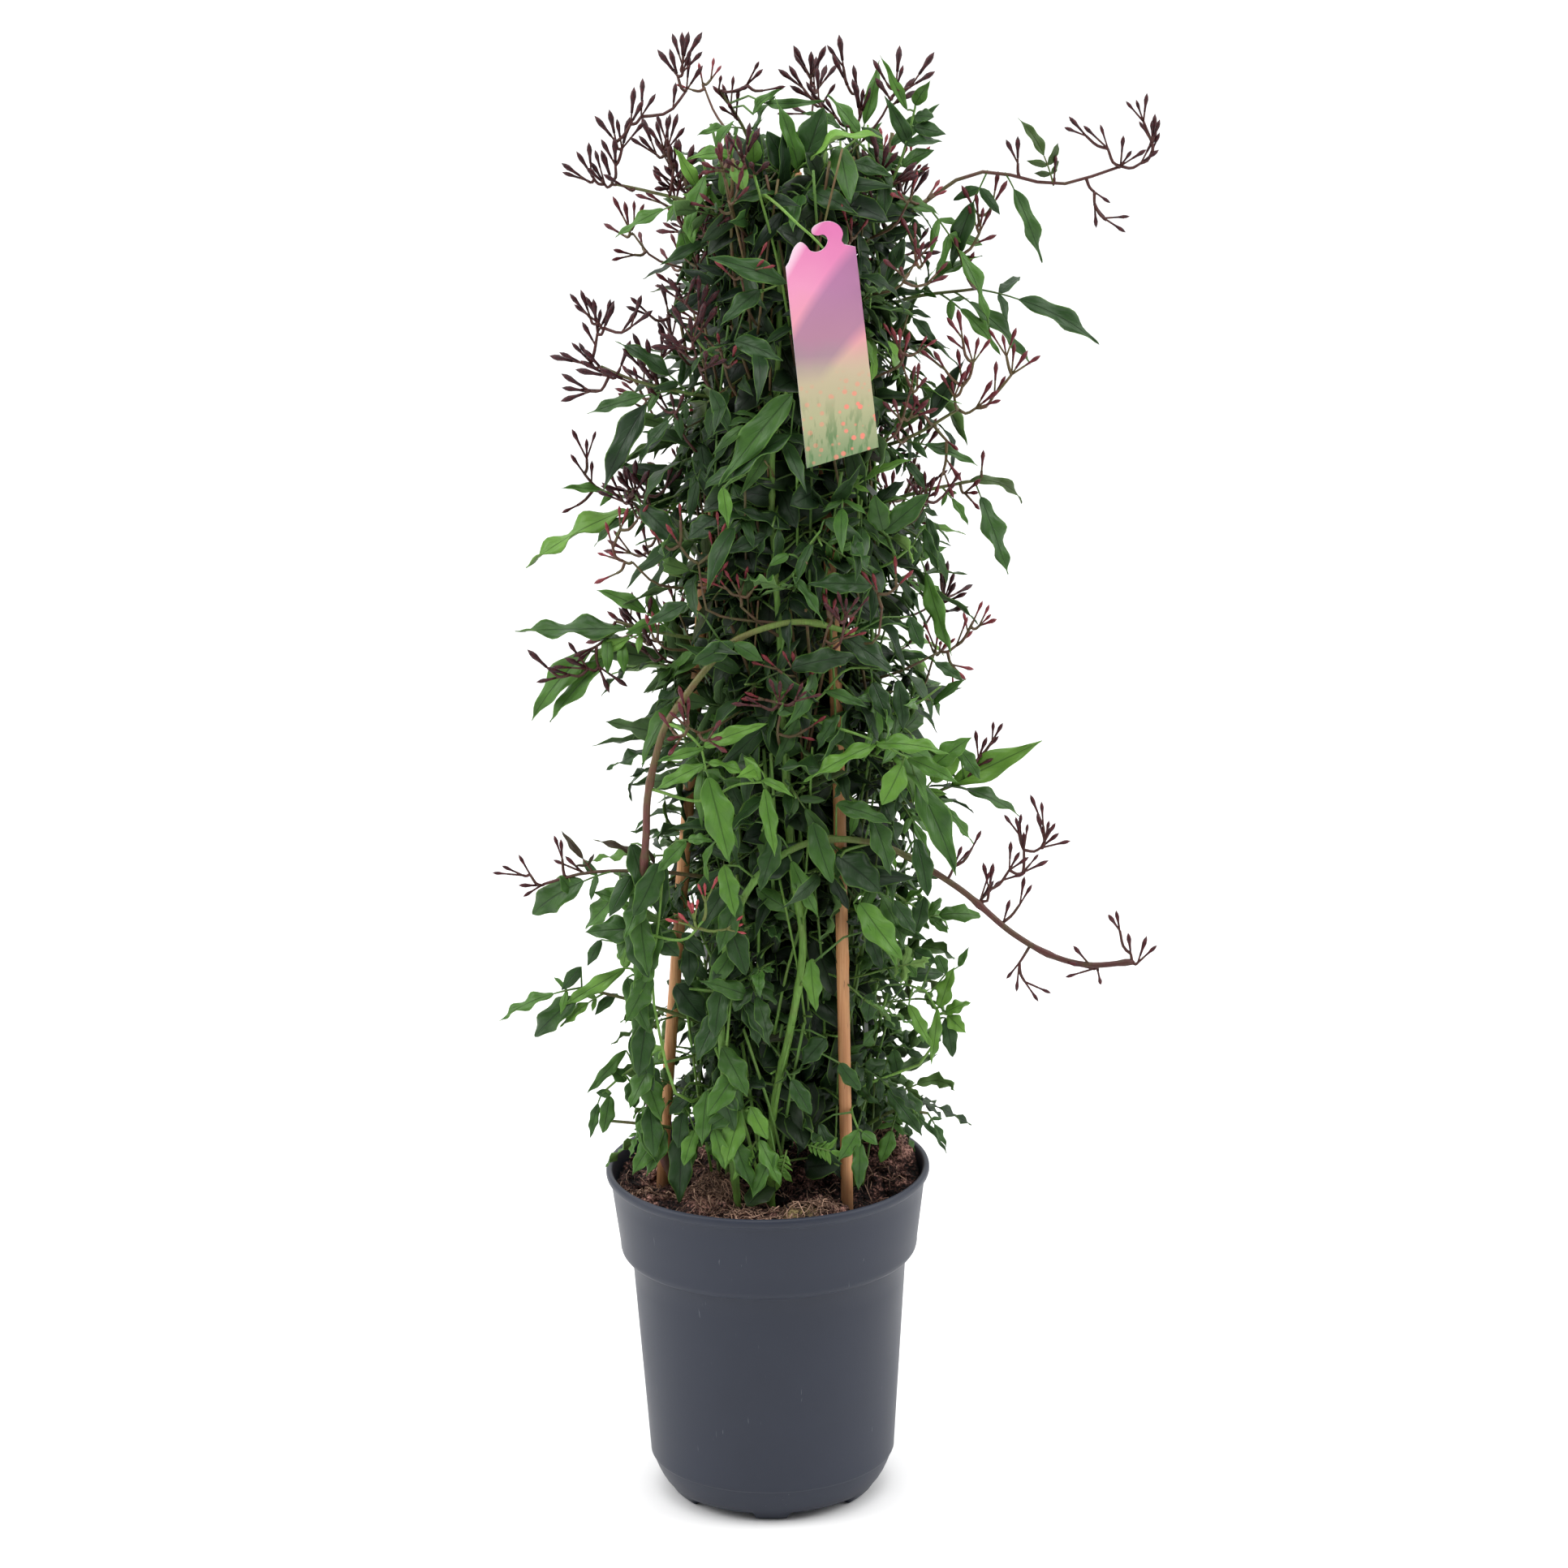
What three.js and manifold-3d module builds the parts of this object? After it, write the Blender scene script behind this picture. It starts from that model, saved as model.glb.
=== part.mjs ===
// A pink jasmine trained up three bamboo canes in its nursery pot.
// Millimetres, +Z up. The origin is the centre of the pot's base and -Y is the front.
import * as THREE from "three";
import { mergeVertices } from "three/addons/utils/BufferGeometryUtils.js";
import Module from "manifold-3d";

const wasm = await Module();
wasm.setup();

// ---------------------------------------------------------------- driving dimensions

const GAP = 0.35; // clear space between pieces that touch

const POT_HEIGHT = 180;
const RIM_RADIUS = 85;
const POT_WALL = 1.3;
const CREASE_HEIGHT = 20; // where the rounded foot meets the tapered body
const CREASE_RADIUS = 64;
const SHOULDER_HEIGHT = 133; // underside of the collar
const SHOULDER_RADIUS = 72.3;
const COLLAR_RADIUS = 78.2;
const FOOT_RADIUS = 52.5;
const FOOT_RING_INNER = 45;
const FOOT_HEIGHT = 5; // height of the notches and of the raised floor's underside
const FOOT_COUNT = 6;
const FOOT_ANGLE = 22; // degrees of the ring that each foot takes
const FIRST_FOOT = -91; // degrees, so one foot stands at the front
const PAD_RADIUS = 14;
const DRAIN_RADIUS = 4;
const DRAIN_CIRCLE = 36;
const POT_SIDES = 32;

const MIX_LEVEL = 171;
const MIX_SIDES = POT_SIDES / 2;

const CANE_RADIUS = 3.3;
const CANE_SIDES = 6;
const CANE_STEPS = 22;
const CANE_FOOT = 60; // how low the canes are pushed into the mix
const APEX = new THREE.Vector3(20, 0, 690); // where the tie holds the three canes
const APEX_RADIUS = (2 * CANE_RADIUS + 2 * GAP) / Math.sqrt(3);
const CANE_TAIL = 14; // length of cane above the tie
const TIE_HEIGHT = 5;
const TIE_THICKNESS = 1.2;
const TIE_ROOM = 1.4; // the canes lean out a little below the tie

const VINE_RADIUS = 1.6;
const VINE_SIDES = 5;
const VINE_FOOT = 156; // depth at which the cuttings are rooted
const COLUMN_FOOT = 180; // the leafy column starts here
const COLUMN_TOP = 720;

const STEM_RADIUS = 1.0;
const STALK_RADIUS = 0.7;
const LEAF_THICKNESS = 1.2;
const BUD_LENGTH = 8;
const BUD_WIDTH = 2.4;

const LEVEL_COUNT = 7;
const LEVEL_FOOT = 186;
const LEVEL_HEIGHT = 74;
const SECTOR_COUNT = 4;
const COLUMN_REACH = 150; // the widest that a shoot may spread from the column's axis

const TAG_THICKNESS = 0.8;
const TAG_HOLE = new THREE.Vector3(31, -66, 681);
const TAG_HOLE_RADIUS = 3;
const TAG_YAW = 8; // degrees, the card's right edge turns away from the front
const TAG_CLEARANCE = 0.6; // leaves lie this far off the card

// ---------------------------------------------------------------- materials

const finish = (color, roughness) => new THREE.MeshStandardMaterial({ color, roughness, metalness: 0 });

const FINISHES = {
  pot: finish(0x4b4f5a, 0.55),
  mix: finish(0x3a2618, 1),
  cane: finish(0xc98a55, 0.6),
  tie: finish(0x2c4a2c, 0.7),
  tag: finish(0xc873a8, 0.3),
  greenVine: finish(0x5a8f3a, 0.5),
  darkVine: finish(0x4d3436, 0.5),
  leaf: finish(0x2f6b2a, 0.4),
  brightLeaf: finish(0x4f9c35, 0.4),
  bud: finish(0x6d2336, 0.5),
};

// ---------------------------------------------------------------- solids

const group = new THREE.Group();
const obstacles = []; // what shoots and sprays keep clear of, already a gap larger

/** The closed solid that a geometry bounds. */
function solidOf(geometry) {
  const bare = geometry.clone();
  bare.deleteAttribute("normal");
  bare.deleteAttribute("uv");
  const merged = mergeVertices(bare, 1e-3);
  return new wasm.Manifold(
    new wasm.Mesh({
      numProp: 3,
      vertProperties: merged.attributes.position.array,
      triVerts: new Uint32Array(merged.index.array),
    }),
  );
}

/** The geometry of a solid's surface. */
function geometryOf(solid) {
  const mesh = solid.getMesh();
  const positions = new THREE.BufferAttribute(new Float32Array(mesh.vertProperties), 3);
  const geometry = new THREE.BufferGeometry().setAttribute("position", positions);
  geometry.setIndex(new THREE.BufferAttribute(new Uint32Array(mesh.triVerts), 1));
  geometry.computeVertexNormals();
  return geometry;
}

/** Adds a solid to the model as a named mesh. */
function addPiece(name, solid, material) {
  const mesh = new THREE.Mesh(geometryOf(solid), material);
  mesh.name = name;
  group.add(mesh);
}

const joined = (solids) => solids.reduce((whole, solid) => whole.add(solid));

/** The largest of the separate bodies in a solid. */
function largestBody(solid) {
  const bodies = solid.decompose();
  return bodies.reduce((best, body) => (body.volume() > best.volume() ? body : best));
}

/** A solid with every obstacle cut away, down to its largest body. */
function clearOf(solid, blocks) {
  const cut = blocks.reduce((rest, block) => rest.subtract(block), solid);
  return largestBody(solidOf(geometryOf(cut)));
}

const vector = (point) => new THREE.Vector3(...point);
const radians = (degrees) => (degrees * Math.PI) / 180;

/** A smooth curve through points given as [x, y, z]. */
const curveThrough = (points) => new THREE.CatmullRomCurve3(points.map(vector), false, "centripetal");

/** A regular polygon, as the section of a round rod. */
function sectionShape(radius, sides) {
  const shape = new THREE.Shape();
  for (let side = 0; side < sides; side += 1) {
    const angle = (side / sides) * 2 * Math.PI;
    shape[side ? "lineTo" : "moveTo"](radius * Math.cos(angle), radius * Math.sin(angle));
  }
  shape.closePath();
  return shape;
}

/** A round rod of one thickness along a curve. */
function rodAlong(curve, radius, sides, steps) {
  const shape = sectionShape(radius, sides);
  return solidOf(new THREE.ExtrudeGeometry(shape, { steps, extrudePath: curve }));
}

/** A body of revolution about Z from [radius, height] points. */
function turned(profile, sides) {
  const points = profile.map(([radius, height]) => new THREE.Vector2(radius, height));
  return new THREE.LatheGeometry(points, sides).rotateX(Math.PI / 2);
}

/** A leaf blade from a base point: a four-sided spindle, widest near its foot and flattened. */
function blade(base, along, facing, length, width, thickness) {
  const spindle = new THREE.LatheGeometry(
    [new THREE.Vector2(0, 0), new THREE.Vector2(width / 2, length * 0.38), new THREE.Vector2(0, length)],
    4,
  );
  spindle.scale(1, 1, thickness / width);
  const axis = along.clone().normalize();
  const side = axis.clone().cross(facing).normalize();
  const normal = side.clone().cross(axis);
  spindle.applyMatrix4(new THREE.Matrix4().makeBasis(side, axis, normal).setPosition(base));
  return solidOf(spindle);
}

/** A repeatable number from 0 to 1 for a whole-number seed. */
function scatter(seed) {
  const value = Math.sin(seed * 12.9898 + 4.1414) * 43758.5453;
  return value - Math.floor(value);
}

// ---------------------------------------------------------------- the pot

const FLOOR_TOP = FOOT_HEIGHT + POT_WALL;

const POT_OUTSIDE = [
  [FOOT_RING_INNER, 0],
  [FOOT_RADIUS, 0],
  [FOOT_RADIUS + 2, 2],
  [60, 10],
  [CREASE_RADIUS, CREASE_HEIGHT],
  [CREASE_RADIUS + 0.7, CREASE_HEIGHT + 1],
  [SHOULDER_RADIUS, SHOULDER_HEIGHT],
  [SHOULDER_RADIUS + 2.5, SHOULDER_HEIGHT],
  [COLLAR_RADIUS - 0.9, SHOULDER_HEIGHT + 1.3],
  [COLLAR_RADIUS, SHOULDER_HEIGHT + 4],
  [RIM_RADIUS - 2.4, POT_HEIGHT - 6],
  [RIM_RADIUS - 0.2, POT_HEIGHT - 4.4],
  [RIM_RADIUS, POT_HEIGHT - 1.6],
  [RIM_RADIUS - 1, POT_HEIGHT],
];

const POT_INSIDE = [
  [RIM_RADIUS - 3, POT_HEIGHT],
  [RIM_RADIUS - 3.9, POT_HEIGHT - 2],
  [COLLAR_RADIUS - POT_WALL, SHOULDER_HEIGHT + 5],
  [SHOULDER_RADIUS + 1, SHOULDER_HEIGHT + POT_WALL],
  [SHOULDER_RADIUS - POT_WALL, SHOULDER_HEIGHT - 1],
  [CREASE_RADIUS - POT_WALL, CREASE_HEIGHT],
  [55, FLOOR_TOP],
];

/** One wedge cut away between two feet of the foot ring. */
function footNotch(middle) {
  const half = radians((360 / FOOT_COUNT - FOOT_ANGLE) / 2);
  const shape = new THREE.Shape();
  const [inner, outer] = [FOOT_RING_INNER - 4, CREASE_RADIUS + 4];
  shape.absarc(0, 0, outer, middle - half, middle + half, false);
  shape.absarc(0, 0, inner, middle + half, middle - half, true);
  shape.closePath();
  const settings = { depth: FOOT_HEIGHT + 1, bevelEnabled: false, curveSegments: 4 };
  const wedge = new THREE.ExtrudeGeometry(shape, settings);
  return solidOf(wedge.translate(0, 0, -1));
}

function potSolid() {
  const underside = [
    [0, 0],
    [PAD_RADIUS, 0],
    [PAD_RADIUS + 1.5, FOOT_HEIGHT],
    [FOOT_RING_INNER - 1.5, FOOT_HEIGHT],
  ];
  let pot = solidOf(turned([...underside, ...POT_OUTSIDE, ...POT_INSIDE, [0, FLOOR_TOP]], POT_SIDES));
  const step = radians(360 / FOOT_COUNT);
  for (let foot = 0; foot < FOOT_COUNT; foot += 1) {
    const middle = radians(FIRST_FOOT) + (foot + 0.5) * step;
    const drain = new THREE.CylinderGeometry(DRAIN_RADIUS, DRAIN_RADIUS, 4 * POT_WALL, 10);
    const [x, y] = [DRAIN_CIRCLE * Math.cos(middle), DRAIN_CIRCLE * Math.sin(middle)];
    drain.rotateX(Math.PI / 2).translate(x, y, FLOOR_TOP - POT_WALL / 2);
    pot = pot.subtract(footNotch(middle)).subtract(solidOf(drain));
  }
  return pot;
}

// ---------------------------------------------------------------- the potting mix

// Lumps and dips of the surface: [x, y, radius, height].
const MIX_LUMPS = [
  [50, 48, 34, 17],
  [-28, -38, 20, 6],
  [8, -48, 17, 4],
  [22, -6, 22, -5],
  [-52, 22, 24, 5],
  [60, -28, 20, -4],
];

/** The height of the mix's surface over a point. */
function mixHeight(x, y) {
  const lumps = MIX_LUMPS.map(([cx, cy, radius, height]) => {
    const share = Math.hypot(x - cx, y - cy) / radius;
    return height * Math.exp(-share * share);
  });
  return lumps.reduce((sum, height) => sum + height, MIX_LEVEL);
}

function mixSolid() {
  const wall = POT_INSIDE.slice(1)
    .reverse()
    .map(([radius, height]) => [radius - GAP, Math.min(height + GAP, MIX_LEVEL)]);
  const rings = [74, 58, 42, 22, 0].map((radius) => [radius, MIX_LEVEL]);
  wall[wall.length - 1][0] = RIM_RADIUS - 5.2;
  const mix = turned([[0, FLOOR_TOP + GAP], ...wall, ...rings], MIX_SIDES);
  const places = mix.attributes.position;
  for (let index = 0; index < places.count; index += 1) {
    if (places.getZ(index) < MIX_LEVEL - 0.5) continue;
    const height = mixHeight(places.getX(index), places.getY(index));
    const edge = Math.hypot(places.getX(index), places.getY(index)) > RIM_RADIUS - 8;
    places.setZ(index, edge ? Math.min(height, MIX_LEVEL + 8) : height);
  }
  return solidOf(mix);
}

/** The clear space in the mix under the foot of a rod. */
function footHole(curve, radius) {
  const foot = curve.getPoint(0);
  const hole = new THREE.CylinderGeometry(radius + GAP, radius + GAP, 2 * GAP, 8).rotateX(Math.PI / 2);
  return solidOf(hole.translate(foot.x, foot.y, foot.z));
}

// ---------------------------------------------------------------- the canes and their tie

const CANE_ROUTES = {
  cane_left: [
    [-57, -8, CANE_FOOT],
    [-55, -8, 177],
    [-46, -8, 288],
    [-37, -8, 385],
    [-18, -6, 560],
  ],
  cane_right: [
    [41.5, -41, CANE_FOOT],
    [41, -41, 170],
    [40, -39, 341],
    [39, -33, 434],
    [34, -19, 560],
  ],
  cane_back: [
    [20, 55, CANE_FOOT],
    [21, 54, 177],
    [23, 48, 360],
    [24, 39, 450],
    [23, 24, 560],
  ],
};

const CANE_APEX_ANGLES = { cane_left: 185, cane_right: -55, cane_back: 65 };

/** The route of a cane, from its foot in the mix to its tail above the tie. */
function caneCurve(name) {
  const angle = radians(CANE_APEX_ANGLES[name]);
  const out = new THREE.Vector3(Math.cos(angle), Math.sin(angle), 0).multiplyScalar(APEX_RADIUS);
  const held = APEX.clone().add(out);
  const tail = held.clone().setZ(APEX.z + CANE_TAIL);
  const below = held.clone().setZ(APEX.z - 12).addScaledVector(out, 0.35);
  return curveThrough([...CANE_ROUTES[name], below.toArray(), held.toArray(), tail.toArray()]);
}

function tieSolid() {
  const inner = APEX_RADIUS + CANE_RADIUS + TIE_ROOM;
  const outer = inner + TIE_THICKNESS;
  const half = TIE_HEIGHT / 2;
  const ring = turned(
    [
      [inner, -half],
      [outer, -half],
      [outer, half],
      [inner, half],
      [inner, -half],
    ],
    16,
  );
  return solidOf(ring.translate(APEX.x, APEX.y, APEX.z));
}

/** The tie and all that it holds as one solid disc, a gap larger. */
function tieRoomSolid() {
  const radius = APEX_RADIUS + CANE_RADIUS + TIE_ROOM + TIE_THICKNESS + GAP;
  const disc = new THREE.CylinderGeometry(radius, radius, TIE_HEIGHT + 2 * GAP, 16).rotateX(Math.PI / 2);
  return solidOf(disc.translate(APEX.x, APEX.y, APEX.z));
}

// ---------------------------------------------------------------- the vines

const columnShare = (height) => (height - COLUMN_FOOT) / (COLUMN_TOP - COLUMN_FOOT);

/** The point at an angle and radius from the leaning axis of the leafy column. */
function onColumn(degrees, radius, height) {
  const centre = 9 + 12 * columnShare(height);
  return new THREE.Vector3(
    centre + radius * Math.cos(radians(degrees)),
    radius * Math.sin(radians(degrees)),
    height,
  );
}

const TWINING_ANGLES = {
  vine_right: -14,
  vine_back_right: 22,
  vine_back: 108,
  vine_back_left: 146,
  vine_left: 216,
};

/** The route of a vine that climbs inside the canes, swaying a little as it goes. */
function twiningRoute(degrees) {
  const route = [];
  for (let step = 0; step <= 9; step += 1) {
    const height = VINE_FOOT + step * 60;
    const sway = 5 * Math.sin(step * 1.7 + degrees);
    const radius = 38 - 15 * columnShare(height) + 3 * Math.cos(step * 2.3 + degrees);
    route.push(onColumn(degrees + sway, radius, height).toArray());
  }
  return route;
}

const FRONT_ROUTES = {
  // a straight bright stem up the middle of the front
  vine_front: [
    [1, -28, VINE_FOOT],
    [4, -42, 227],
    [13, -45, 269],
    [20, -46, 315],
    [15, -45, 358],
    [12, -46, 420],
    [11, -45, 471],
    [8, -42, 550],
    [13, -36, 630],
    [14, -30, 690],
  ],
  // an old purple stem that arches over to the right half way up
  vine_arch: [
    [-38, -30, VINE_FOOT],
    [-52, -39, 240],
    [-58, -52, 320],
    [-58, -60, 383],
    [-55, -61, 412],
    [-47, -61, 437],
    [-34, -61, 455],
    [-14, -60, 476],
    [7, -60, 487],
    [27, -58, 488],
    [48, -52, 480],
  ],
  // a stem that arches over low down and droops to the right
  vine_droop: [
    [-14, -43, VINE_FOOT],
    [-21, -49, 240],
    [-22, -55, 295],
    [-15, -56, 326],
    [-5, -57, 349],
    [9, -57, 363],
    [28, -57, 373],
    [50, -57, 377],
    [74, -56, 371],
    [99, -55, 353],
    [128, -55, 327],
    [150, -54, 309],
    [169, -53, 302],
    [188, -52, 304],
  ],
};

const VINE_ROUTES = { ...FRONT_ROUTES };
Object.entries(TWINING_ANGLES).forEach(([name, degrees]) => {
  VINE_ROUTES[name] = twiningRoute(degrees);
});

const VINE_FINISHES = { vine_front: FINISHES.greenVine, vine_arch: FINISHES.darkVine };

const vineCurves = {};
Object.entries(VINE_ROUTES).forEach(([name, route]) => {
  vineCurves[name] = curveThrough(route);
});

/** The point of a vine's centre line at a height. */
function vinePoint(name, height) {
  const points = vineCurves[name].getSpacedPoints(120);
  const miss = (point) => Math.abs(point.z - height);
  return points.reduce((best, point) => (miss(point) < miss(best) ? point : best));
}

// ---------------------------------------------------------------- the tag

/** The card with its hook, hanging in the XZ plane with the hole at the origin. */
function tagSolid(swell) {
  const outline = new THREE.Shape();
  outline.moveTo(-14.5, -12);
  outline.lineTo(-5.5, -113);
  outline.lineTo(30.5, -104);
  outline.lineTo(18.5, -3);
  outline.lineTo(11, -4.8);
  outline.absarc(3, 0.5, 7.6, -0.4, 2.7, false);
  outline.lineTo(-6.2, -1.5);
  outline.lineTo(-8.5, -10.4);
  outline.closePath();
  const card = new THREE.ExtrudeGeometry(outline, {
    depth: TAG_THICKNESS,
    bevelEnabled: swell > 0,
    bevelThickness: swell,
    bevelSize: swell,
    bevelSegments: 1,
    curveSegments: 6,
  });
  card.translate(0, 0, -TAG_THICKNESS / 2);
  let tag = solidOf(card);
  if (!swell) {
    const hole = new THREE.CylinderGeometry(TAG_HOLE_RADIUS, TAG_HOLE_RADIUS, 4, 12).rotateX(Math.PI / 2);
    const slit = new THREE.BoxGeometry(9, 1.4, 4).translate(-5, 0.4, 0);
    tag = tag.subtract(solidOf(hole)).subtract(solidOf(slit));
  }
  const placed = geometryOf(tag).rotateX(Math.PI / 2).rotateZ(radians(TAG_YAW));
  return solidOf(placed.translate(TAG_HOLE.x, TAG_HOLE.y, TAG_HOLE.z));
}

// ---------------------------------------------------------------- leaves and buds

const UP = new THREE.Vector3(0, 0, 1);

/** A leaf of a long end leaflet with a pair of side leaflets at its foot. */
function leafSolids(base, along, length, swell, hands = [-1, 1]) {
  const axis = along.clone().normalize();
  const side = axis.clone().cross(UP).normalize();
  const facing = side.clone().cross(axis);
  const fork = base.clone().addScaledVector(axis, length * 0.18);
  const leaflet = (foot, course, size, slimness) =>
    blade(foot, course, facing, size + swell, size * slimness + 2 * swell, LEAF_THICKNESS + 2 * swell);
  const pair = hands.map((hand) => {
    const course = axis.clone().multiplyScalar(0.6).addScaledVector(side, hand);
    return leaflet(fork, course, length * 0.46, 0.44);
  });
  const root = base.clone().addScaledVector(axis, -2 * STEM_RADIUS);
  return [leaflet(root, axis, length, 0.3), ...pair];
}

/** A pointed bud on its stalk, as one turned body with three sides. */
function budSolid(base, along, stalk, swell) {
  const profile = [
    [0, 0],
    [STALK_RADIUS + swell, 0.6],
    [STALK_RADIUS + swell, stalk],
    [BUD_WIDTH / 2 + swell, stalk + BUD_LENGTH * 0.4],
    [0, stalk + BUD_LENGTH + swell],
  ];
  const axis = along.clone().normalize();
  const turn = new THREE.Quaternion().setFromUnitVectors(UP, axis);
  const root = base.clone().addScaledVector(axis, -STEM_RADIUS);
  return solidOf(turned(profile, 3).applyQuaternion(turn).translate(root.x, root.y, root.z));
}

/** Buds set one after another up a thin stalk, turning round it. */
function budFan(base, along, count, swell) {
  const axis = along.clone().normalize();
  const side = axis.clone().cross(new THREE.Vector3(0.2, 1, 0.1)).normalize();
  const over = side.clone().cross(axis);
  const stalk = 5 * count;
  const buds = [budSolid(base, axis, stalk, swell)];
  for (let index = 1; index < count; index += 1) {
    const turn = 2.4 * index;
    const course = axis
      .clone()
      .multiplyScalar(0.8)
      .addScaledVector(side, Math.cos(turn))
      .addScaledVector(over, Math.sin(turn));
    const foot = base.clone().addScaledVector(axis, (stalk * (index - 0.5)) / count);
    buds.push(budSolid(foot, course, 8, swell));
  }
  return buds;
}

// ---------------------------------------------------------------- sprays that stand out of the column

// Each spray leaves a vine at a height and runs through its route. Leaves are [share of the
// route, dx, dy, dz, length] and bud fans are [share of the route, dx, dy, dz, count].
const SPRAYS = {
  buds_top_left: {
    vine: "vine_left",
    height: 668,
    route: [[-22, -22, 690], [-48, -20, 698], [-66, -18, 702]],
    leaves: [[0.5, -0.6, 0.2, 0.1, 40]],
    buds: [[1, -1, 0.1, 0.3, 4], [0.7, -0.6, -0.2, 0.9, 3]],
  },
  buds_top: {
    vine: "vine_back_left",
    height: 672,
    route: [[0, 12, 716], [-14, 6, 744]],
    leaves: [[0.6, 0.4, 0.4, 0.8, 36]],
    buds: [[1, -0.4, -0.1, 1, 4], [0.8, 0.5, 0.1, 1, 3]],
  },
  buds_top_right: {
    vine: "vine_back_right",
    height: 664,
    route: [[56, 4, 684], [54, 2, 708], [50, 0, 726]],
    leaves: [[0.7, 0.8, 0.3, 0.5, 42], [1, 0.2, 0.3, 1, 34]],
    buds: [[1, 0.1, -0.2, 1, 4]],
  },
  branch_upper_right: {
    vine: "vine_right",
    height: 660,
    route: [[76, -6, 681], [106, -4, 701], [120, -4, 703], [153, -3, 696], [183, -2, 704]],
    leaves: [[0.58, 0.1, 0, -1, 44], [0.78, 0.3, 0, -1, 40], [0.8, -0.2, 0, 1, 34]],
    buds: [[1, 1, 0, 0.5, 5]],
  },
  buds_left_high: {
    vine: "vine_left",
    height: 590,
    route: [[-38, -30, 600], [-62, -26, 606], [-76, -24, 612]],
    leaves: [[0.6, -0.5, -0.3, -0.8, 54]],
    buds: [[1, -1, 0, 0.7, 4], [0.9, -0.8, 0, -0.6, 2]],
  },
  leaves_left_high: {
    vine: "vine_back_left",
    height: 520,
    route: [[-50, 14, 532], [-76, 10, 540]],
    leaves: [[1, -1, -0.1, -0.55, 62], [0.8, -0.6, 0.5, 0.3, 44]],
    buds: [],
  },
  leaves_right_high: {
    vine: "vine_back_right",
    height: 622,
    route: [[76, 14, 636], [112, 8, 642]],
    leaves: [[1, 1, 0, -0.35, 66], [0.8, 0.4, -0.3, -1, 50], [0.6, 0.5, 0.6, 0.2, 44]],
    buds: [],
  },
  buds_right_middle: {
    vine: "vine_right",
    height: 560,
    route: [[76, -20, 572], [102, -18, 586]],
    leaves: [[0.5, 0.6, -0.6, -0.2, 42]],
    buds: [[1, 1, 0, 0.4, 4], [0.8, 0.6, -0.3, 0.9, 3], [0.6, 0.8, -0.4, -0.7, 2]],
  },
  leaves_right_middle: {
    vine: "vine_right",
    height: 532,
    route: [[84, -16, 544], [110, -12, 548]],
    leaves: [[1, 0.25, 0, -1, 58], [0.75, 1, 0.3, 0.2, 46]],
    buds: [],
  },
  leaves_left_middle: {
    vine: "vine_left",
    height: 464,
    route: [[-46, -24, 474], [-72, -20, 480]],
    leaves: [[1, -1, 0, -0.2, 58], [0.8, -0.8, 0.1, -0.9, 46]],
    buds: [[1, -0.8, 0, -0.8, 2]],
  },
  buds_left_low: {
    vine: "vine_left",
    height: 340,
    route: [[-58, -34, 352], [-92, -30, 350], [-112, -28, 344]],
    leaves: [[0.6, -0.5, 0.2, -0.8, 40]],
    buds: [[1, -1, 0, -0.2, 4]],
  },
  leaves_right_low: {
    vine: "vine_right",
    height: 372,
    route: [[82, -18, 384], [104, -16, 392]],
    leaves: [[1, 0.8, 0, 0.75, 62], [0.8, 1, 0.2, -0.3, 52]],
    buds: [],
  },
  leaves_left_low: {
    vine: "vine_left",
    height: 262,
    route: [[-62, -32, 280], [-94, -28, 288]],
    leaves: [[1, -1, 0, -0.2, 52], [0.8, -0.5, 0, -1, 44]],
    buds: [],
  },
  leaves_right_foot: {
    vine: "vine_right",
    height: 202,
    route: [[68, -16, 214], [84, -16, 212]],
    leaves: [[1, 0.5, 0, -0.75, 40], [0.7, 0.7, 0.5, 0.4, 40]],
    buds: [],
  },
  leaves_left_foot: {
    vine: "vine_left",
    height: 200,
    route: [[-56, -34, 214], [-84, -30, 216]],
    leaves: [[1, -0.3, 0, -0.9, 38], [0.7, -0.9, 0.3, 0.4, 40]],
    buds: [],
  },
};

/** The stem, leaves and buds of a spray, joined. */
function spraySolid({ vine, height, route, leaves, buds }, swell) {
  const curve = curveThrough([vinePoint(vine, height).toArray(), ...route]);
  const solids = [rodAlong(curve, STEM_RADIUS + swell, 4, route.length + 2)];
  leaves.forEach(([share, dx, dy, dz, length]) => {
    solids.push(...leafSolids(curve.getPointAt(share), new THREE.Vector3(dx, dy, dz), length, swell));
  });
  buds.forEach(([share, dx, dy, dz, count]) => {
    solids.push(...budFan(curve.getPointAt(share), new THREE.Vector3(dx, dy, dz), count, swell));
  });
  return joined(solids);
}

// ---------------------------------------------------------------- shoots that fill the column

const SECTOR_VINES = [
  ["vine_front", "vine_right", "vine_back", "vine_left"],
  ["vine_right", "vine_back_right", "vine_back_left", "vine_left"],
];
const SECTOR_STARTS = [-90, -45];

/** The wedge of space round the column's axis that one shoot may fill. */
function cellSolid(middle, floor) {
  const half = 180 / SECTOR_COUNT;
  const shape = new THREE.Shape();
  const [from, to] = [radians(middle - half), radians(middle + half)];
  shape.moveTo(0, 0);
  shape.lineTo(COLUMN_REACH * Math.cos(from), COLUMN_REACH * Math.sin(from));
  shape.absarc(0, 0, COLUMN_REACH, from, to, false);
  shape.closePath();
  const cell = new THREE.ExtrudeGeometry(shape, {
    depth: LEVEL_HEIGHT - GAP,
    bevelEnabled: false,
    curveSegments: 4,
  });
  const apex = onColumn(middle, 2 * GAP, floor + LEVEL_HEIGHT / 2);
  return solidOf(cell.translate(apex.x, apex.y, floor));
}

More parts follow.
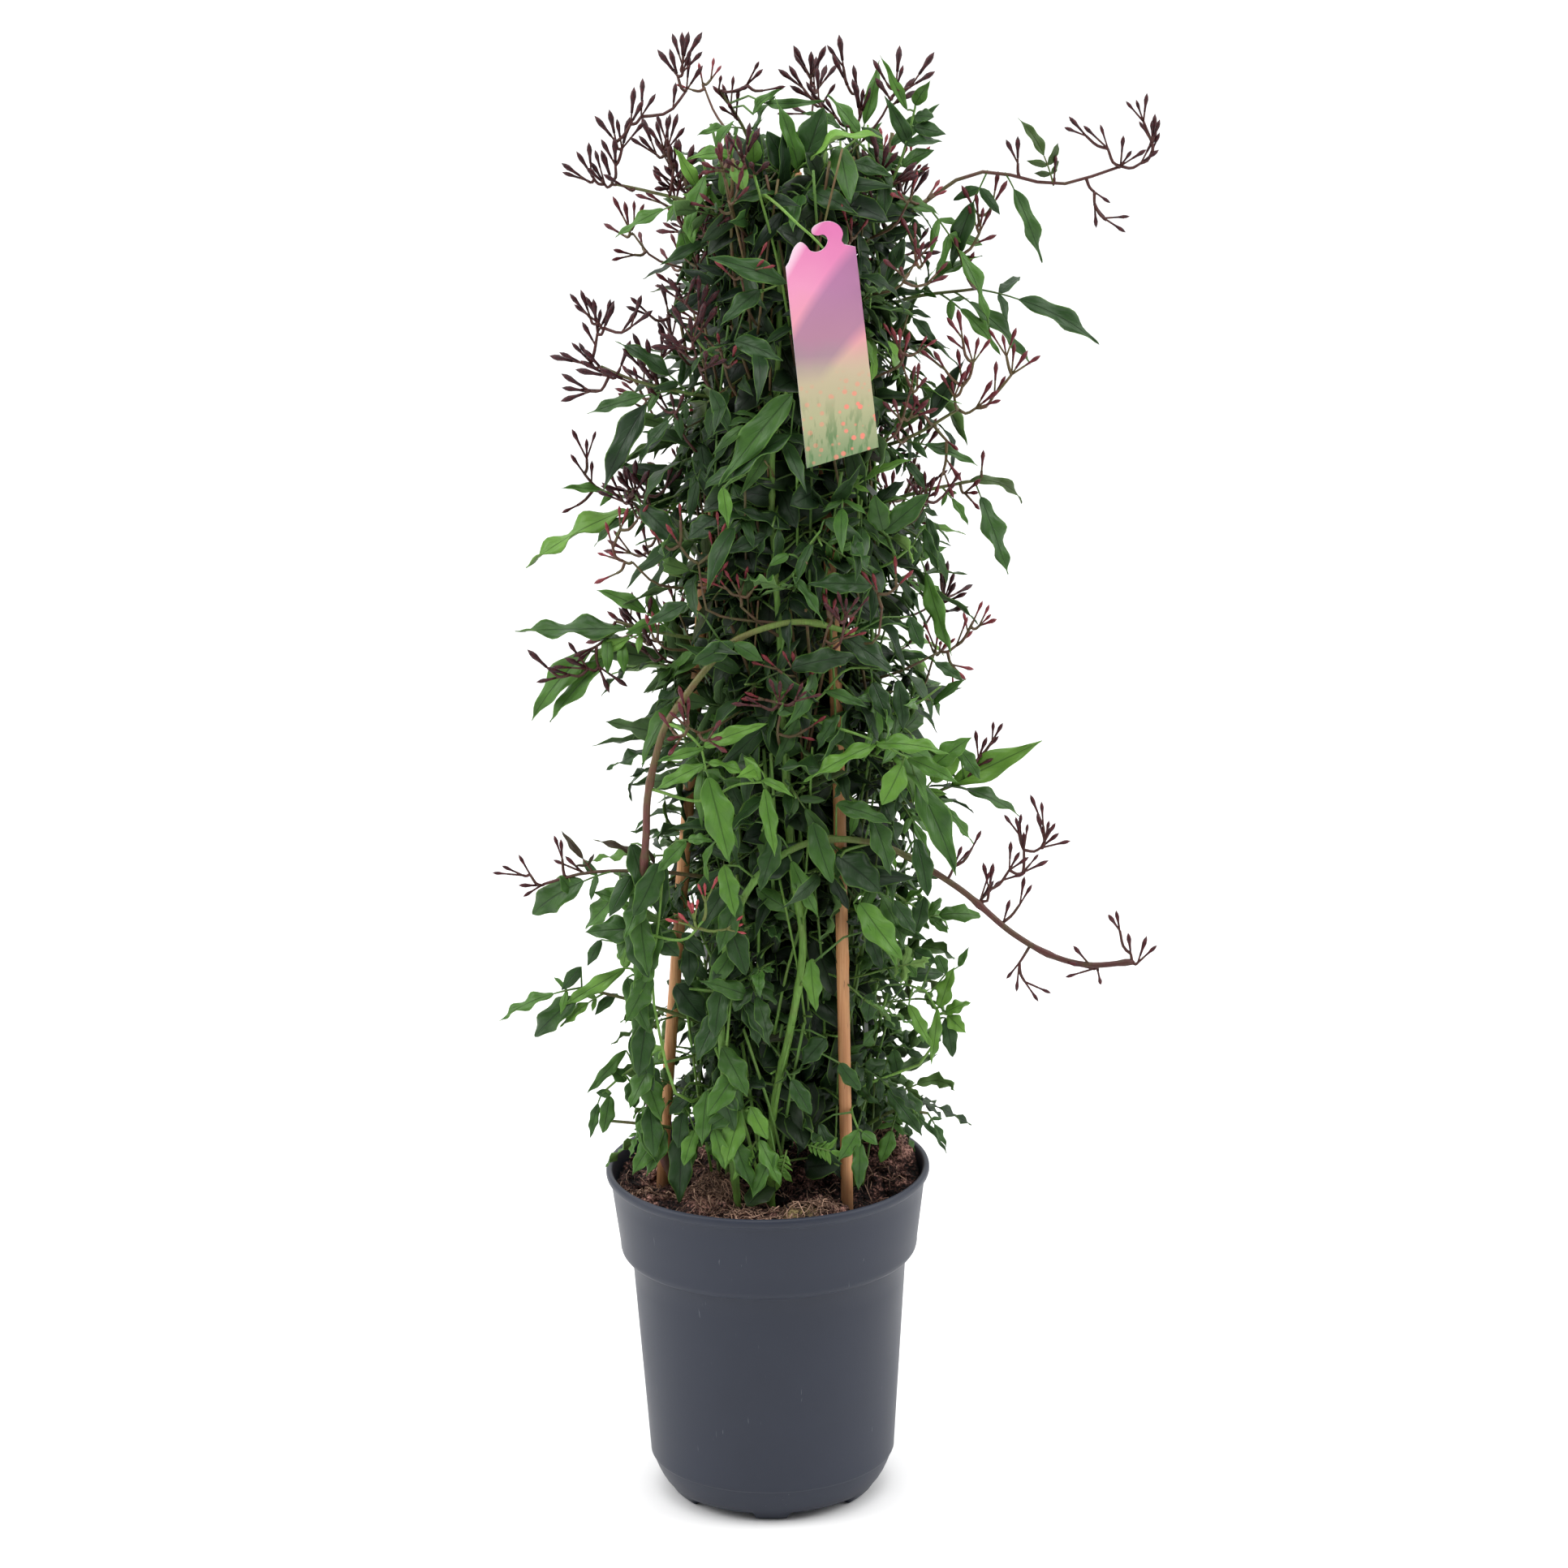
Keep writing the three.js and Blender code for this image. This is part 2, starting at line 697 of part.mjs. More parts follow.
/** A leafy side shoot, joined and trimmed to its cell. */
function shootSolid(level, sector) {
  const seed = 10 * level + sector;
  const turn = level % 2;
  const middle = SECTOR_STARTS[turn] + (sector * 360) / SECTOR_COUNT;
  const floor = LEVEL_FOOT + level * LEVEL_HEIGHT;
  const vine = SECTOR_VINES[turn][sector];
  const start = vinePoint(vine, floor + 14);
  const reach = 70 - 22 * columnShare(floor);
  const elbow = onColumn(middle, reach * 0.72, floor + 26 + 6 * scatter(seed));
  const end = onColumn(middle + 14 * (scatter(seed + 0.3) - 0.5), reach, floor + 44);
  const curve = curveThrough([start.toArray(), elbow.toArray(), end.toArray()]);
  const solids = [rodAlong(curve, STEM_RADIUS, 3, 3)];
  const outward = onColumn(middle, 1, floor).sub(onColumn(middle, 0, floor));
  const across = outward.clone().cross(UP);
  const size = 54 - 14 * columnShare(floor);
  const place = (share, course, hands) => {
    solids.push(...leafSolids(curve.getPointAt(share), course, size, 0, hands));
  };
  [-1, 1].forEach((hand) => {
    const course = outward.clone().multiplyScalar(0.5).addScaledVector(across, hand);
    course.z = 0.35 * (scatter(seed + hand) - 0.4);
    place(hand > 0 ? 0.85 : 0.6, course, hand > 0 ? [-1, 1] : []);
  });
  place(1, outward.clone().setZ(0.1 + 0.4 * scatter(seed + 0.7)), []);
  place(0.9, outward.clone().setZ(-1), []);
  return joined(solids).intersect(cellSolid(middle, floor));
}

// ---------------------------------------------------------------- putting the plant together

addPiece("pot", potSolid(), FINISHES.pot);

let mix = mixSolid();
Object.keys(CANE_ROUTES).forEach((name) => {
  const curve = caneCurve(name);
  addPiece(name, rodAlong(curve, CANE_RADIUS, CANE_SIDES, CANE_STEPS), FINISHES.cane);
  const sleeve = rodAlong(curve, CANE_RADIUS + GAP, CANE_SIDES, CANE_STEPS);
  mix = mix.subtract(sleeve);
  mix = mix.subtract(footHole(curve, CANE_RADIUS));
  obstacles.push(sleeve);
});

Object.entries(vineCurves).forEach(([name, curve]) => {
  const steps = VINE_ROUTES[name].length;
  const bark = VINE_FINISHES[name] ?? FINISHES.greenVine;
  addPiece(name, rodAlong(curve, VINE_RADIUS, VINE_SIDES, steps), bark);
  const sleeve = rodAlong(curve, VINE_RADIUS + GAP, VINE_SIDES, steps);
  mix = mix.subtract(sleeve);
  mix = mix.subtract(footHole(curve, VINE_RADIUS));
  obstacles.push(sleeve);
});
addPiece("potting_mix", largestBody(mix), FINISHES.mix);

addPiece("cane_tie", tieSolid(), FINISHES.tie);
obstacles.push(tieRoomSolid());
addPiece("plant_tag", tagSolid(0), FINISHES.tag);
obstacles.push(tagSolid(TAG_CLEARANCE));

Object.entries(SPRAYS).forEach(([name, spray]) => {
  const finishUsed = spray.buds.length > 1 ? FINISHES.bud : FINISHES.brightLeaf;
  addPiece(name, clearOf(spraySolid(spray, 0), obstacles), finishUsed);
  obstacles.push(spraySolid(spray, GAP));
});

for (let level = 0; level < LEVEL_COUNT; level += 1) {
  for (let sector = 0; sector < SECTOR_COUNT; sector += 1) {
    const name = `shoot_${level + 1}_${sector + 1}`;
    addPiece(name, clearOf(shootSolid(level, sector), obstacles), FINISHES.leaf);
  }
}

export default group;
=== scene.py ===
"""The looks of a pink jasmine trained up three bamboo canes in its nursery pot.

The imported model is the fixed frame. Every piece here stands in that frame, in metres, with +Z up
and -Y to the front, where the hang tag faces. Places are written in millimetres and scaled once.
"""

import logging
import math
import random
from collections.abc import Sequence
from dataclasses import dataclass, field
from enum import Enum

import bmesh
import bpy
from mathutils import Matrix, Quaternion, Vector, noise


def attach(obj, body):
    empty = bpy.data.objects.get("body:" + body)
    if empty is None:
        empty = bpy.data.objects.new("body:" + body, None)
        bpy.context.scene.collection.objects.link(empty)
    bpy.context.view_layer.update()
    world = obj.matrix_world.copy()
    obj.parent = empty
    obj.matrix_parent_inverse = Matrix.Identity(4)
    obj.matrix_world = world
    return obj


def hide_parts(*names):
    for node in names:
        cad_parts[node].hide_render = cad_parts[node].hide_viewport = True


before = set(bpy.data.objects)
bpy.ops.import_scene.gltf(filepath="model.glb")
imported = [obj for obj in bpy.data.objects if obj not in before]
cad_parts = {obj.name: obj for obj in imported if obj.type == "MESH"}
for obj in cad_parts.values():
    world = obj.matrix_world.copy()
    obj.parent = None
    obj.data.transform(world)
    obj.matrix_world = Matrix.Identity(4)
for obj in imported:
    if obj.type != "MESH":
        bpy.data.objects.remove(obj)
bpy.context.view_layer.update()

LOG = logging.getLogger("jasmine")
MM = 0.001
UP = Vector((0.0, 0.0, 1.0))
COLUMN_FOOT, COLUMN_HEIGHT = 180.0, 540.0  # the leafy column, in millimetres
COLUMN_START, COLUMN_LEAN = 9.0, 12.0  # how far right its axis starts, and leans on its way up

Point = tuple[float, float, float]
Colour = tuple[float, float, float]


# ------------------------------------------------------------------ small helpers


def metres(point: Sequence[float]) -> Vector:
    """A point given in millimetres, as a vector in metres."""
    return Vector(point) * MM


def mixed(low: float, high: float, share: float) -> float:
    """The value a share of the way from low to high."""
    return low + (high - low) * share


def spread(values: Sequence[float], share: float) -> float:
    """The value a share of the way through values that are evenly apart."""
    place = share * (len(values) - 1)
    low = min(int(place), len(values) - 1)
    return mixed(values[low], values[min(low + 1, len(values) - 1)], place - low)


def across(direction: Vector, hint: Vector) -> Vector:
    """A unit vector square to a direction, beside the hint.

    Args:
        direction: the direction to be square to.
        hint: the vector that the result is also square to.

    Returns:
        The unit vector direction x hint, or any square one where the two are parallel.
    """
    side = direction.cross(hint)
    return side.normalized() if side.length > 1e-4 else direction.orthogonal().normalized()


def column_share(height: float) -> float:
    """How far up the leafy column a height in metres is, from 0 to 1."""
    return (height / MM - COLUMN_FOOT) / COLUMN_HEIGHT


def column_axis(height: float) -> Vector:
    """The leaning axis of the leafy column at a height in metres."""
    return Vector(((COLUMN_START + COLUMN_LEAN * column_share(height)) * MM, 0.0, height))


def outward_of(point: Vector) -> Vector:
    """The level direction from the column's axis to a point."""
    away = point - column_axis(point.z)
    away.z = 0.0
    return away.normalized() if away.length > 1e-5 else Vector((0.0, -1.0, 0.0))


class Route:
    """A smooth centripetal curve through given points, measured along its length."""

    STEPS_PER_SPAN = 12

    def __init__(self, points: Sequence[Vector]) -> None:
        """Traces the curve.

        Args:
            points: the points in metres that the curve passes through, at least two.
        """
        first = points[0] * 2 - points[1]
        last = points[-1] * 2 - points[-2]
        knots = [first, *points, last]
        self.places = [points[0].copy()]
        for index in range(len(points) - 1):
            self._trace(knots[index : index + 4])
        self.marks = [0.0]
        for before, after in zip(self.places, self.places[1:]):
            self.marks.append(self.marks[-1] + (after - before).length)
        self.length = self.marks[-1]

    def _trace(self, knots: Sequence[Vector]) -> None:
        """Adds the points of one span between the middle two of four knots.

        Args:
            knots: the four points round the span.
        """
        gaps = [max((b - a).length ** 0.5, 1e-6) for a, b in zip(knots, knots[1:])]
        steps = [b - a for a, b in zip(knots, knots[1:])]
        joint = []
        for k in range(2):
            over_both = (steps[k] + steps[k + 1]) / (gaps[k] + gaps[k + 1])
            joint.append(steps[k] / gaps[k] - over_both + steps[k + 1] / gaps[k + 1])
        start, end = joint[0] * gaps[1], joint[1] * gaps[1]
        for step in range(1, self.STEPS_PER_SPAN + 1):
            t = step / self.STEPS_PER_SPAN
            square, cube = t * t, t * t * t
            place = (
                knots[1] * (2 * cube - 3 * square + 1)
                + start * (cube - 2 * square + t)
                + knots[2] * (3 * square - 2 * cube)
                + end * (cube - square)
            )
            self.places.append(place)

    def at(self, share: float) -> Vector:
        """The point a share of the length along the curve."""
        goal = min(max(share, 0.0), 1.0) * self.length
        for index in range(1, len(self.marks)):
            if self.marks[index] >= goal:
                span = self.marks[index] - self.marks[index - 1]
                part = (goal - self.marks[index - 1]) / span if span else 0.0
                return self.places[index - 1].lerp(self.places[index], part)
        return self.places[-1].copy()

    def heading(self, share: float) -> Vector:
        """The unit direction of the curve at a share of its length."""
        return (self.at(share + 0.02) - self.at(share - 0.02)).normalized()

    def at_height(self, height: float) -> Vector:
        """The point of the curve nearest to a height in metres."""
        return min(self.places, key=lambda place: abs(place.z - height)).copy()

    def points(self, count: int) -> list[Vector]:
        """Evenly spaced points, both ends included."""
        return [self.at(index / (count - 1)) for index in range(count)]


def turned(section: Sequence[tuple[float, float]], steps: int, scale: float = MM) -> bmesh.types.BMesh:
    """Turns a section about +Z.

    Args:
        section: radii and heights, from one point on the axis to another.
        steps: the faces round the shape.
        scale: the unit of the section.

    Returns:
        The closed shape, with its faces outwards.
    """
    shape = bmesh.new()
    verts = [shape.verts.new(Vector((radius, 0, height)) * scale) for radius, height in section]
    edges = [shape.edges.new(pair) for pair in zip(verts, verts[1:])]
    axis, whole = (0, 0, 1), 2 * math.pi
    bmesh.ops.spin(shape, geom=verts + edges, axis=axis, angle=whole, steps=steps, use_merge=True)
    bmesh.ops.remove_doubles(shape, verts=shape.verts[:], dist=1e-3 * scale)
    bmesh.ops.recalc_face_normals(shape, faces=shape.faces[:])
    return shape


def stored(shape: bmesh.types.BMesh, name: str, *materials: bpy.types.Material) -> bpy.types.Mesh:
    """Turns a bmesh into mesh data with materials, and frees it."""
    data = bpy.data.meshes.new(name)
    shape.to_mesh(data)
    shape.free()
    for material in materials:
        data.materials.append(material)
    return data


def smoothed(shape: bmesh.types.BMesh, smooth: bool = True) -> bmesh.types.BMesh:
    """The same shape with all of its faces shaded smooth, or flat."""
    for face in shape.faces:
        face.smooth = smooth
    return shape


def linked(name: str, data: bpy.types.ID) -> bpy.types.Object:
    """A new object in the scene."""
    thing = bpy.data.objects.new(name, data)
    bpy.context.scene.collection.objects.link(thing)
    return thing


# ------------------------------------------------------------------ patterns that repeat


class Tissue(Enum):
    """The skins of a growing piece, in the order of its material slots."""

    STEM = 0
    LEAF_FACE = 1
    LEAF_BACK = 2
    BUD = 3


@dataclass(frozen=True)
class Tone:
    """The colour of one leaf or stem."""

    shade: float  # 0 for the deepest green to 1 for the freshest
    blush: float = 0.0  # 0 for green to 1 for purple bronze


@dataclass(frozen=True)
class LeafletOutline:
    """The outline of a leaflet of unit length."""

    half_width: float  # half the width at the widest place
    widest: float  # the share of the length where that is
    base: float  # below 1 for a round base
    tip: float  # below 1 for a round tip, above 1 for a drawn out one
    waves: float  # the number of waves along each margin
    wave_height: float  # the height of a wave at the margin
    scallop: float  # how much the waves move the margin in and out
    fold: float  # how far the halves rise from the midrib
    rows: int  # faces along the blade
    columns: int  # faces across the blade


class LeafletKind(Enum):
    """The leaflets that the plant carries."""

    LANCE = LeafletOutline(0.132, 0.36, 0.75, 1.40, 2.2, 0.034, 0.07, 0.30, 9, 2)
    WAVY = LeafletOutline(0.150, 0.40, 0.65, 1.10, 2.6, 0.085, 0.15, 0.18, 13, 2)
    SIDE = LeafletOutline(0.170, 0.40, 0.65, 1.05, 1.6, 0.050, 0.10, 0.28, 7, 2)
    OVATE = LeafletOutline(0.235, 0.45, 0.55, 0.75, 2.3, 0.075, 0.11, 0.16, 9, 2)
    SMALL = LeafletOutline(0.210, 0.45, 0.60, 0.80, 1.5, 0.030, 0.05, 0.25, 5, 2)
    LONG = LeafletOutline(0.132, 0.36, 0.75, 1.40, 2.2, 0.050, 0.09, 0.30, 20, 4)
    BROAD = LeafletOutline(0.235, 0.45, 0.55, 0.85, 2.3, 0.055, 0.10, 0.16, 18, 4)
    RIBBON = LeafletOutline(0.150, 0.40, 0.65, 1.15, 2.5, 0.062, 0.13, 0.18, 24, 4)


LANCE, WAVY, SIDE, OVATE = LeafletKind.LANCE, LeafletKind.WAVY, LeafletKind.SIDE, LeafletKind.OVATE
# the finer outlines that listed leaves and leaflets take
SMOOTH = {LANCE: LeafletKind.LONG, WAVY: LeafletKind.RIBBON, OVATE: LeafletKind.BROAD}


class Patterns:
    """Small closed meshes that are copied, bent and placed many times."""

    BLADE_THICKNESS = 0.008
    TIP_START = 0.999  # vertices beyond this share of the length form the tip
    BACK_SLOPE = -0.2  # faces that look further down than this are the leaf's back
    LEAST_WIDTH = 0.03  # the width at the very ends, against the widest
    VARIANTS = 4
    BUD_SECTION = ((0.0, 0.0), (0.055, 0.0), (0.068, 0.32), (0.122, 0.62), (0.095, 0.80), (0.0, 1.0))
    BUD_SIDES = 6

    def __init__(self) -> None:
        """Makes the leaflet patterns, and a store for rods and buds."""
        self.leaflets = {
            kind: [self._leaflet(kind.value, variant) for variant in range(self.VARIANTS)]
            for kind in LeafletKind
        }
        self.rods: dict[tuple[int, int], bpy.types.Mesh] = {}
        self.bud = self._bud()

    def _leaflet(self, outline: LeafletOutline, variant: int) -> bpy.types.Mesh:
        """A leaflet of unit length along +Y with its face up.

        Args:
            outline: the outline to cut.
            variant: shifts the waves, so that the copies differ.

        Returns:
            The closed thin shell, with a UV map across and along the blade.
        """
        shape = bmesh.new()
        shape.loops.layers.uv.new("leaf")
        columns, rows = outline.columns, outline.rows
        bmesh.ops.create_grid(shape, x_segments=columns, y_segments=rows, size=0.5, calc_uvs=True)
        for vert in shape.verts:
            sideways, even = vert.co.x * 2, vert.co.y + 0.5
            along = mixed(even, (1 - math.cos(math.pi * even)) / 2, 0.5)
            if along < outline.widest:
                fullness = math.sin(math.pi / 2 * along / outline.widest) ** outline.base
            else:
                beyond = (along - outline.widest) / (1 - outline.widest)
                fullness = max(math.cos(math.pi / 2 * beyond), 0.0) ** outline.tip
            hand = 1 if sideways > 0 else -1
            turn = 2 * math.pi * outline.waves * along + 1.7 * variant + hand * (1.1 + 0.6 * variant)
            swell = math.sin(math.pi * along) ** 0.6
            fullness = max(fullness, self.LEAST_WIDTH)
            width = outline.half_width * fullness * (1 + outline.scallop * math.sin(turn))
            edge = abs(sideways)
            rise = outline.fold * edge * width
            wave = outline.wave_height * math.cos(turn) * edge**2 * swell
            vert.co = Vector((sideways * width, along, rise + wave))
        tip = [vert for vert in shape.verts if vert.co.y > self.TIP_START]
        bmesh.ops.pointmerge(shape, verts=tip, merge_co=Vector((0, 1, 0)))
        bmesh.ops.solidify(shape, geom=shape.faces[:], thickness=self.BLADE_THICKNESS)
        shape.normal_update()
        for face in shape.faces:
            face.smooth = True
            below = face.normal.z < self.BACK_SLOPE
            face.material_index = (Tissue.LEAF_BACK if below else Tissue.LEAF_FACE).value
        return stored(shape, "leaflet_pattern")

    def _bud(self) -> bpy.types.Mesh:
        """A closed bud of unit length along +Z: a slim tube that swells to a pointed head."""
        shape = smoothed(turned(self.BUD_SECTION, self.BUD_SIDES, 1.0))
        shape.loops.layers.uv.new("leaf")
        for face in shape.faces:
            face.material_index = Tissue.BUD.value
        return stored(shape, "bud_pattern")

    def rod(self, sides: int, steps: int) -> bpy.types.Mesh:
        """A closed rod of unit radius whose height counts its steps.

        Args:
            sides: the sides of its section.
            steps: the stretches along it.

        Returns:
            The pattern, made on the first call for each pair of numbers.
        """
        if (sides, steps) not in self.rods:
            shape = bmesh.new()
            shape.loops.layers.uv.new("leaf")
            ring = bmesh.ops.create_circle(shape, cap_ends=True, segments=sides, radius=1.0)
            end = ring["verts"][0].link_faces[0]
            for step in range(steps):
                grown = bmesh.ops.extrude_face_region(shape, geom=[end])["geom"]
                if step:
                    bmesh.ops.delete(shape, geom=[end], context="FACES_ONLY")
                end = next(part for part in grown if isinstance(part, bmesh.types.BMFace))
                bmesh.ops.translate(shape, vec=UP, verts=end.verts[:])
            bmesh.ops.recalc_face_normals(shape, faces=shape.faces[:])
            for face in shape.faces:
                face.smooth = len(face.verts) == 4
                face.material_index = Tissue.STEM.value
            self.rods[(sides, steps)] = stored(shape, f"rod_{sides}_{steps}")
        return self.rods[(sides, steps)]


PATTERNS = Patterns()


# ------------------------------------------------------------------ habits of growth


@dataclass(frozen=True)
class LeafHabit:
    """How one compound leaf grows."""

    size: float  # the length of its end leaflet in millimetres
    tone: Tone
    pairs: int  # the pairs of side leaflets
    droop: float  # how far its stalk bends down, in radians
    curl: float  # how far each leaflet bends down along its length, in radians
    end_kind: LeafletKind
    side_kind: LeafletKind = SIDE
    slimness: float = 1.0  # scales the width
    side_share: float = 0.5  # the length of a side leaflet against the end one


@dataclass(frozen=True)
class BudHabit:
    """How a panicle of buds grows."""

    tone: Tone  # the colour of its stalks
    pink: float  # 0 for dark buds to 1 for pink ones
    bud: float  # the length of a bud in millimetres
    length: float = 30.0  # the length of a wild panicle's main stalk in millimetres
    tiers: int = 2  # the pairs of side stalks on it


DARK_BUDS = BudHabit(Tone(0.1, 1.0), pink=0.05, bud=12.5)
SMALL_BUDS = BudHabit(Tone(0.1, 1.0), pink=0.1, bud=9.5, length=22, tiers=1)
WINE_BUDS = BudHabit(Tone(0.4, 0.8), pink=0.2, bud=10.5, length=34)
PINK_BUDS = BudHabit(Tone(0.9, 0.4), pink=0.75, bud=8.0, length=22, tiers=1)
INNER_BUDS = BudHabit(Tone(0.35, 0.8), pink=0.42, bud=9.0, tiers=1)


LIMBS: list[Vector] = []  # points along every stem so far, where listed leaves can start


class Growth:
    """A mesh that gathers the stems, leaves and buds of one piece."""

    STALK_RADIUS = 0.68 * MM
    STALK_STEPS = 5
    STALK_SHARE, PAIR_SHARE = 0.22, 0.24  # a stalk's length against its end leaflet, and more for each pair
    FIRST_PAIR = 1.2  # how far up the stalk the pairs start, against their pitch
    LEAN = (0.75, 1.15)  # how far a side leaflet leans off the stalk, in radians
    FIRST_SIZE, SIZE_STEP = 0.8, 0.25  # the size of the first pair, and what each next pair adds
    CYME_SIZES = (1, 2, 2, 3)  # the buds in a head, the commoner number repeated
    SAG, WANDER = 0.10, 0.03  # how far a bud's stalk sags and strays, against its length
    SIDE_BUD = 0.6  # where a long stalk carries one more bud
    BUD_STALK = 0.72 * MM
    HEAD_ROOM = 11.0 * MM
    PANICLE_RADII = (0.75 * MM, 0.55 * MM)
    LEAST_CURL = 0.02

    def __init__(self, seed: int) -> None:
        """Starts an empty piece.

        Args:
            seed: sets every random choice in the piece.
        """
        self.mesh = bmesh.new()
        self.shade = self.mesh.verts.layers.float.new("shade")
        self.blush = self.mesh.verts.layers.float.new("blush")
        self.mesh.loops.layers.uv.new("leaf")
        self.chance = random.Random(seed)

    def _added(self, pattern: bpy.types.Mesh) -> list[bmesh.types.BMVert]:
        """Copies a pattern in and returns its new vertices."""
        count = len(self.mesh.verts)
        self.mesh.from_mesh(pattern)
        self.mesh.verts.ensure_lookup_table()
        return self.mesh.verts[count:]

    def scatter(self, spread: float) -> Vector:
        """A random vector, for a natural unevenness."""
        return Vector([self.chance.gauss(0, spread) for _ in range(3)])

    def rod(
        self, points: Sequence[Vector], radii: Sequence[float], tones: Sequence[Tone], sides: int = 5
    ) -> None:
        """Adds a round stem through points.

        Args:
            points: its centre line in metres.
            radii: its radii in metres, spread evenly from the first point to the last.
            tones: its colours, spread in the same way.
            sides: the sides of its section.
        """
        last = len(points) - 1
        headings = [
            (points[min(k + 1, last)] - points[max(k - 1, 0)]).normalized() for k in range(last + 1)
        ]
        side = headings[0].orthogonal().normalized()
        frames = []
        for step, heading in enumerate(headings):
            side = (side - heading * side.dot(heading)).normalized()
            share = step / last
            radius = spread(radii, share)
            shade = spread([tone.shade for tone in tones], share)
            blush = spread([tone.blush for tone in tones], share)
            frames.append((side * radius, heading.cross(side) * radius, shade, blush))
        for vert in self._added(PATTERNS.rod(sides, last)):
            step = round(vert.co.z)
            right, over, vert[self.shade], vert[self.blush] = frames[step]
            vert.co = points[step] + right * vert.co.x + over * vert.co.y

    def limb(self, route: Route, radii: Sequence[float], tones: Sequence[Tone], sides: int = 6) -> None:
        """Adds a stem along a route and notes its course, so that leaves can start from it.

        Args:
            route: its centre line.
            radii: its radii in metres, spread evenly.
            tones: its colours, spread evenly.
            sides: the sides of its section.
        """
        self.rod(route.points(max(12, len(radii))), radii, tones, sides)
        LIMBS.extend(route.places)

    def leaflet(
        self,
        foot: Vector,
        along: Vector,
        facing: Vector,
        length: float,
        kind: LeafletKind,
        tone: Tone,
        curl: float,
        slimness: float,
        twist: float = 0.0,
        sway: float = 0.0,
    ) -> None:
        """Adds one leaflet, bent along its length.

        Args:
            foot: where it leaves its stalk.
            along: the direction in which it starts.
            facing: the side to which its face turns.
            length: its length in metres.
            kind: its outline.
            tone: its colour.
            curl: how far it bends away from its face, in radians.
            slimness: scales its width.
            twist: how far the blade turns about its midrib, in radians.
            sway: how far the tip moves to the side, as a share of the length.
        """
        axis = along.normalized()
        side = across(axis, facing)
        normal = side.cross(axis)
        curl = curl if abs(curl) > self.LEAST_CURL else self.LEAST_CURL
        pattern = PATTERNS.leaflets[kind][self.chance.randrange(Patterns.VARIANTS)]
        for vert in self._added(pattern):
            x, y, z = vert.co.x * slimness, vert.co.y, vert.co.z
            turn = twist * y
            x, z = x * math.cos(turn) - z * math.sin(turn), x * math.sin(turn) + z * math.cos(turn)
            bend = curl * y
            reach = math.sin(bend) / curl + z * math.sin(bend)
            drop = (math.cos(bend) - 1) / curl + z * math.cos(bend)
            x += sway * y * y
            vert.co = foot + (side * x + axis * reach + normal * drop) * length
            vert[self.shade], vert[self.blush] = tone.shade, tone.blush

    def leaf(self, base: Vector, along: Vector, facing: Vector, habit: LeafHabit) -> None:
        """Adds a compound leaf: a stalk, pairs of side leaflets and a long end leaflet.

        Args:
            base: where it leaves its stem.
            along: the direction in which its stalk starts.
            facing: the side to which its face turns.
            habit: how it grows.
        """
        vary = self.chance.uniform
        size = habit.size * MM
        steps = self.STALK_STEPS
        stalk_length = size * (self.STALK_SHARE + self.PAIR_SHARE * habit.pairs)
        heading = along.normalized()
        side = across(heading, facing)
        place = base - heading * self.STALK_RADIUS
        points, headings = [place], [heading]
        for _ in range(steps):
            normal = side.cross(heading)
            heading = (heading - normal * (habit.droop / steps)).normalized()
            place = place + heading * (stalk_length / steps)
            points.append(place)
            headings.append(heading)
        stalk = Tone(habit.tone.shade * 0.7 + 0.05, min(1.0, habit.tone.blush + 0.1))
        self.rod(points, [self.STALK_RADIUS, self.STALK_RADIUS * 0.7], [stalk], sides=4)
        for pair in range(habit.pairs):
            spot = (pair + self.FIRST_PAIR) / (habit.pairs + self.FIRST_PAIR) * steps
            low = min(int(spot), steps - 1)
            foot = points[low].lerp(points[low + 1], spot - low)
            normal = side.cross(headings[low])
            for hand in (-1, 1):
                lean = vary(*self.LEAN)
                course = headings[low] * math.cos(lean) + side * (hand * math.sin(lean))
                self.leaflet(
                    foot,
                    course + normal * vary(-0.25, 0.1),
                    normal + side * vary(-0.3, 0.3),
                    size * habit.side_share * vary(0.85, 1.15) * (self.FIRST_SIZE + self.SIZE_STEP * pair),
                    habit.side_kind,
                    Tone(habit.tone.shade + vary(-0.06, 0.06), habit.tone.blush),
                    habit.curl * vary(0.4, 1.1),
                    habit.slimness * vary(0.9, 1.1),
                    vary(-0.5, 0.5),
                    vary(-0.06, 0.06),
                )
        self.leaflet(
            points[-1],
            headings[-1],
            side.cross(headings[-1]),
            size,
            habit.end_kind,
            habit.tone,
            habit.curl * vary(0.7, 1.2),
            habit.slimness * vary(0.92, 1.08),
            vary(-0.6, 0.6),
            vary(-0.08, 0.08),
        )

    def bud(self, base: Vector, along: Vector, stalk: float, habit: BudHabit) -> None:
        """Adds a bud on its own thin stalk.

        Args:
            base: where the stalk starts.
            along: the direction of the bud.
            stalk: the stalk's length in metres.
            habit: the panicle that it belongs to.
        """
        axis = along.normalized()
        length = habit.bud * MM * self.chance.uniform(0.75, 1.1)
        head = base + axis * stalk
        self.rod([base, base.lerp(head, 0.5), head], [self.BUD_STALK * 0.85], [habit.tone], sides=4)
        turn = UP.rotation_difference(axis) @ Quaternion(UP, self.chance.uniform(0, 6.28))
        for vert in self._added(PATTERNS.bud):
            vert.co = head - axis * (0.1 * MM) + turn @ vert.co * length
            vert[self.shade], vert[self.blush] = habit.pink, 1.0

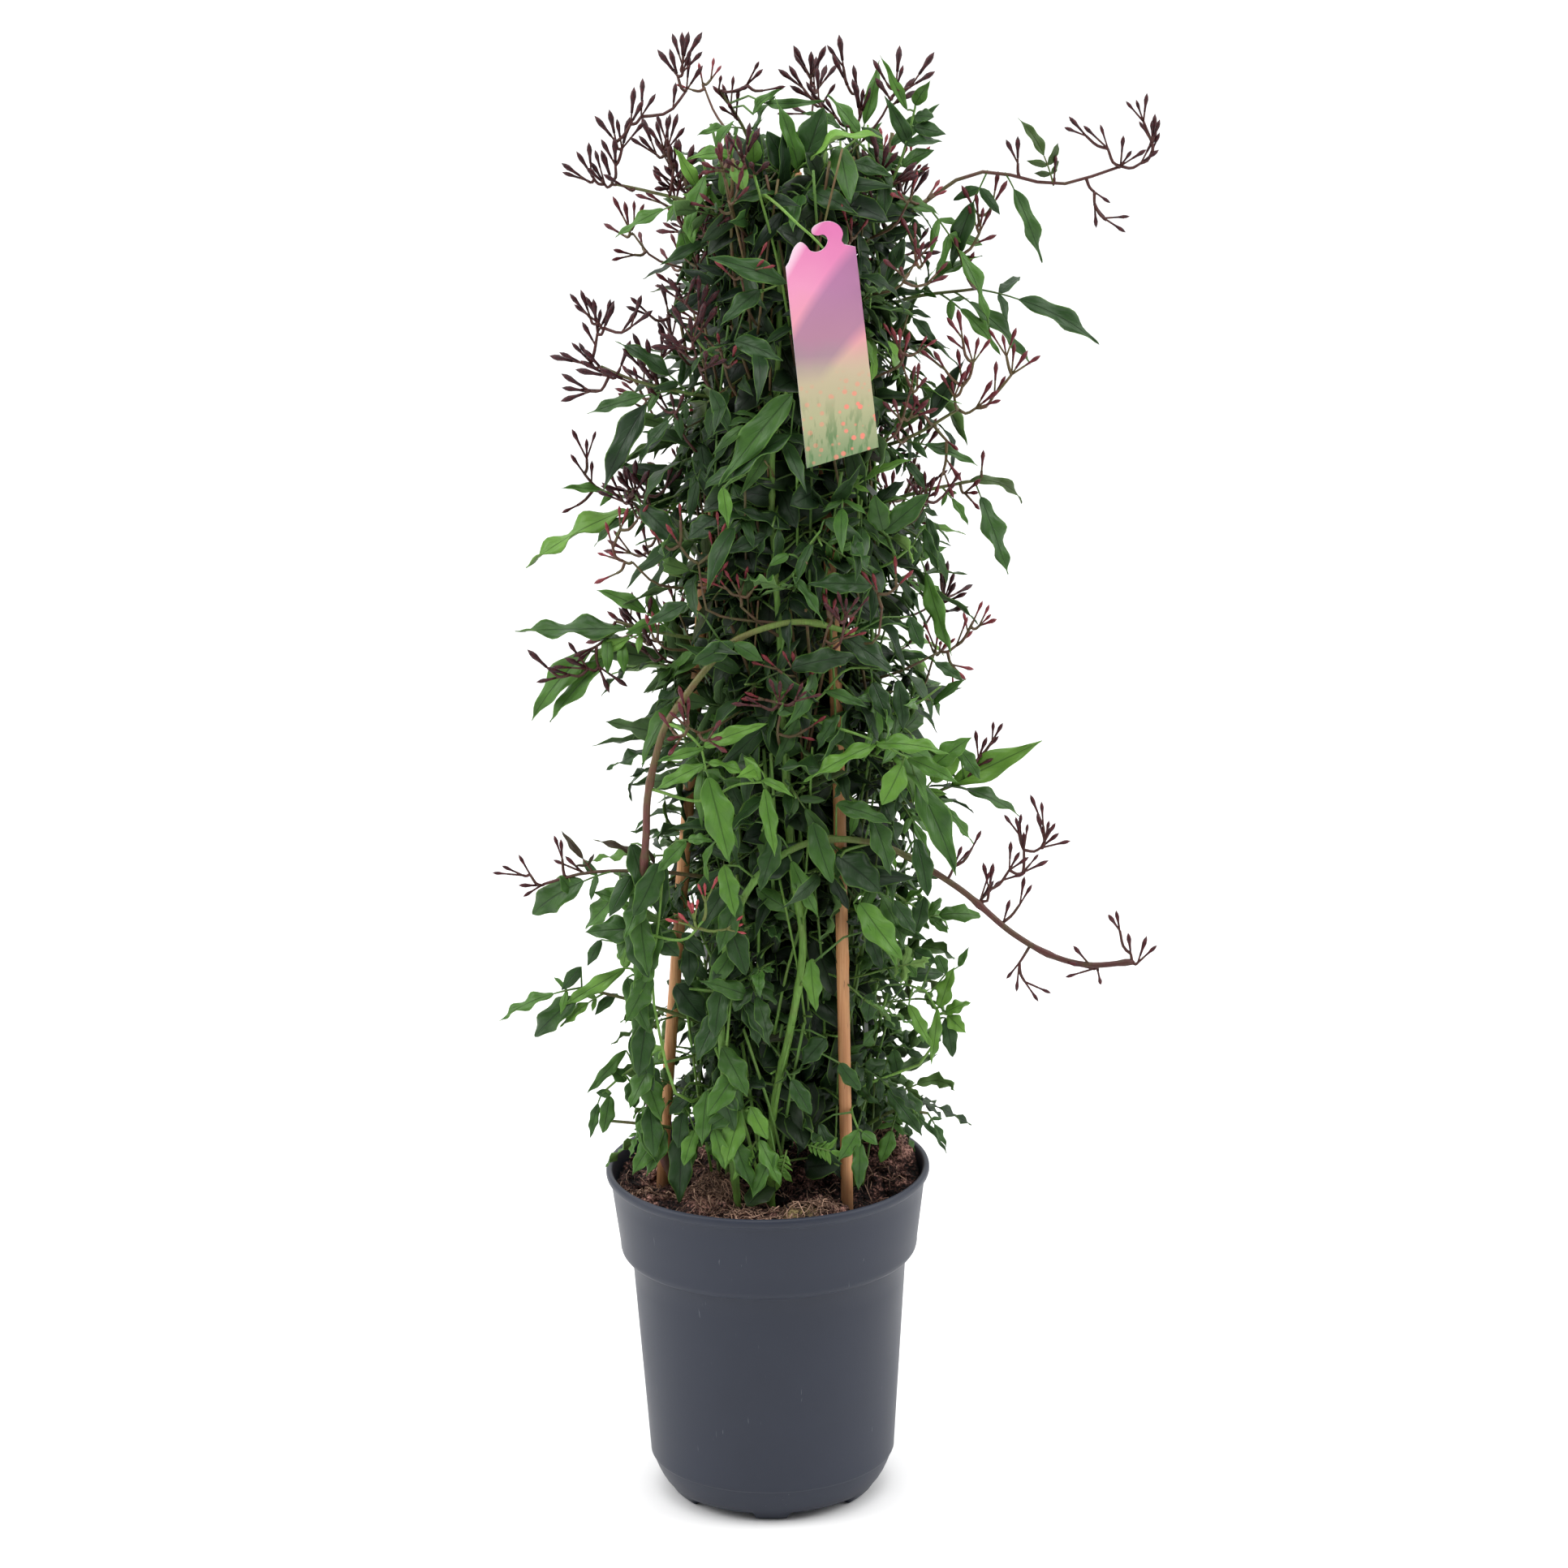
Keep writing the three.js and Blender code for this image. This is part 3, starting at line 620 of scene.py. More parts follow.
    def cyme(self, base: Vector, along: Vector, habit: BudHabit, count: int) -> None:
        """Adds a middle bud with others beside it, at the end of a stalk.

        Args:
            base: the end of the stalk.
            along: the stalk's direction there.
            habit: the panicle that it belongs to.
            count: the number of buds, up to three.
        """
        vary = self.chance.uniform
        side = across(along, Vector((0.0, -1.0, 0.2)) + self.scatter(0.4))
        self.bud(base, along + UP * 0.15, vary(1.5, 5.0) * MM, habit)
        for hand in (-1, 1)[: count - 1]:
            course = along + side * (hand * vary(0.35, 0.7)) + UP * 0.2
            self.bud(base, course, vary(3.0, 9.0) * MM, habit)

    def heads(self, stalk: Sequence[Vector], heads: Sequence[Vector], habit: BudHabit) -> None:
        """Reaches a thin stalk to each head of buds, from the nearest stalk that is there already.

        Args:
            stalk: points along the first stalk, in metres.
            heads: where the heads are, in metres.
            habit: the panicle that they belong to.
        """
        joints = list(stalk)

        def effort(joint: Vector, head: Vector) -> float:
            """How far a head is from a joint, more where it is too near or hangs below."""
            gap = (head - joint).length
            return gap + 2 * max(0.0, self.HEAD_ROOM - gap) + 0.5 * max(0.0, joint.z - head.z)

        for head in sorted(heads, key=lambda head: min((head - joint).length for joint in stalk)):
            joint = min(joints, key=lambda place: effort(place, head))
            reach = (head - joint).length
            end = joint.lerp(head, max(0.3, 1.0 - 0.8 * habit.bud * MM / max(reach, 1e-4)))
            middle = joint.lerp(end, 0.5) - UP * (self.SAG * reach) + self.scatter(self.WANDER * reach)
            route = Route([joint, middle, end])
            places = route.points(6)
            self.rod(places, [self.BUD_STALK * 1.25, self.BUD_STALK], [habit.tone], sides=5)
            joints.extend(places[2:])
            self.cyme(end, route.heading(1.0), habit, self.chance.choice(self.CYME_SIZES))
            if reach > 2 * self.HEAD_ROOM:
                foot, heading = route.at(self.SIDE_BUD), route.heading(self.SIDE_BUD)
                side = across(heading, Vector((0.0, -1.0, 0.3)))
                self.bud(foot, heading + side * self.chance.choice((-0.8, 0.8)), 3 * MM, habit)

    def panicle(self, base: Vector, along: Vector, habit: BudHabit) -> None:
        """Adds a panicle: a stalk that rises, with pairs of heads round it.

        Args:
            base: where it leaves its stem.
            along: the direction in which it starts.
            habit: how it grows.
        """
        vary = self.chance.uniform
        length = habit.length * MM
        course = along.normalized()
        top = base + course * (length * 0.8) + UP * (length * vary(0.1, 0.5))
        route = Route([base, base + course * (length * 0.5), top])
        self.rod(route.points(6), self.PANICLE_RADII, [habit.tone], sides=5)
        spots = [top + route.heading(1.0) * (habit.bud * MM)]
        for tier in range(habit.tiers):
            share = (tier + 0.9) / (habit.tiers + 0.5)
            heading = route.heading(share)
            side = Quaternion(heading, vary(-0.5, 0.5) + 1.2 * tier) @ across(heading, UP)
            for hand in (-1, 1):
                course = heading * vary(0.6, 1.0) + side * (hand * vary(0.5, 0.9))
                spots.append(route.at(share) + course.normalized() * (vary(16, 26) * MM))
        self.heads(route.points(7)[1:], spots, habit)

    def blade(
        self, foot: Vector, tip: Vector, width: float, tone: Tone, kind: LeafletKind, curl: float
    ) -> None:
        """Adds one leaflet between two set points, with its face to the front and up.

        Args:
            foot: where it leaves its stalk.
            tip: where its tip ends.
            width: its width in metres.
            tone: its colour.
            kind: its outline.
            curl: how far it bends, in radians.
        """
        chord = tip - foot
        axis = chord.normalized()
        side = Quaternion(axis, self.chance.gauss(0, 0.2)) @ across(axis, Vector((0.0, -0.8, 0.6)))
        normal = side.cross(axis)
        half = curl / 2
        along = axis * math.cos(half) + normal * math.sin(half)
        length = chord.length * half / math.sin(half)
        slimness = width / (2 * kind.value.half_width * length)
        twist, sway = self.chance.uniform(-0.5, 0.5), self.chance.uniform(-0.05, 0.05)
        self.leaflet(foot, along, side.cross(along), length, kind, tone, curl, slimness, twist, sway)

    def piece(
        self, name: str, nodes: Sequence[str], finish: bpy.types.Material | None = None
    ) -> bpy.types.Object:
        """Turns what has grown into a finished object.

        Args:
            name: the object's name.
            nodes: the CAD nodes that it stands for.
            finish: the only finish of a piece that isn't alive.

        Returns:
            The object, riding on the plant's one body.
        """
        living = (SKINS.stem, SKINS.leaf_face, SKINS.leaf_back, SKINS.bud)
        return placed(stored(self.mesh, name, *((finish,) if finish else living)), nodes)


def placed(data: bpy.types.Mesh, nodes: Sequence[str]) -> bpy.types.Object:
    """Links a mesh as a piece of the plant, with the material slot of the node that it stands for.

    Args:
        data: the finished mesh, which gives the piece its name.
        Links a mesh as a piece of the plant, and hides the CAD nodes that it stands for.

    Returns:
        The new object.
    """
    piece = linked(data.name, data)
    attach(piece, "root")
    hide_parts(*nodes)
    LOG.info("%s: %d faces", data.name, len(data.polygons))
    return piece


# ------------------------------------------------------------------ finishes


Socket = bpy.types.NodeSocket
Value = Socket | Colour | float


class NodeBench:
    """A material whose nodes are laid out by short calls."""

    CLOUD_RANGE = (0.3, 0.7)  # where nearly all of a noise's values lie

    def __init__(self, name: str) -> None:
        """Starts a material with a single surface shader."""
        self.material = bpy.data.materials.new(name)
        self.material.use_nodes = True
        self.tree = self.material.node_tree
        self.tree.nodes.clear()
        self.shader = self.node("ShaderNodeBsdfPrincipled")
        self.node("ShaderNodeOutputMaterial", Surface=self.shader.outputs["BSDF"])

    def feed(self, socket: Socket, value: Value) -> None:
        """Joins a socket to another one, or sets it to a colour or a number."""
        if isinstance(value, Socket):
            self.tree.links.new(value, socket)
        else:
            socket.default_value = (*value, 1.0) if socket.type == "RGBA" else value

    def node(self, kind: str, **values: Value) -> bpy.types.Node:
        """A new node with some inputs fed, with _ for a space in their names."""
        node = self.tree.nodes.new(kind)
        for name, value in values.items():
            self.feed(node.inputs[name.replace("_", " ")], value)
        return node

    def set(self, **values: Value) -> None:
        """Feeds inputs of the shader, with _ for a space in their names."""
        for name, value in values.items():
            self.feed(self.shader.inputs[name.replace("_", " ")], value)

    def coordinates(self, scale: Point = (1.0, 1.0, 1.0), turn: Point = (0, 0, 0)) -> Socket:
        """Object coordinates in metres, scaled and turned."""
        source = self.node("ShaderNodeTexCoord").outputs["Object"]
        return self.node("ShaderNodeMapping", Vector=source, Scale=scale, Rotation=turn).outputs["Vector"]

    def attribute(self, name: str) -> Socket:
        """The value of a named attribute."""
        node = self.node("ShaderNodeAttribute")
        node.attribute_name = name
        return node.outputs["Fac"]

    def uv(self, name: str) -> tuple[Socket, Socket]:
        """The two values of a UV map."""
        node = self.node("ShaderNodeUVMap")
        node.uv_map = name
        parts = self.node("ShaderNodeSeparateXYZ", Vector=node.outputs["UV"])
        return parts.outputs["X"], parts.outputs["Y"]

    def height(self) -> Socket:
        """The height above the object's origin, in metres."""
        return self.node("ShaderNodeSeparateXYZ", Vector=self.coordinates()).outputs["Z"]

    def noise(self, where: Socket, scale: float, detail: float) -> Socket:
        """A cloudy value from 0 to 1."""
        return self.node("ShaderNodeTexNoise", Vector=where, Scale=scale, Detail=detail).outputs["Fac"]

    def spots(self, where: Socket, scale: float) -> Socket:
        """The distance to the nearest of many scattered points."""
        return self.node("ShaderNodeTexVoronoi", Vector=where, Scale=scale).outputs["Distance"]

    def near(self, centre: Point, inner: float, outer: float) -> Socket:
        """1 near a place in millimetres, fading to 0 between two distances."""
        node = self.node("ShaderNodeVectorMath")
        node.operation = "DISTANCE"
        self.feed(node.inputs[0], self.coordinates())
        self.feed(node.inputs[1], metres(centre))
        return self.level(node.outputs["Value"], inner * MM, outer * MM, 1.0, 0.0)

    def maths(self, kind: str, *values: Value) -> Socket:
        """The result of one sum on sockets or numbers."""
        node = self.node("ShaderNodeMath")
        node.operation = kind
        for socket, value in zip(node.inputs, values):
            self.feed(socket, value)
        return node.outputs["Value"]

    def plus(self, first: Value, second: Value) -> Socket:
        """The sum of two values."""
        return self.maths("ADD", first, second)

    def times(self, first: Value, second: Value) -> Socket:
        """The product of two values."""
        return self.maths("MULTIPLY", first, second)

    def ramp(self, value: Socket, *stops: tuple[float, Colour]) -> Socket:
        """A colour read from a value between stops."""
        node = self.node("ShaderNodeValToRGB", Fac=value)
        elements = node.color_ramp.elements
        while len(elements) < len(stops):
            elements.new(0.5)
        for element, (place, colour) in zip(elements, stops):
            element.position = place
            element.color = (*colour, 1.0)
        return node.outputs["Color"]

    def level(self, value: Socket, low: float, high: float, floor: float, top: float) -> Socket:
        """A value stretched from one range to another and held there."""
        limits = {"From_Min": low, "From_Max": high, "To_Min": floor, "To_Max": top}
        return self.node("ShaderNodeMapRange", Value=value, **limits).outputs["Result"]

    def clouds(self, value: Socket, floor: float, top: float) -> Socket:
        """A noise stretched to run between two values."""
        return self.level(value, *self.CLOUD_RANGE, floor, top)

    def mix(self, share: Value, first: Value, second: Value) -> Socket:
        """Two colours mixed by a share."""
        node = self.node("ShaderNodeMix")
        node.data_type = "RGBA"
        for index, value in ((0, share), (6, first), (7, second)):
            self.feed(node.inputs[index], value)
        return node.outputs[2]

    def bump(self, value: Socket, depth: float, strength: float) -> None:
        """Gives the surface a relief.

        Args:
            value: the relief from 0 to 1.
            depth: its depth in metres.
            strength: how much of it shows.
        """
        node = self.node("ShaderNodeBump", Height=value, Distance=depth, Strength=strength)
        self.set(Normal=node.outputs["Normal"])


@dataclass(frozen=True)
class LeafFinish:
    """The face or the back of a leaf."""

    name: str
    greens: tuple[Colour, Colour, Colour, Colour]  # from an old leaf in the shade to a young one in the light
    bronze: Colour  # an unfolding leaf
    gloss: float  # the roughness of the skin

    def make(self) -> bpy.types.Material:
        """Builds the material, with a midrib, side veins, a painted highlight on the margin, mottling and a
        waxy skin.
        """
        bench = NodeBench(self.name)
        shade, blush = bench.attribute("shade"), bench.attribute("blush")
        mottle = bench.noise(bench.coordinates(), 90.0, 5.0)
        toned = bench.plus(shade, bench.clouds(mottle, -0.07, 0.07))
        green = bench.ramp(toned, *zip((0.0, 0.4, 0.7, 1.0), self.greens))
        body = bench.mix(blush, green, self.bronze)
        side, along = bench.uv("leaf")
        from_rib = bench.maths("ABSOLUTE", bench.maths("SUBTRACT", side, 0.5))
        rib = bench.level(from_rib, 0.010, 0.045, 1.0, 0.0)
        slant = bench.maths("SUBTRACT", along, bench.times(from_rib, 0.55))
        veins = bench.maths("SINE", bench.times(slant, 52.0))
        vein_line = bench.level(veins, 0.72, 1.0, 0.0, 1.0)
        vein_line = bench.times(vein_line, bench.level(from_rib, 0.0, 0.45, 1.0, 0.15))
        darker = bench.mix(0.6, body, (0.0, 0.0, 0.0))
        ribbed = bench.mix(bench.times(rib, 0.8), body, darker)
        lined = bench.mix(bench.times(vein_line, 0.16), ribbed, darker)
        # painted highlight: each leaflet's edge is mixed towards the freshest green, as if lit
        lit_edge = bench.level(from_rib, 0.445, 0.485, 0.0, 0.40)
        bench.set(Base_Color=bench.mix(lit_edge, lined, self.greens[3]))
        bench.set(Roughness=bench.clouds(mottle, self.gloss - 0.05, self.gloss + 0.08))
        groove = bench.maths("MAXIMUM", rib, bench.times(vein_line, 0.5))
        bench.bump(bench.maths("SUBTRACT", 1.0, groove), 0.0003, 0.6)
        bench.set(Specular_IOR_Level=0.30, IOR=1.45)
        return bench.material


@dataclass(frozen=True)
class StemFinish:
    """Living bark, green or purple by its blush."""

    name: str = "stem_bark"
    green: Colour = (0.030, 0.085, 0.018)
    fresh: Colour = (0.165, 0.34, 0.055)
    purple: Colour = (0.060, 0.013, 0.013)
    bark: Colour = (0.200, 0.066, 0.052)
    grain: Colour = (0.02, 0.02, 0.012)

    def make(self) -> bpy.types.Material:
        """Builds the material, with fine lengthwise streaks."""
        bench = NodeBench(self.name)
        streak = bench.noise(bench.coordinates((1.0, 1.0, 0.12)), 1400.0, 3.0)
        cloud = bench.noise(bench.coordinates(), 130.0, 3.0)
        green = bench.mix(bench.attribute("shade"), self.green, self.fresh)
        blush = bench.plus(bench.attribute("blush"), bench.level(cloud, 0.35, 0.65, -0.14, 0.14))
        held = bench.level(blush, 0.0, 1.0, 0.0, 1.0)
        body = bench.mix(held, green, bench.mix(bench.attribute("shade"), self.purple, self.bark))
        bench.set(Base_Color=bench.mix(bench.clouds(streak, 0.0, 0.4), body, self.grain))
        bench.set(Roughness=bench.clouds(streak, 0.42, 0.6), Specular_IOR_Level=0.32)
        bench.bump(streak, 0.0002, 0.5)
        return bench.material


@dataclass(frozen=True)
class BudFinish:
    """The skin of closed buds, from dark maroon to pink by their shade."""

    name: str = "bud_skin"
    dark: Colour = (0.020, 0.004, 0.006)
    wine: Colour = (0.125, 0.014, 0.020)
    pink: Colour = (0.52, 0.09, 0.10)

    def make(self) -> bpy.types.Material:
        """Builds the material, with streaks that run up the bud."""
        bench = NodeBench(self.name)
        streak = bench.noise(bench.coordinates(), 900.0, 3.0)
        toned = bench.plus(bench.attribute("shade"), bench.clouds(streak, -0.12, 0.12))
        bench.set(Base_Color=bench.ramp(toned, (0.0, self.dark), (0.35, self.wine), (1.0, self.pink)))
        bench.set(Roughness=bench.clouds(streak, 0.40, 0.58), Specular_IOR_Level=0.30)
        bench.bump(streak, 0.0002, 0.4)
        return bench.material


@dataclass(frozen=True)
class PotFinish:
    """Satin anthracite plastic with moulding marks and scuffs."""

    name: str = "anthracite_plastic"
    body: Colour = (0.0245, 0.0290, 0.0435)
    pale: Colour = (0.0315, 0.0370, 0.0550)
    scuff: Colour = (0.14, 0.15, 0.17)

    def make(self) -> bpy.types.Material:
        """Builds the material, with clouding, specks and fine upright scratches."""
        bench = NodeBench(self.name)
        where = bench.coordinates()
        cloud = bench.noise(where, 14.0, 5.0)
        grain = bench.noise(where, 1600.0, 2.0)
        body = bench.mix(bench.clouds(cloud, 0.0, 0.6), self.body, self.pale)
        specks = bench.level(bench.spots(where, 190.0), 0.035, 0.06, 1.0, 0.0)
        sparse = bench.level(bench.noise(where, 60.0, 2.0), 0.60, 0.66, 0.0, 1.0)
        scratch = bench.noise(bench.coordinates((1.0, 1.0, 0.05), (0.0, 0.12, 0.0)), 900.0, 2.0)
        scratches = bench.level(scratch, 0.70, 0.74, 0.0, 1.0)
        marks = bench.times(bench.maths("MAXIMUM", specks, scratches), sparse)
        bench.set(Base_Color=bench.mix(bench.times(marks, 0.5), body, self.scuff))
        bench.set(Roughness=bench.clouds(cloud, 0.40, 0.50), Specular_IOR_Level=0.25)
        bench.bump(grain, 0.00008, 0.5)
        return bench.material


@dataclass(frozen=True)
class PeatFinish:
    """Black peat with brown crumbs, a felted lump of coir and a green patch of moss."""

    name: str = "peat"
    dark: Colour = (0.005, 0.0035, 0.0035)
    brown: Colour = (0.085, 0.040, 0.033)
    tan: Colour = (0.58, 0.31, 0.25)
    felt: Colour = (0.44, 0.24, 0.19)
    moss: Colour = (0.20, 0.18, 0.06)
    felt_lump: Point = (-26, -32, 180)  # the middles of three patches, in millimetres
    coir_mound: Point = (60, 45, 185)
    moss_patch: Point = (17, -58, 176)

    def make(self) -> bpy.types.Material:
        """Builds the material, rough and crumbly at several scales."""
        bench = NodeBench(self.name)
        where = bench.coordinates()
        coarse = bench.noise(where, 95.0, 6.0)
        fine = bench.noise(where, 700.0, 6.0)
        both = bench.plus(bench.times(coarse, 0.5), bench.times(fine, 0.5))
        raised = bench.level(bench.height(), 0.168, 0.177, -0.06, 0.02)
        stops = (0.44, self.dark), (0.525, self.brown), (0.635, self.tan)
        peat = bench.ramp(bench.plus(both, raised), *stops)
        strands = bench.level(both, 0.45, 0.57, 0.0, 1.0)
        felt = bench.times(bench.near(self.felt_lump, 13, 21), strands)
        mound = bench.times(bench.near(self.coir_mound, 16, 34), bench.times(strands, 0.55))
        lumped = bench.mix(bench.maths("MAXIMUM", felt, mound), peat, self.felt)
        green = bench.times(bench.near(self.moss_patch, 6, 13), bench.times(strands, 0.8))
        bench.set(Base_Color=bench.mix(green, lumped, self.moss))
        bench.set(Roughness=0.95, Specular_IOR_Level=0.2)
        bench.bump(both, 0.003, 0.9)
        return bench.material


@dataclass(frozen=True)
class FibreFinish:
    """Dry plant fibre, lighter or darker by its shade attribute."""

    name: str = "coir_fibre"
    dark: Colour = (0.050, 0.024, 0.018)
    pale: Colour = (0.66, 0.42, 0.30)

    def make(self) -> bpy.types.Material:
        """Builds the material, with fine breaks in its colour."""
        bench = NodeBench(self.name)
        grain = bench.noise(bench.coordinates(), 700.0, 4.0)
        toned = bench.plus(bench.attribute("shade"), bench.clouds(grain, -0.2, 0.2))
        bench.set(Base_Color=bench.ramp(toned, (0.0, self.dark), (1.0, self.pale)))
        bench.set(Roughness=0.85, Specular_IOR_Level=0.25)
        bench.bump(grain, 0.0004, 0.6)
        return bench.material


@dataclass(frozen=True)
class BambooFinish:
    """Orange tan cane with long grain, dark flecks and stained patches."""

    name: str = "bamboo"
    tan: Colour = (0.44, 0.185, 0.070)
    light: Colour = (0.60, 0.31, 0.13)
    dark: Colour = (0.10, 0.04, 0.02)
    stain: Colour = (0.30, 0.12, 0.05)
    foot_dark: Colour = (0.05, 0.028, 0.015)

    def make(self) -> bpy.types.Material:
        """Builds the material from stretched noise along the cane."""
        bench = NodeBench(self.name)
        grain = bench.noise(bench.coordinates((1.0, 1.0, 0.03)), 1500.0, 4.0)
        cloud = bench.noise(bench.coordinates((1.0, 1.0, 0.35)), 55.0, 4.0)
        fleck = bench.noise(bench.coordinates((1.0, 1.0, 0.16)), 620.0, 2.0)
        body = bench.mix(bench.clouds(grain, 0.0, 1.0), self.tan, self.light)
        stained = bench.mix(bench.level(cloud, 0.45, 0.75, 0.0, 0.55), body, self.stain)
        flecked = bench.mix(bench.level(fleck, 0.66, 0.74, 0.0, 0.8), stained, self.dark)
        # darker towards the foot of the cane, where it meets the mix
        foot_dark = bench.level(bench.height(), 0.172, 0.192, 0.65, 0.0)
        bench.set(Base_Color=bench.mix(foot_dark, flecked, self.foot_dark))
        bench.set(Roughness=bench.clouds(cloud, 0.42, 0.6))
        bench.bump(grain, 0.00025, 0.7)
        return bench.material


@dataclass(frozen=True)
class TagFinish:
    """Glossy printed card: soft bands of pink and violet that fade to a flecked green foot."""

    name: str = "tag_card"
    bands: tuple[tuple[float, Colour], ...] = (
        (0.02, (0.20, 0.28, 0.13)),
        (0.20, (0.40, 0.40, 0.22)),
        (0.38, (0.52, 0.42, 0.28)),
        (0.50, (0.74, 0.32, 0.36)),
        (0.72, (0.76, 0.28, 0.46)),
        (0.96, (0.68, 0.17, 0.40)),
    )
    violet: Colour = (0.19, 0.11, 0.24)
    white: Colour = (0.86, 0.72, 0.80)
    leaf: Colour = (0.05, 0.16, 0.04)
    coral: Colour = (0.84, 0.22, 0.16)

    def make(self) -> bpy.types.Material:
        """Builds the print from the card's own UV map, up and across."""
        bench = NodeBench(self.name)
        side, up = bench.uv("card")
        where = bench.coordinates()
        drift = bench.clouds(bench.noise(where, 24.0, 3.0), -0.05, 0.05)
        ground = bench.ramp(bench.plus(up, drift), *self.bands)
        arc = bench.plus(bench.times(up, 5.0), bench.times(side, -3.4))
        swing = bench.maths("SINE", bench.plus(arc, bench.times(side, side)))
        upper = bench.level(up, 0.34, 0.46, 0.0, 1.0)
        violet = bench.times(bench.level(swing, 0.45, 0.75, 0.0, 0.6), upper)
        light = bench.times(bench.level(swing, -0.55, -0.80, 0.0, 0.7), upper)
        banded = bench.mix(light, bench.mix(violet, ground, self.violet), self.white)
        blade = bench.noise(bench.coordinates((1.0, 1.0, 0.22), (0.0, 0.5, 0.0)), 420.0, 3.0)
        grass = bench.times(bench.level(blade, 0.50, 0.62, 0.0, 0.7), bench.level(up, 0.30, 0.12, 0.0, 1.0))
        leafy = bench.mix(grass, banded, self.leaf)
        spot = bench.level(bench.spots(where, 230.0), 0.24, 0.34, 1.0, 0.0)
        low = bench.times(bench.level(up, 0.40, 0.26, 0.0, 0.9), bench.level(side, 0.35, 0.7, 0.4, 1.0))
        bench.set(Base_Color=bench.mix(bench.times(spot, low), leafy, self.coral))
        bench.set(Roughness=0.22, Coat_Weight=0.4, Coat_Roughness=0.12)
        bench.bump(bench.noise(where, 2200.0, 2.0), 0.00002, 0.3)
        return bench.material


@dataclass(frozen=True)
class PlainFinish:
    """A small fitting or the floor: one hue with a fine mottling."""

    name: str
    colour: Colour
    other: Colour
    rough: float
    scale: float

    def make(self) -> bpy.types.Material:
        """Builds the material."""
        bench = NodeBench(self.name)
        cloud = bench.noise(bench.coordinates(), self.scale, 3.0)
        bench.set(Base_Color=bench.mix(bench.clouds(cloud, 0.0, 1.0), self.colour, self.other))
        bench.set(Roughness=bench.clouds(cloud, self.rough, min(1.0, self.rough + 0.1)))
        return bench.material


class Skins:
    """The materials, each made once."""

    def __init__(self) -> None:
        """Makes every material."""
        self.leaf_face = LeafFinish(
            "leaf_face",
            greens=(
                (0.009, 0.022, 0.010),
                (0.025, 0.068, 0.015),
                (0.066, 0.165, 0.024),
                (0.135, 0.285, 0.040),
            ),
            bronze=(0.050, 0.024, 0.018),
            gloss=0.38,
        ).make()
        self.leaf_back = LeafFinish(
            "leaf_back",
            greens=(
                (0.028, 0.058, 0.021),
                (0.066, 0.132, 0.036),
                (0.118, 0.220, 0.055),
                (0.195, 0.330, 0.090),
            ),
            bronze=(0.090, 0.050, 0.045),
            gloss=0.55,
        ).make()
        self.stem = StemFinish().make()
        self.bud = BudFinish().make()
        self.pot = PotFinish().make()
        self.peat = PeatFinish().make()
        self.fibre = FibreFinish().make()
        self.bamboo = BambooFinish().make()
        self.tag = TagFinish().make()
        self.card_edge = PlainFinish("card_edge", (0.80, 0.74, 0.77), (0.84, 0.79, 0.81), 0.4, 300.0).make()
        self.tie = PlainFinish("tie_plastic", (0.02, 0.07, 0.02), (0.03, 0.10, 0.03), 0.45, 400.0).make()
        self.floor = PlainFinish("floor", (0.86, 0.86, 0.86), (0.88, 0.88, 0.88), 0.75, 3.0).make()


SKINS = Skins()


# ------------------------------------------------------------------ the pot


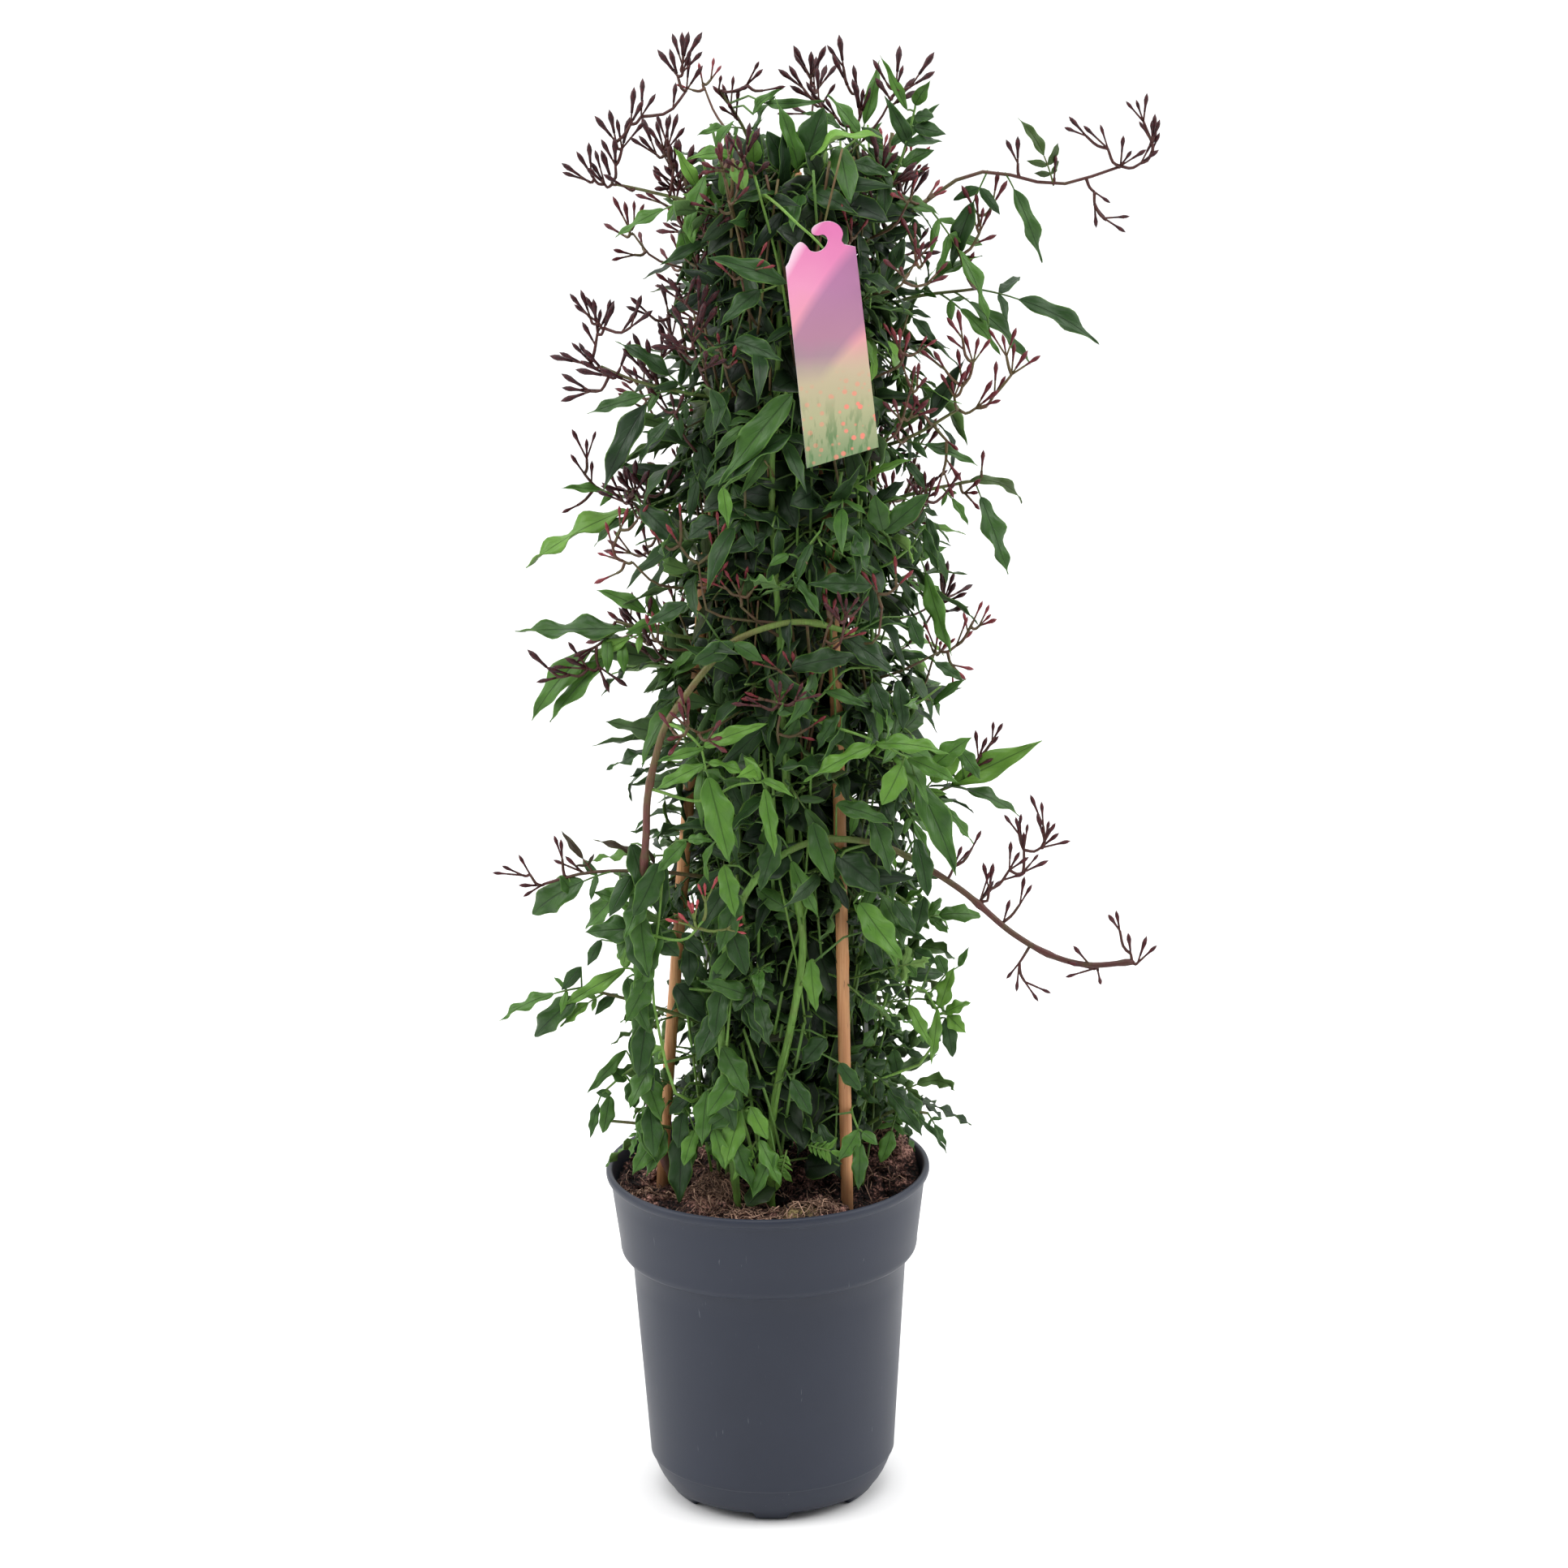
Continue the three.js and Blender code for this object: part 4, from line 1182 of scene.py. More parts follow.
@dataclass
class Pot:
    """The moulded nursery pot. Sizes are in millimetres."""

    height: float = 180.0
    rim_radius: float = 85.0
    wall: float = 1.3
    crease_height: float = 20.0
    crease_radius: float = 64.0
    shoulder_height: float = 133.0
    shoulder_radius: float = 72.3
    collar_radius: float = 78.2
    foot_radius: float = 52.5
    ring_inner: float = 45.0
    foot_height: float = 5.0
    foot_count: int = 6
    foot_angle: float = 22.0
    first_foot: float = -91.0
    pad_radius: float = 14.0
    drain_radius: float = 4.0
    drain_circle: float = 36.0
    drain_height: float = 5.6
    drain_depth: float = 6.0
    notch_outer: float = 60.0
    sides: int = 144

    def outline(self) -> list[tuple[float, float]]:
        """The closed section from the axis, under the floor, up the outside and down the inside."""
        floor_top = self.foot_height + self.wall
        rim, top, collar = self.rim_radius, self.height, self.collar_radius
        shoulder, level = self.shoulder_radius, self.shoulder_height
        underside = [(0.0, 0.0), (self.pad_radius, 0.0), (self.pad_radius + 1.5, self.foot_height)]
        ring = [
            (self.ring_inner - 1.5, self.foot_height),
            (self.ring_inner, 0.3),
            (self.ring_inner + 0.6, 0.0),
            (self.foot_radius - 1.0, 0.0),
            (self.foot_radius, 0.3),
            (self.foot_radius + 2.0, 2.2),
        ]
        bowl = [(56.4, 5.0), (58.4, 7.6), (60.2, 10.6), (61.9, 14.2), (63.1, 17.4), (63.9, 19.6)]
        crease = [
            (self.crease_radius + 0.1, self.crease_height + 0.2),
            (self.crease_radius + 0.6, self.crease_height + 0.5),
            (self.crease_radius + 0.85, self.crease_height + 1.1),
        ]
        body = [(mixed(64.9, shoulder, k / 8), mixed(22.4, level - 0.6, k / 8)) for k in range(9)]
        lip = [
            (shoulder + 0.4, level - 0.1),
            (shoulder + 2.3, level + 0.1),
            (collar - 1.5, level + 0.8),
            (collar - 0.5, level + 2.2),
            (collar, level + 4.2),
        ]
        band = [(mixed(collar, rim - 2.4, k / 5), mixed(level + 6, top - 6.3, k / 5)) for k in range(6)]
        bead = [
            (rim - 2.1, top - 5.6),
            (rim - 1.2, top - 4.9),
            (rim - 0.35, top - 4.1),
            (rim, top - 2.9),
            (rim, top - 1.7),
            (rim - 0.35, top - 0.6),
            (rim - 1.1, top),
            (rim - 2.1, top),
            (rim - 2.9, top - 0.5),
            (rim - 3.4, top - 1.4),
        ]
        inside = [
            (rim - 3.9, top - 4),
            (collar - self.wall, level + 5),
            (collar - self.wall - 1, level + 2.2),
            (shoulder + 1, level + self.wall),
            (shoulder - self.wall, level - 1),
            (self.crease_radius - self.wall, self.crease_height),
            (55.0, floor_top),
            (0.0, floor_top),
        ]
        return underside + ring + bowl + crease + body + lip + band + bead + inside

    def _raise_notches(self, shape: bmesh.types.BMesh) -> None:
        """Lifts the foot ring between the feet, to the height of the floor's underside.

        Args:
            shape: the turned pot.
        """
        pitch = 360.0 / self.foot_count
        for vert in shape.verts:
            radius = math.hypot(vert.co.x, vert.co.y) / MM
            in_ring = self.ring_inner - 2 < radius < self.notch_outer
            if not in_ring or vert.co.z > (self.foot_height - 0.2) * MM:
                continue
            angle = math.degrees(math.atan2(vert.co.y, vert.co.x)) - self.first_foot
            from_foot = abs((angle + pitch / 2) % pitch - pitch / 2)
            if from_foot > self.foot_angle / 2:
                vert.co.z = self.foot_height * MM

    def _drain_cutter(self) -> bpy.types.Mesh:
        """The rods that bore the drain holes."""
        shape = bmesh.new()
        pitch = math.radians(360.0 / self.foot_count)
        radius = self.drain_radius * MM
        sizes = {"radius1": radius, "radius2": radius, "depth": self.drain_depth * MM}
        for hole in range(self.foot_count):
            angle = math.radians(self.first_foot) + (hole + 0.5) * pitch
            x, y = self.drain_circle * math.cos(angle), self.drain_circle * math.sin(angle)
            place = Matrix.Translation(metres((x, y, self.drain_height)))
            bmesh.ops.create_cone(shape, cap_ends=True, segments=24, matrix=place, **sizes)
        return stored(shape, "drain_cutter")

    def _bored(self, data: bpy.types.Mesh) -> bpy.types.Mesh:
        """Cuts the drain holes through the floor.

        Args:
            data: the pot's mesh.

        Returns:
            The same mesh with its holes.
        """
        blank, cutter = linked("pot_blank", data), linked("drain_cutter", self._drain_cutter())
        cut = blank.modifiers.new("drain_holes", "BOOLEAN")
        cut.operation = "DIFFERENCE"
        cut.object = cutter
        view = bpy.context.evaluated_depsgraph_get()
        bored = bpy.data.meshes.new_from_object(blank.evaluated_get(view))
        bored.name = "nursery_pot"
        for helper in (blank, cutter):
            bpy.data.objects.remove(helper)
        return bored

    def build(self) -> bpy.types.Object:
        """Turns the section, raises the notches and bores the drain holes.

        Returns:
            The finished pot.
        """
        shape = turned(self.outline(), self.sides)
        self._raise_notches(shape)
        bmesh.ops.recalc_face_normals(shape, faces=shape.faces[:])
        return placed(self._bored(stored(smoothed(shape), "pot_blank", SKINS.pot)), ["pot"])


# ------------------------------------------------------------------ the potting mix


@dataclass
class PottingMix:
    """Peat with coir in the pot. Sizes are in millimetres."""

    level: float = 171.0
    edge_radius: float = 79.6
    rings: int = 56
    sides: int = 132
    fibres: int = 460
    crumbs: int = 460
    seed: int = 11
    clod_pitch: float = 0.055  # waves of clods in a millimetre
    clod_height: float = 5.4
    grit_pitch: float = 0.35
    grit_height: float = 2.0
    brim: float = 12.0  # how far the mix may rise beside the pot's wall
    brim_width: float = 6.0
    wall: tuple[tuple[float, float], ...] = (
        (0.0, 6.65), (54.6, 6.65), (62.3, 20.4), (70.6, 132.4), (73.0, 134.7), (76.5, 138.4),
    )
    # across, along, radius and rise
    lumps: tuple[tuple[float, float, float, float], ...] = (
        (58, 44, 32, 27), (-28, -32, 17, 10), (-36, -14, 12, 4), (22, 0, 17, 6), (17, -58, 11, 4),
        (30, -44, 9, 3), (-2, -40, 13, -6), (57, -30, 20, -6), (-66, -28, 8, 4), (-52, 22, 24, 5),
        (-4, 8, 12, -5),
    )
    # across, along, radius and the number of fibres
    tufts: tuple[tuple[float, float, float, int], ...] = (
        (-26, -34, 12, 300), (58, 42, 17, 260), (4, -66, 14, 70), (-18, -58, 9, 60), (26, -52, 9, 50),
        (-66, -26, 6, 30),
    )
    fallen_leaf: tuple[Point, Point] = ((-11, -50, 175), (4, -28, 181))
    leaf_width: float = 13.0

    def height_at(self, x: float, y: float) -> float:
        """The height of the mix's surface over a point, all in millimetres.

        Args:
            x: how far the point is to the right.
            y: how far it is to the back.

        Returns:
            The height above the floor.
        """
        height = self.level
        for centre_x, centre_y, radius, rise in self.lumps:
            share = math.hypot(x - centre_x, y - centre_y) / radius
            height += rise * math.exp(-share * share)
        clods = noise.fractal(Vector((x, y, 3.0)) * self.clod_pitch, 0.9, 2.1, 4)
        grit = noise.noise(Vector((x, y, 9.0)) * self.grit_pitch)
        height += self.clod_height * clods + self.grit_height * grit
        if math.hypot(x, y) > self.edge_radius - self.brim_width:
            height = min(height, self.level + self.brim)
        return height

    def _body(self) -> bpy.types.Object:
        """The lump of peat that fills the pot."""
        top = [(self.edge_radius * (1 - k / self.rings), self.level) for k in range(self.rings + 1)]
        shape = turned([*self.wall, *top], self.sides)
        for vert in shape.verts:
            if vert.co.z > (self.level - 0.5) * MM:
                vert.co.z = self.height_at(vert.co.x / MM, vert.co.y / MM) * MM
        return placed(stored(smoothed(shape), "potting_mix_body", SKINS.peat), ["potting_mix"])

    def _litter(self) -> bpy.types.Object:
        """Loose coir fibres on the surface, thick on the lumps and thin between them."""
        growth = Growth(self.seed)
        chance = growth.chance
        for _ in range(self.fibres):
            angle = chance.uniform(0, 2 * math.pi)
            radius = (self.edge_radius - 5) * math.sqrt(chance.random())
            self._fibre(growth, radius * math.cos(angle), radius * math.sin(angle), chance.random() ** 3)
        for centre_x, centre_y, size, count in self.tufts:
            for _ in range(count):
                x, y = chance.gauss(centre_x, size * 0.6), chance.gauss(centre_y, size * 0.6)
                self._fibre(growth, x, y, 0.12 + 0.88 * chance.random() ** 1.5)
        return growth.piece("coir_litter", ["potting_mix"], SKINS.fibre)

    def _fibre(self, growth: Growth, x: float, y: float, shade: float) -> None:
        """Lays one curved fibre on the mix.

        Args:
            growth: the piece that it is added to.
            x: where it lies, in millimetres.
            y: where it lies, in millimetres.
            shade: 0 for the darkest fibre to 1 for the palest.
        """
        chance = growth.chance
        course = chance.uniform(0, 2 * math.pi)
        length = chance.uniform(5, 19)
        curve = chance.uniform(-1.6, 1.6)
        points = []
        for _ in range(5):
            if math.hypot(x, y) > self.edge_radius - 1:
                break
            points.append(metres((x, y, self.height_at(x, y) + 0.3 + chance.uniform(0, 2.6))))
            course += curve / 4
            x += length / 4 * math.cos(course)
            y += length / 4 * math.sin(course)
        if len(points) > 2:
            growth.rod(points, [chance.uniform(0.14, 0.42) * MM], [Tone(shade)], sides=3)

    def _crumbs(self) -> bpy.types.Object:
        """Crumbs and bits of bark that lie on the surface."""
        chance = random.Random(self.seed + 1)
        noise.seed_set(self.seed)
        shape = bmesh.new()
        for _ in range(self.crumbs):
            angle = chance.uniform(0, 2 * math.pi)
            radius = (self.edge_radius - 3) * math.sqrt(chance.random())
            x, y = radius * math.cos(angle), radius * math.sin(angle)
            size = chance.uniform(0.8, 3.0) * MM
            place = metres((x, y, self.height_at(x, y) + 0.3))
            stretch = Matrix.Diagonal((chance.uniform(0.7, 2.0), 1.0, chance.uniform(0.4, 0.8), 1.0))
            spin = Quaternion(UP, chance.uniform(0, 6.28)).to_matrix().to_4x4()
            pose = Matrix.Translation(place) @ spin @ stretch
            made = bmesh.ops.create_icosphere(shape, subdivisions=1, radius=size, matrix=pose)
            for vert in made["verts"]:
                vert.co += noise.noise_vector(vert.co * 900) * size * 0.5
        return placed(stored(smoothed(shape, False), "peat_crumbs", SKINS.peat), ["potting_mix"])

    def _leaf(self) -> bpy.types.Object:
        """A fallen leaf, half buried in front of the stems."""
        growth = Growth(self.seed + 2)
        foot, tip = [metres(place) for place in self.fallen_leaf]
        growth.blade(foot, tip, self.leaf_width * MM, Tone(0.30, 0.15), OVATE, 0.5)
        return growth.piece("fallen_leaf", ["potting_mix"])

    def build(self) -> list[bpy.types.Object]:
        """Makes the peat, its crumbs, its fibres and its fallen leaf."""
        return [self._body(), self._litter(), self._crumbs(), self._leaf()]


# ------------------------------------------------------------------ canes and tie


@dataclass
class Canes:
    """Three bamboo canes that lean together under one tie. Sizes are in millimetres."""

    radius: float = 3.3
    apex: Point = (20.0, 0.0, 690.0)
    apex_radius: float = (2 * radius + 0.7) / math.sqrt(3)
    tail: float = 14.0
    tie_height: float = 5.0
    tie_room: float = 1.4
    tie_thickness: float = 1.2
    tie_round: float = 0.35
    steps: int = 120
    joint_pitch: float = 170.0
    joint_swell: float = 0.34
    joint_reach: float = 4.0
    wander: float = 0.12
    angles: dict[str, float] = field(
        default_factory=lambda: {"cane_left": 185.0, "cane_right": -55.0, "cane_back": 65.0}
    )
    routes: dict[str, list[Point]] = field(
        default_factory=lambda: {
            "cane_left": [(-57, -8, 60), (-55, -8, 177), (-46, -8, 288), (-37, -8, 385), (-18, -6, 560)],
            "cane_right": [(41.5, -41, 60), (41, -41, 170), (40, -39, 341), (39, -33, 434), (34, -19, 560)],
            "cane_back": [(20, 55, 60), (21, 54, 177), (23, 48, 360), (24, 39, 450), (23, 24, 560)],
        }
    )

    def route(self, name: str) -> Route:
        """The centre line of a cane, from its foot in the mix to its tail above the tie."""
        angle = math.radians(self.angles[name])
        out = Vector((math.cos(angle), math.sin(angle), 0)) * self.apex_radius
        held = Vector(self.apex) + out
        below = held + out * 0.35 - UP * 12
        tail = held + UP * self.tail
        return Route([metres(point) for point in [*self.routes[name], below, held, tail]])

    def _cane(self, name: str) -> bpy.types.Object:
        """One cane, with a slight swelling at each joint of the bamboo.

        Args:
            name: the cane's node.

        Returns:
            The finished cane.
        """
        route = self.route(name)
        growth = Growth(len(name))
        radii = []
        for index in range(self.steps):
            along = route.length * index / (self.steps - 1) / MM
            joint = abs((along + 35 * len(name)) % self.joint_pitch - self.joint_pitch / 2)
            swell = self.joint_swell * math.exp(-((joint / self.joint_reach) ** 2))
            wander = self.wander * noise.noise(Vector((along * 0.02, len(name), 0.0)))
            radii.append((self.radius + swell + wander - 0.1) * MM)
        growth.rod(route.points(self.steps), radii, [Tone(0.5)], sides=20)
        return growth.piece(name + "_bamboo", [name], SKINS.bamboo)

    def _tie(self) -> bpy.types.Object:
        """The ring that holds the three canes, with rounded edges."""
        shape = bmesh.new()
        inner = (self.apex_radius + self.radius + self.tie_room) * MM
        half = self.tie_height / 2 * MM
        place = Matrix.Translation(metres(self.apex) - UP * half)
        bmesh.ops.create_circle(shape, segments=48, radius=inner, matrix=place)
        grown = bmesh.ops.extrude_edge_only(shape, edges=shape.edges[:])
        raised = [part for part in grown["geom"] if isinstance(part, bmesh.types.BMVert)]
        bmesh.ops.translate(shape, vec=UP * (2 * half), verts=raised)
        bmesh.ops.recalc_face_normals(shape, faces=shape.faces[:])
        bmesh.ops.solidify(shape, geom=shape.faces[:], thickness=-self.tie_thickness * MM)
        bmesh.ops.recalc_face_normals(shape, faces=shape.faces[:])
        edges = [edge for edge in shape.edges if edge.calc_face_angle(0.0) > 0.7]
        width = self.tie_round * MM
        bmesh.ops.bevel(shape, geom=edges, offset=width, affect="EDGES", segments=2, profile=0.5, material=-1)
        return placed(stored(smoothed(shape), "tie_ring", SKINS.tie), ["cane_tie"])

    def build(self) -> list[bpy.types.Object]:
        """Makes the three canes and their tie."""
        return [self._cane(name) for name in self.routes] + [self._tie()]


# ------------------------------------------------------------------ the hang tag


@dataclass
class HangTag:
    """The printed card with its hook. Sizes are in millimetres, from the hole's centre."""

    hole: Point = (31.0, -66.0, 681.0)
    thickness: float = 0.7
    yaw: float = 8.0
    left: float = -15.0
    width: float = 46.0
    top: float = 9.0
    foot: float = -113.0
    corners: tuple[tuple[float, float], ...] = (
        (20.0, -4.0), (30.4, -104.0), (-5.5, -113.0), (-14.5, -12.6),
    )
    hook: tuple[tuple[float, float], ...] = (
        (-13.0, -10.4), (-10.0, -3.0), (-7.0, -0.6), (-4.3, -2.3), (-2.0, -5.2), (1.7, -5.6), (5.0, -3.6),
        (6.4, 0.0), (4.4, 2.7), (1.4, 2.3), (-1.4, 3.4), (-1.2, 5.9), (2.6, 8.4), (7.6, 9.0), (12.0, 6.8),
        (13.9, 3.0), (13.2, -0.8), (14.6, -2.6),
    )

    def outline(self) -> list[Vector]:
        """The card's edge: straight sides and a smooth hook that is open at its left."""
        hook = Route([metres((x, 0, z)) for x, z in self.hook]).points(64)
        return hook + [metres((x, 0, z)) for x, z in self.corners]

    def build(self) -> bpy.types.Object:
        """Cuts the card, gives it its print and hangs it on its stem.

        Returns:
            The finished tag.
        """
        shape = bmesh.new()
        card = shape.loops.layers.uv.new("card")
        face = shape.faces.new([shape.verts.new(place) for place in self.outline()])
        bmesh.ops.translate(shape, vec=(0, -self.thickness / 2 * MM, 0), verts=shape.verts[:])
        grown = bmesh.ops.extrude_face_region(shape, geom=[face])["geom"]
        back = [part for part in grown if isinstance(part, bmesh.types.BMVert)]
        bmesh.ops.translate(shape, vec=(0, self.thickness * MM, 0), verts=back)
        bmesh.ops.recalc_face_normals(shape, faces=shape.faces[:])
        shape.normal_update()
        for face in shape.faces:
            face.material_index = int(abs(face.normal.y) < 0.5)
            for loop in face.loops:
                x, _, z = loop.vert.co / MM
                loop[card].uv = ((x - self.left) / self.width, (z - self.foot) / (self.top - self.foot))
        turn = Matrix.Rotation(math.radians(self.yaw), 4, "Z")
        bmesh.ops.transform(shape, matrix=Matrix.Translation(metres(self.hole)) @ turn, verts=shape.verts[:])
        data = stored(smoothed(shape, False), "hang_tag", SKINS.tag, SKINS.card_edge)
        return placed(data, ["plant_tag"])


# ------------------------------------------------------------------ the vines


def on_column(degrees: float, radius: float, height: float) -> Vector:
    """A point round the column's axis, from millimetres to metres."""
    turn = math.radians(degrees)
    away = Vector((radius * math.cos(turn), radius * math.sin(turn), 0.0)) * MM
    return column_axis(height * MM) + away


@dataclass(frozen=True)
class VineLook:
    """The skin and thickness of a vine."""

    tones: tuple[tuple[float, float], ...]  # shade and blush from the foot to the top
    thick: float = 1.7  # its radius at the foot, in millimetres
    thin: float = 1.1  # its radius at the top


@dataclass
class Vines:
    """The rooted stems that carry everything else. Places are in millimetres."""

    foot: float = 156.0
    joint_pitch: float = 43.0
    joint_swell: float = 0.55
    joint_reach: float = 2.6
    companions: int = 3
    companion_steps: int = 34
    twining: dict[str, float] = field(
        default_factory=lambda: {
            "vine_right": -14.0,
            "vine_back_right": 22.0,
            "vine_back": 108.0,
            "vine_back_left": 146.0,
            "vine_left": 216.0,
        }
    )
    front: dict[str, list[Point]] = field(
        default_factory=lambda: {
            "vine_front": [
                (1, -28, 156), (4, -42, 227), (13, -45, 269), (20, -46, 315), (15, -45, 358),
                (12, -46, 420), (11, -45, 471), (8, -42, 550), (13, -36, 630), (14, -30, 690),
            ],
            "vine_arch": [
                (-38, -30, 156), (-57, -37, 210), (-62, -42, 260), (-63, -52, 320), (-58, -60, 380),
                (-57, -61, 398), (-52, -61, 421), (-47, -61, 436), (-37, -61, 451), (-26, -60, 465),
                (-13, -60, 478), (2, -60, 485), (22, -58, 488), (48, -52, 480),
            ],
            "vine_droop": [
                (-14, -43, 156), (-21, -49, 240), (-22, -55, 295), (-15, -56, 330), (-6, -57, 350),
                (7, -57, 364), (25, -57, 373), (44, -57, 374), (64, -56, 369), (99, -55, 347),
                (127, -55, 322), (148, -54, 309), (166, -53, 304), (188, -52, 305),
            ],
        }
    )
    looks: dict[str, VineLook] = field(
        default_factory=lambda: {
            "vine_front": VineLook(((1.0, 0.0), (0.95, 0.0), (0.6, 0.1)), 2.2, 1.2),
            "vine_arch": VineLook(
                ((0.2, 0.95), (0.2, 0.95), (0.3, 0.95), (0.6, 0.95), (0.75, 0.6), (0.95, 0.1)), 2.6, 1.4
            ),
            "vine_droop": VineLook(((0.6, 0.0), (0.8, 0.0), (0.8, 0.0), (0.3, 0.85), (0.1, 1.0)), 2.0, 1.5),
        }
    )
    droop_heads: tuple[Point, ...] = (
        (120, -52, 351), (136, -50, 342), (149, -48, 366), (128, -50, 381), (142, -48, 385), (126, -53, 299),
        (135, -53, 288), (178, -52, 329), (185, -52, 317), (196, -52, 303), (163, -52, 297), (171, -52, 293),
        (100, -60, 366), (112, -50, 372), (131, -50, 360), (124, -52, 330), (116, -52, 340), (140, -52, 352),
        (133, -50, 373), (147, -52, 376),
    )
    droop_buds: BudHabit = BudHabit(Tone(0.1, 1.0), pink=0.1, bud=10.0)

    def __post_init__(self) -> None:
        """Traces every route once."""
        self.routes: dict[str, Route] = {
            name: Route([metres(point) for point in points]) for name, points in self.front.items()
        }
        for name, degrees in self.twining.items():
            self.routes[name] = Route([self._twining_point(degrees, step) for step in range(10)])

    def _twining_point(self, degrees: float, step: int) -> Vector:
        """A point of a vine that climbs inside the canes, swaying as it goes."""
        height = self.foot + 60.0 * step
        sway = 5.0 * math.sin(step * 1.7 + degrees)
        radius = 38.0 - 15.0 * column_share(height * MM) + 3.0 * math.cos(step * 2.3 + degrees)
        return on_column(degrees + sway, radius, height)

    def _companions(self, growth: Growth, name: str) -> None:
        """Thin stems that twine up beside a vine from the same root.

        Args:
            growth: the piece that they are added to.
            name: the vine that they follow.
        """
        route = self.routes[name]
        for index in range(self.companions):
            turn = 2.1 * index + len(name)
            top = growth.chance.uniform(0.7, 0.98)
            points = []
            for step in range(self.companion_steps):
                share = step / (self.companion_steps - 1) * top
                angle = turn + share * (5.0 + 2.0 * index)
                away = (3.0 + 13.0 * math.sin(min(share * 3.0, 1.57)) + 3.0 * math.sin(9 * share + turn)) * MM
                points.append(route.at(share) + Vector((math.cos(angle), math.sin(angle), 0)) * away)
            thick = growth.chance.uniform(0.6, 1.0) * MM
            growth.rod(points, [thick, thick * 0.7], [Tone(0.5, 0.2), Tone(0.4, 0.5)])

    def _vine(self, name: str, seed: int) -> bpy.types.Object:
        """One vine with swollen joints where its leaves were.

        Args:
            name: the vine's node.
            seed: sets its companions.

        Returns:
            The finished vine.
        """
        route = self.routes[name]
        look = self.looks.get(name, VineLook(((0.6, 0.15), (0.5, 0.4))))
        growth = Growth(seed)
        count = max(int(route.length / (4.0 * MM)), 20)
        radii = []
        for index in range(count):
            share = index / (count - 1)
            joint = abs((share * route.length / MM + 11 * seed) % self.joint_pitch - self.joint_pitch / 2)
            swell = self.joint_swell * math.exp(-((joint / self.joint_reach) ** 2))
            radii.append((mixed(look.thick, look.thin, share) + swell) * MM)
        growth.limb(route, radii, [Tone(*pair) for pair in look.tones], sides=10)
        if name == "vine_droop":
            growth.heads(route.points(24)[15:], [metres(head) for head in self.droop_heads], self.droop_buds)
        if name in self.twining:
            self._companions(growth, name)
        return growth.piece(name + "_stem", [name])

    def build(self) -> list[bpy.types.Object]:
        """Makes every vine."""
        return [self._vine(name, index + 1) for index, name in enumerate(self.routes)]


VINES = Vines()


# ------------------------------------------------------------------ sprays outside the column


DARK, DEEP, MID, GREEN, FRESH = Tone(0.1), Tone(0.28), Tone(0.45), Tone(0.65), Tone(0.9)
BRONZE = Tone(0.3, 0.8)
RED_TWIG = Tone(0.35, 0.75)
GREEN_TWIG = Tone(0.95, 0.0)


@dataclass(frozen=True)
class Leaf:
    """A leaf that is listed for a spray."""

    share: float  # where it leaves the spray, from 0 at the vine to 1 at the tip
    tip: Point  # where its end leaflet ends, in millimetres
    tone: Tone
    pairs: int = 1
    kind: LeafletKind = LANCE
    slimness: float = 1.0
    curl: float = 0.5

    BOWED = 1.04  # the length of a bowed leaf against the distance to its tip

    def grow(self, growth: Growth, route: Route) -> None:
        """Reaches the leaf from its branch to its set tip.

        Args:
            growth: the piece that it is added to.
            route: the branch that it grows from.
        """
        base = route.at(self.share)
        reach = metres(self.tip) - base
        facing = UP * 0.8 + Vector((0, -0.7, 0)) + outward_of(base) * 0.2
        lift = across(reach.normalized(), facing).cross(reach.normalized())
        bend = self.curl * 0.5 + 0.1
        along = (reach.normalized() + lift * bend).normalized()
        leaf_share = 1.0 + Growth.STALK_SHARE + Growth.PAIR_SHARE * self.pairs
        size = reach.length * self.BOWED / leaf_share / MM
        kind = SMOOTH.get(self.kind, self.kind)
        habit = LeafHabit(size, self.tone, self.pairs, bend * 0.9, self.curl, kind, slimness=self.slimness)
        growth.leaf(base, along, lift, habit)


@dataclass(frozen=True)
class Spray:
    """A side branch that stands out of the column. Places are in millimetres."""

    node: str  # the CAD node that it stands for
    vine: str  # the vine that it grows from
    height: float  # how high it leaves that vine
    route: tuple[Point, ...]  # the points after that
    leaves: tuple[Leaf, ...]
    heads: tuple[Point, ...] = ()  # its heads of buds
    habit: BudHabit = DARK_BUDS
    tones: tuple[Tone, ...] = (Tone(0.6, 0.1), Tone(0.4, 0.6))

    def build(self, seed: int) -> bpy.types.Object:
        """Grows the branch with its leaves and buds.

        Args:
            seed: sets its random choices.

        Returns:
            The finished spray.
        """
        growth = Growth(seed)
        start = VINES.routes[self.vine].at_height(self.height * MM)
        route = Route([start, *[metres(point) for point in self.route]])
        growth.limb(route, [1.15 * MM, 0.75 * MM], self.tones)
        for leaf in self.leaves:
            leaf.grow(growth, route)
        growth.heads(route.points(10)[3:], [metres(head) for head in self.heads], self.habit)
        return growth.piece(self.node + "_growth", [self.node])


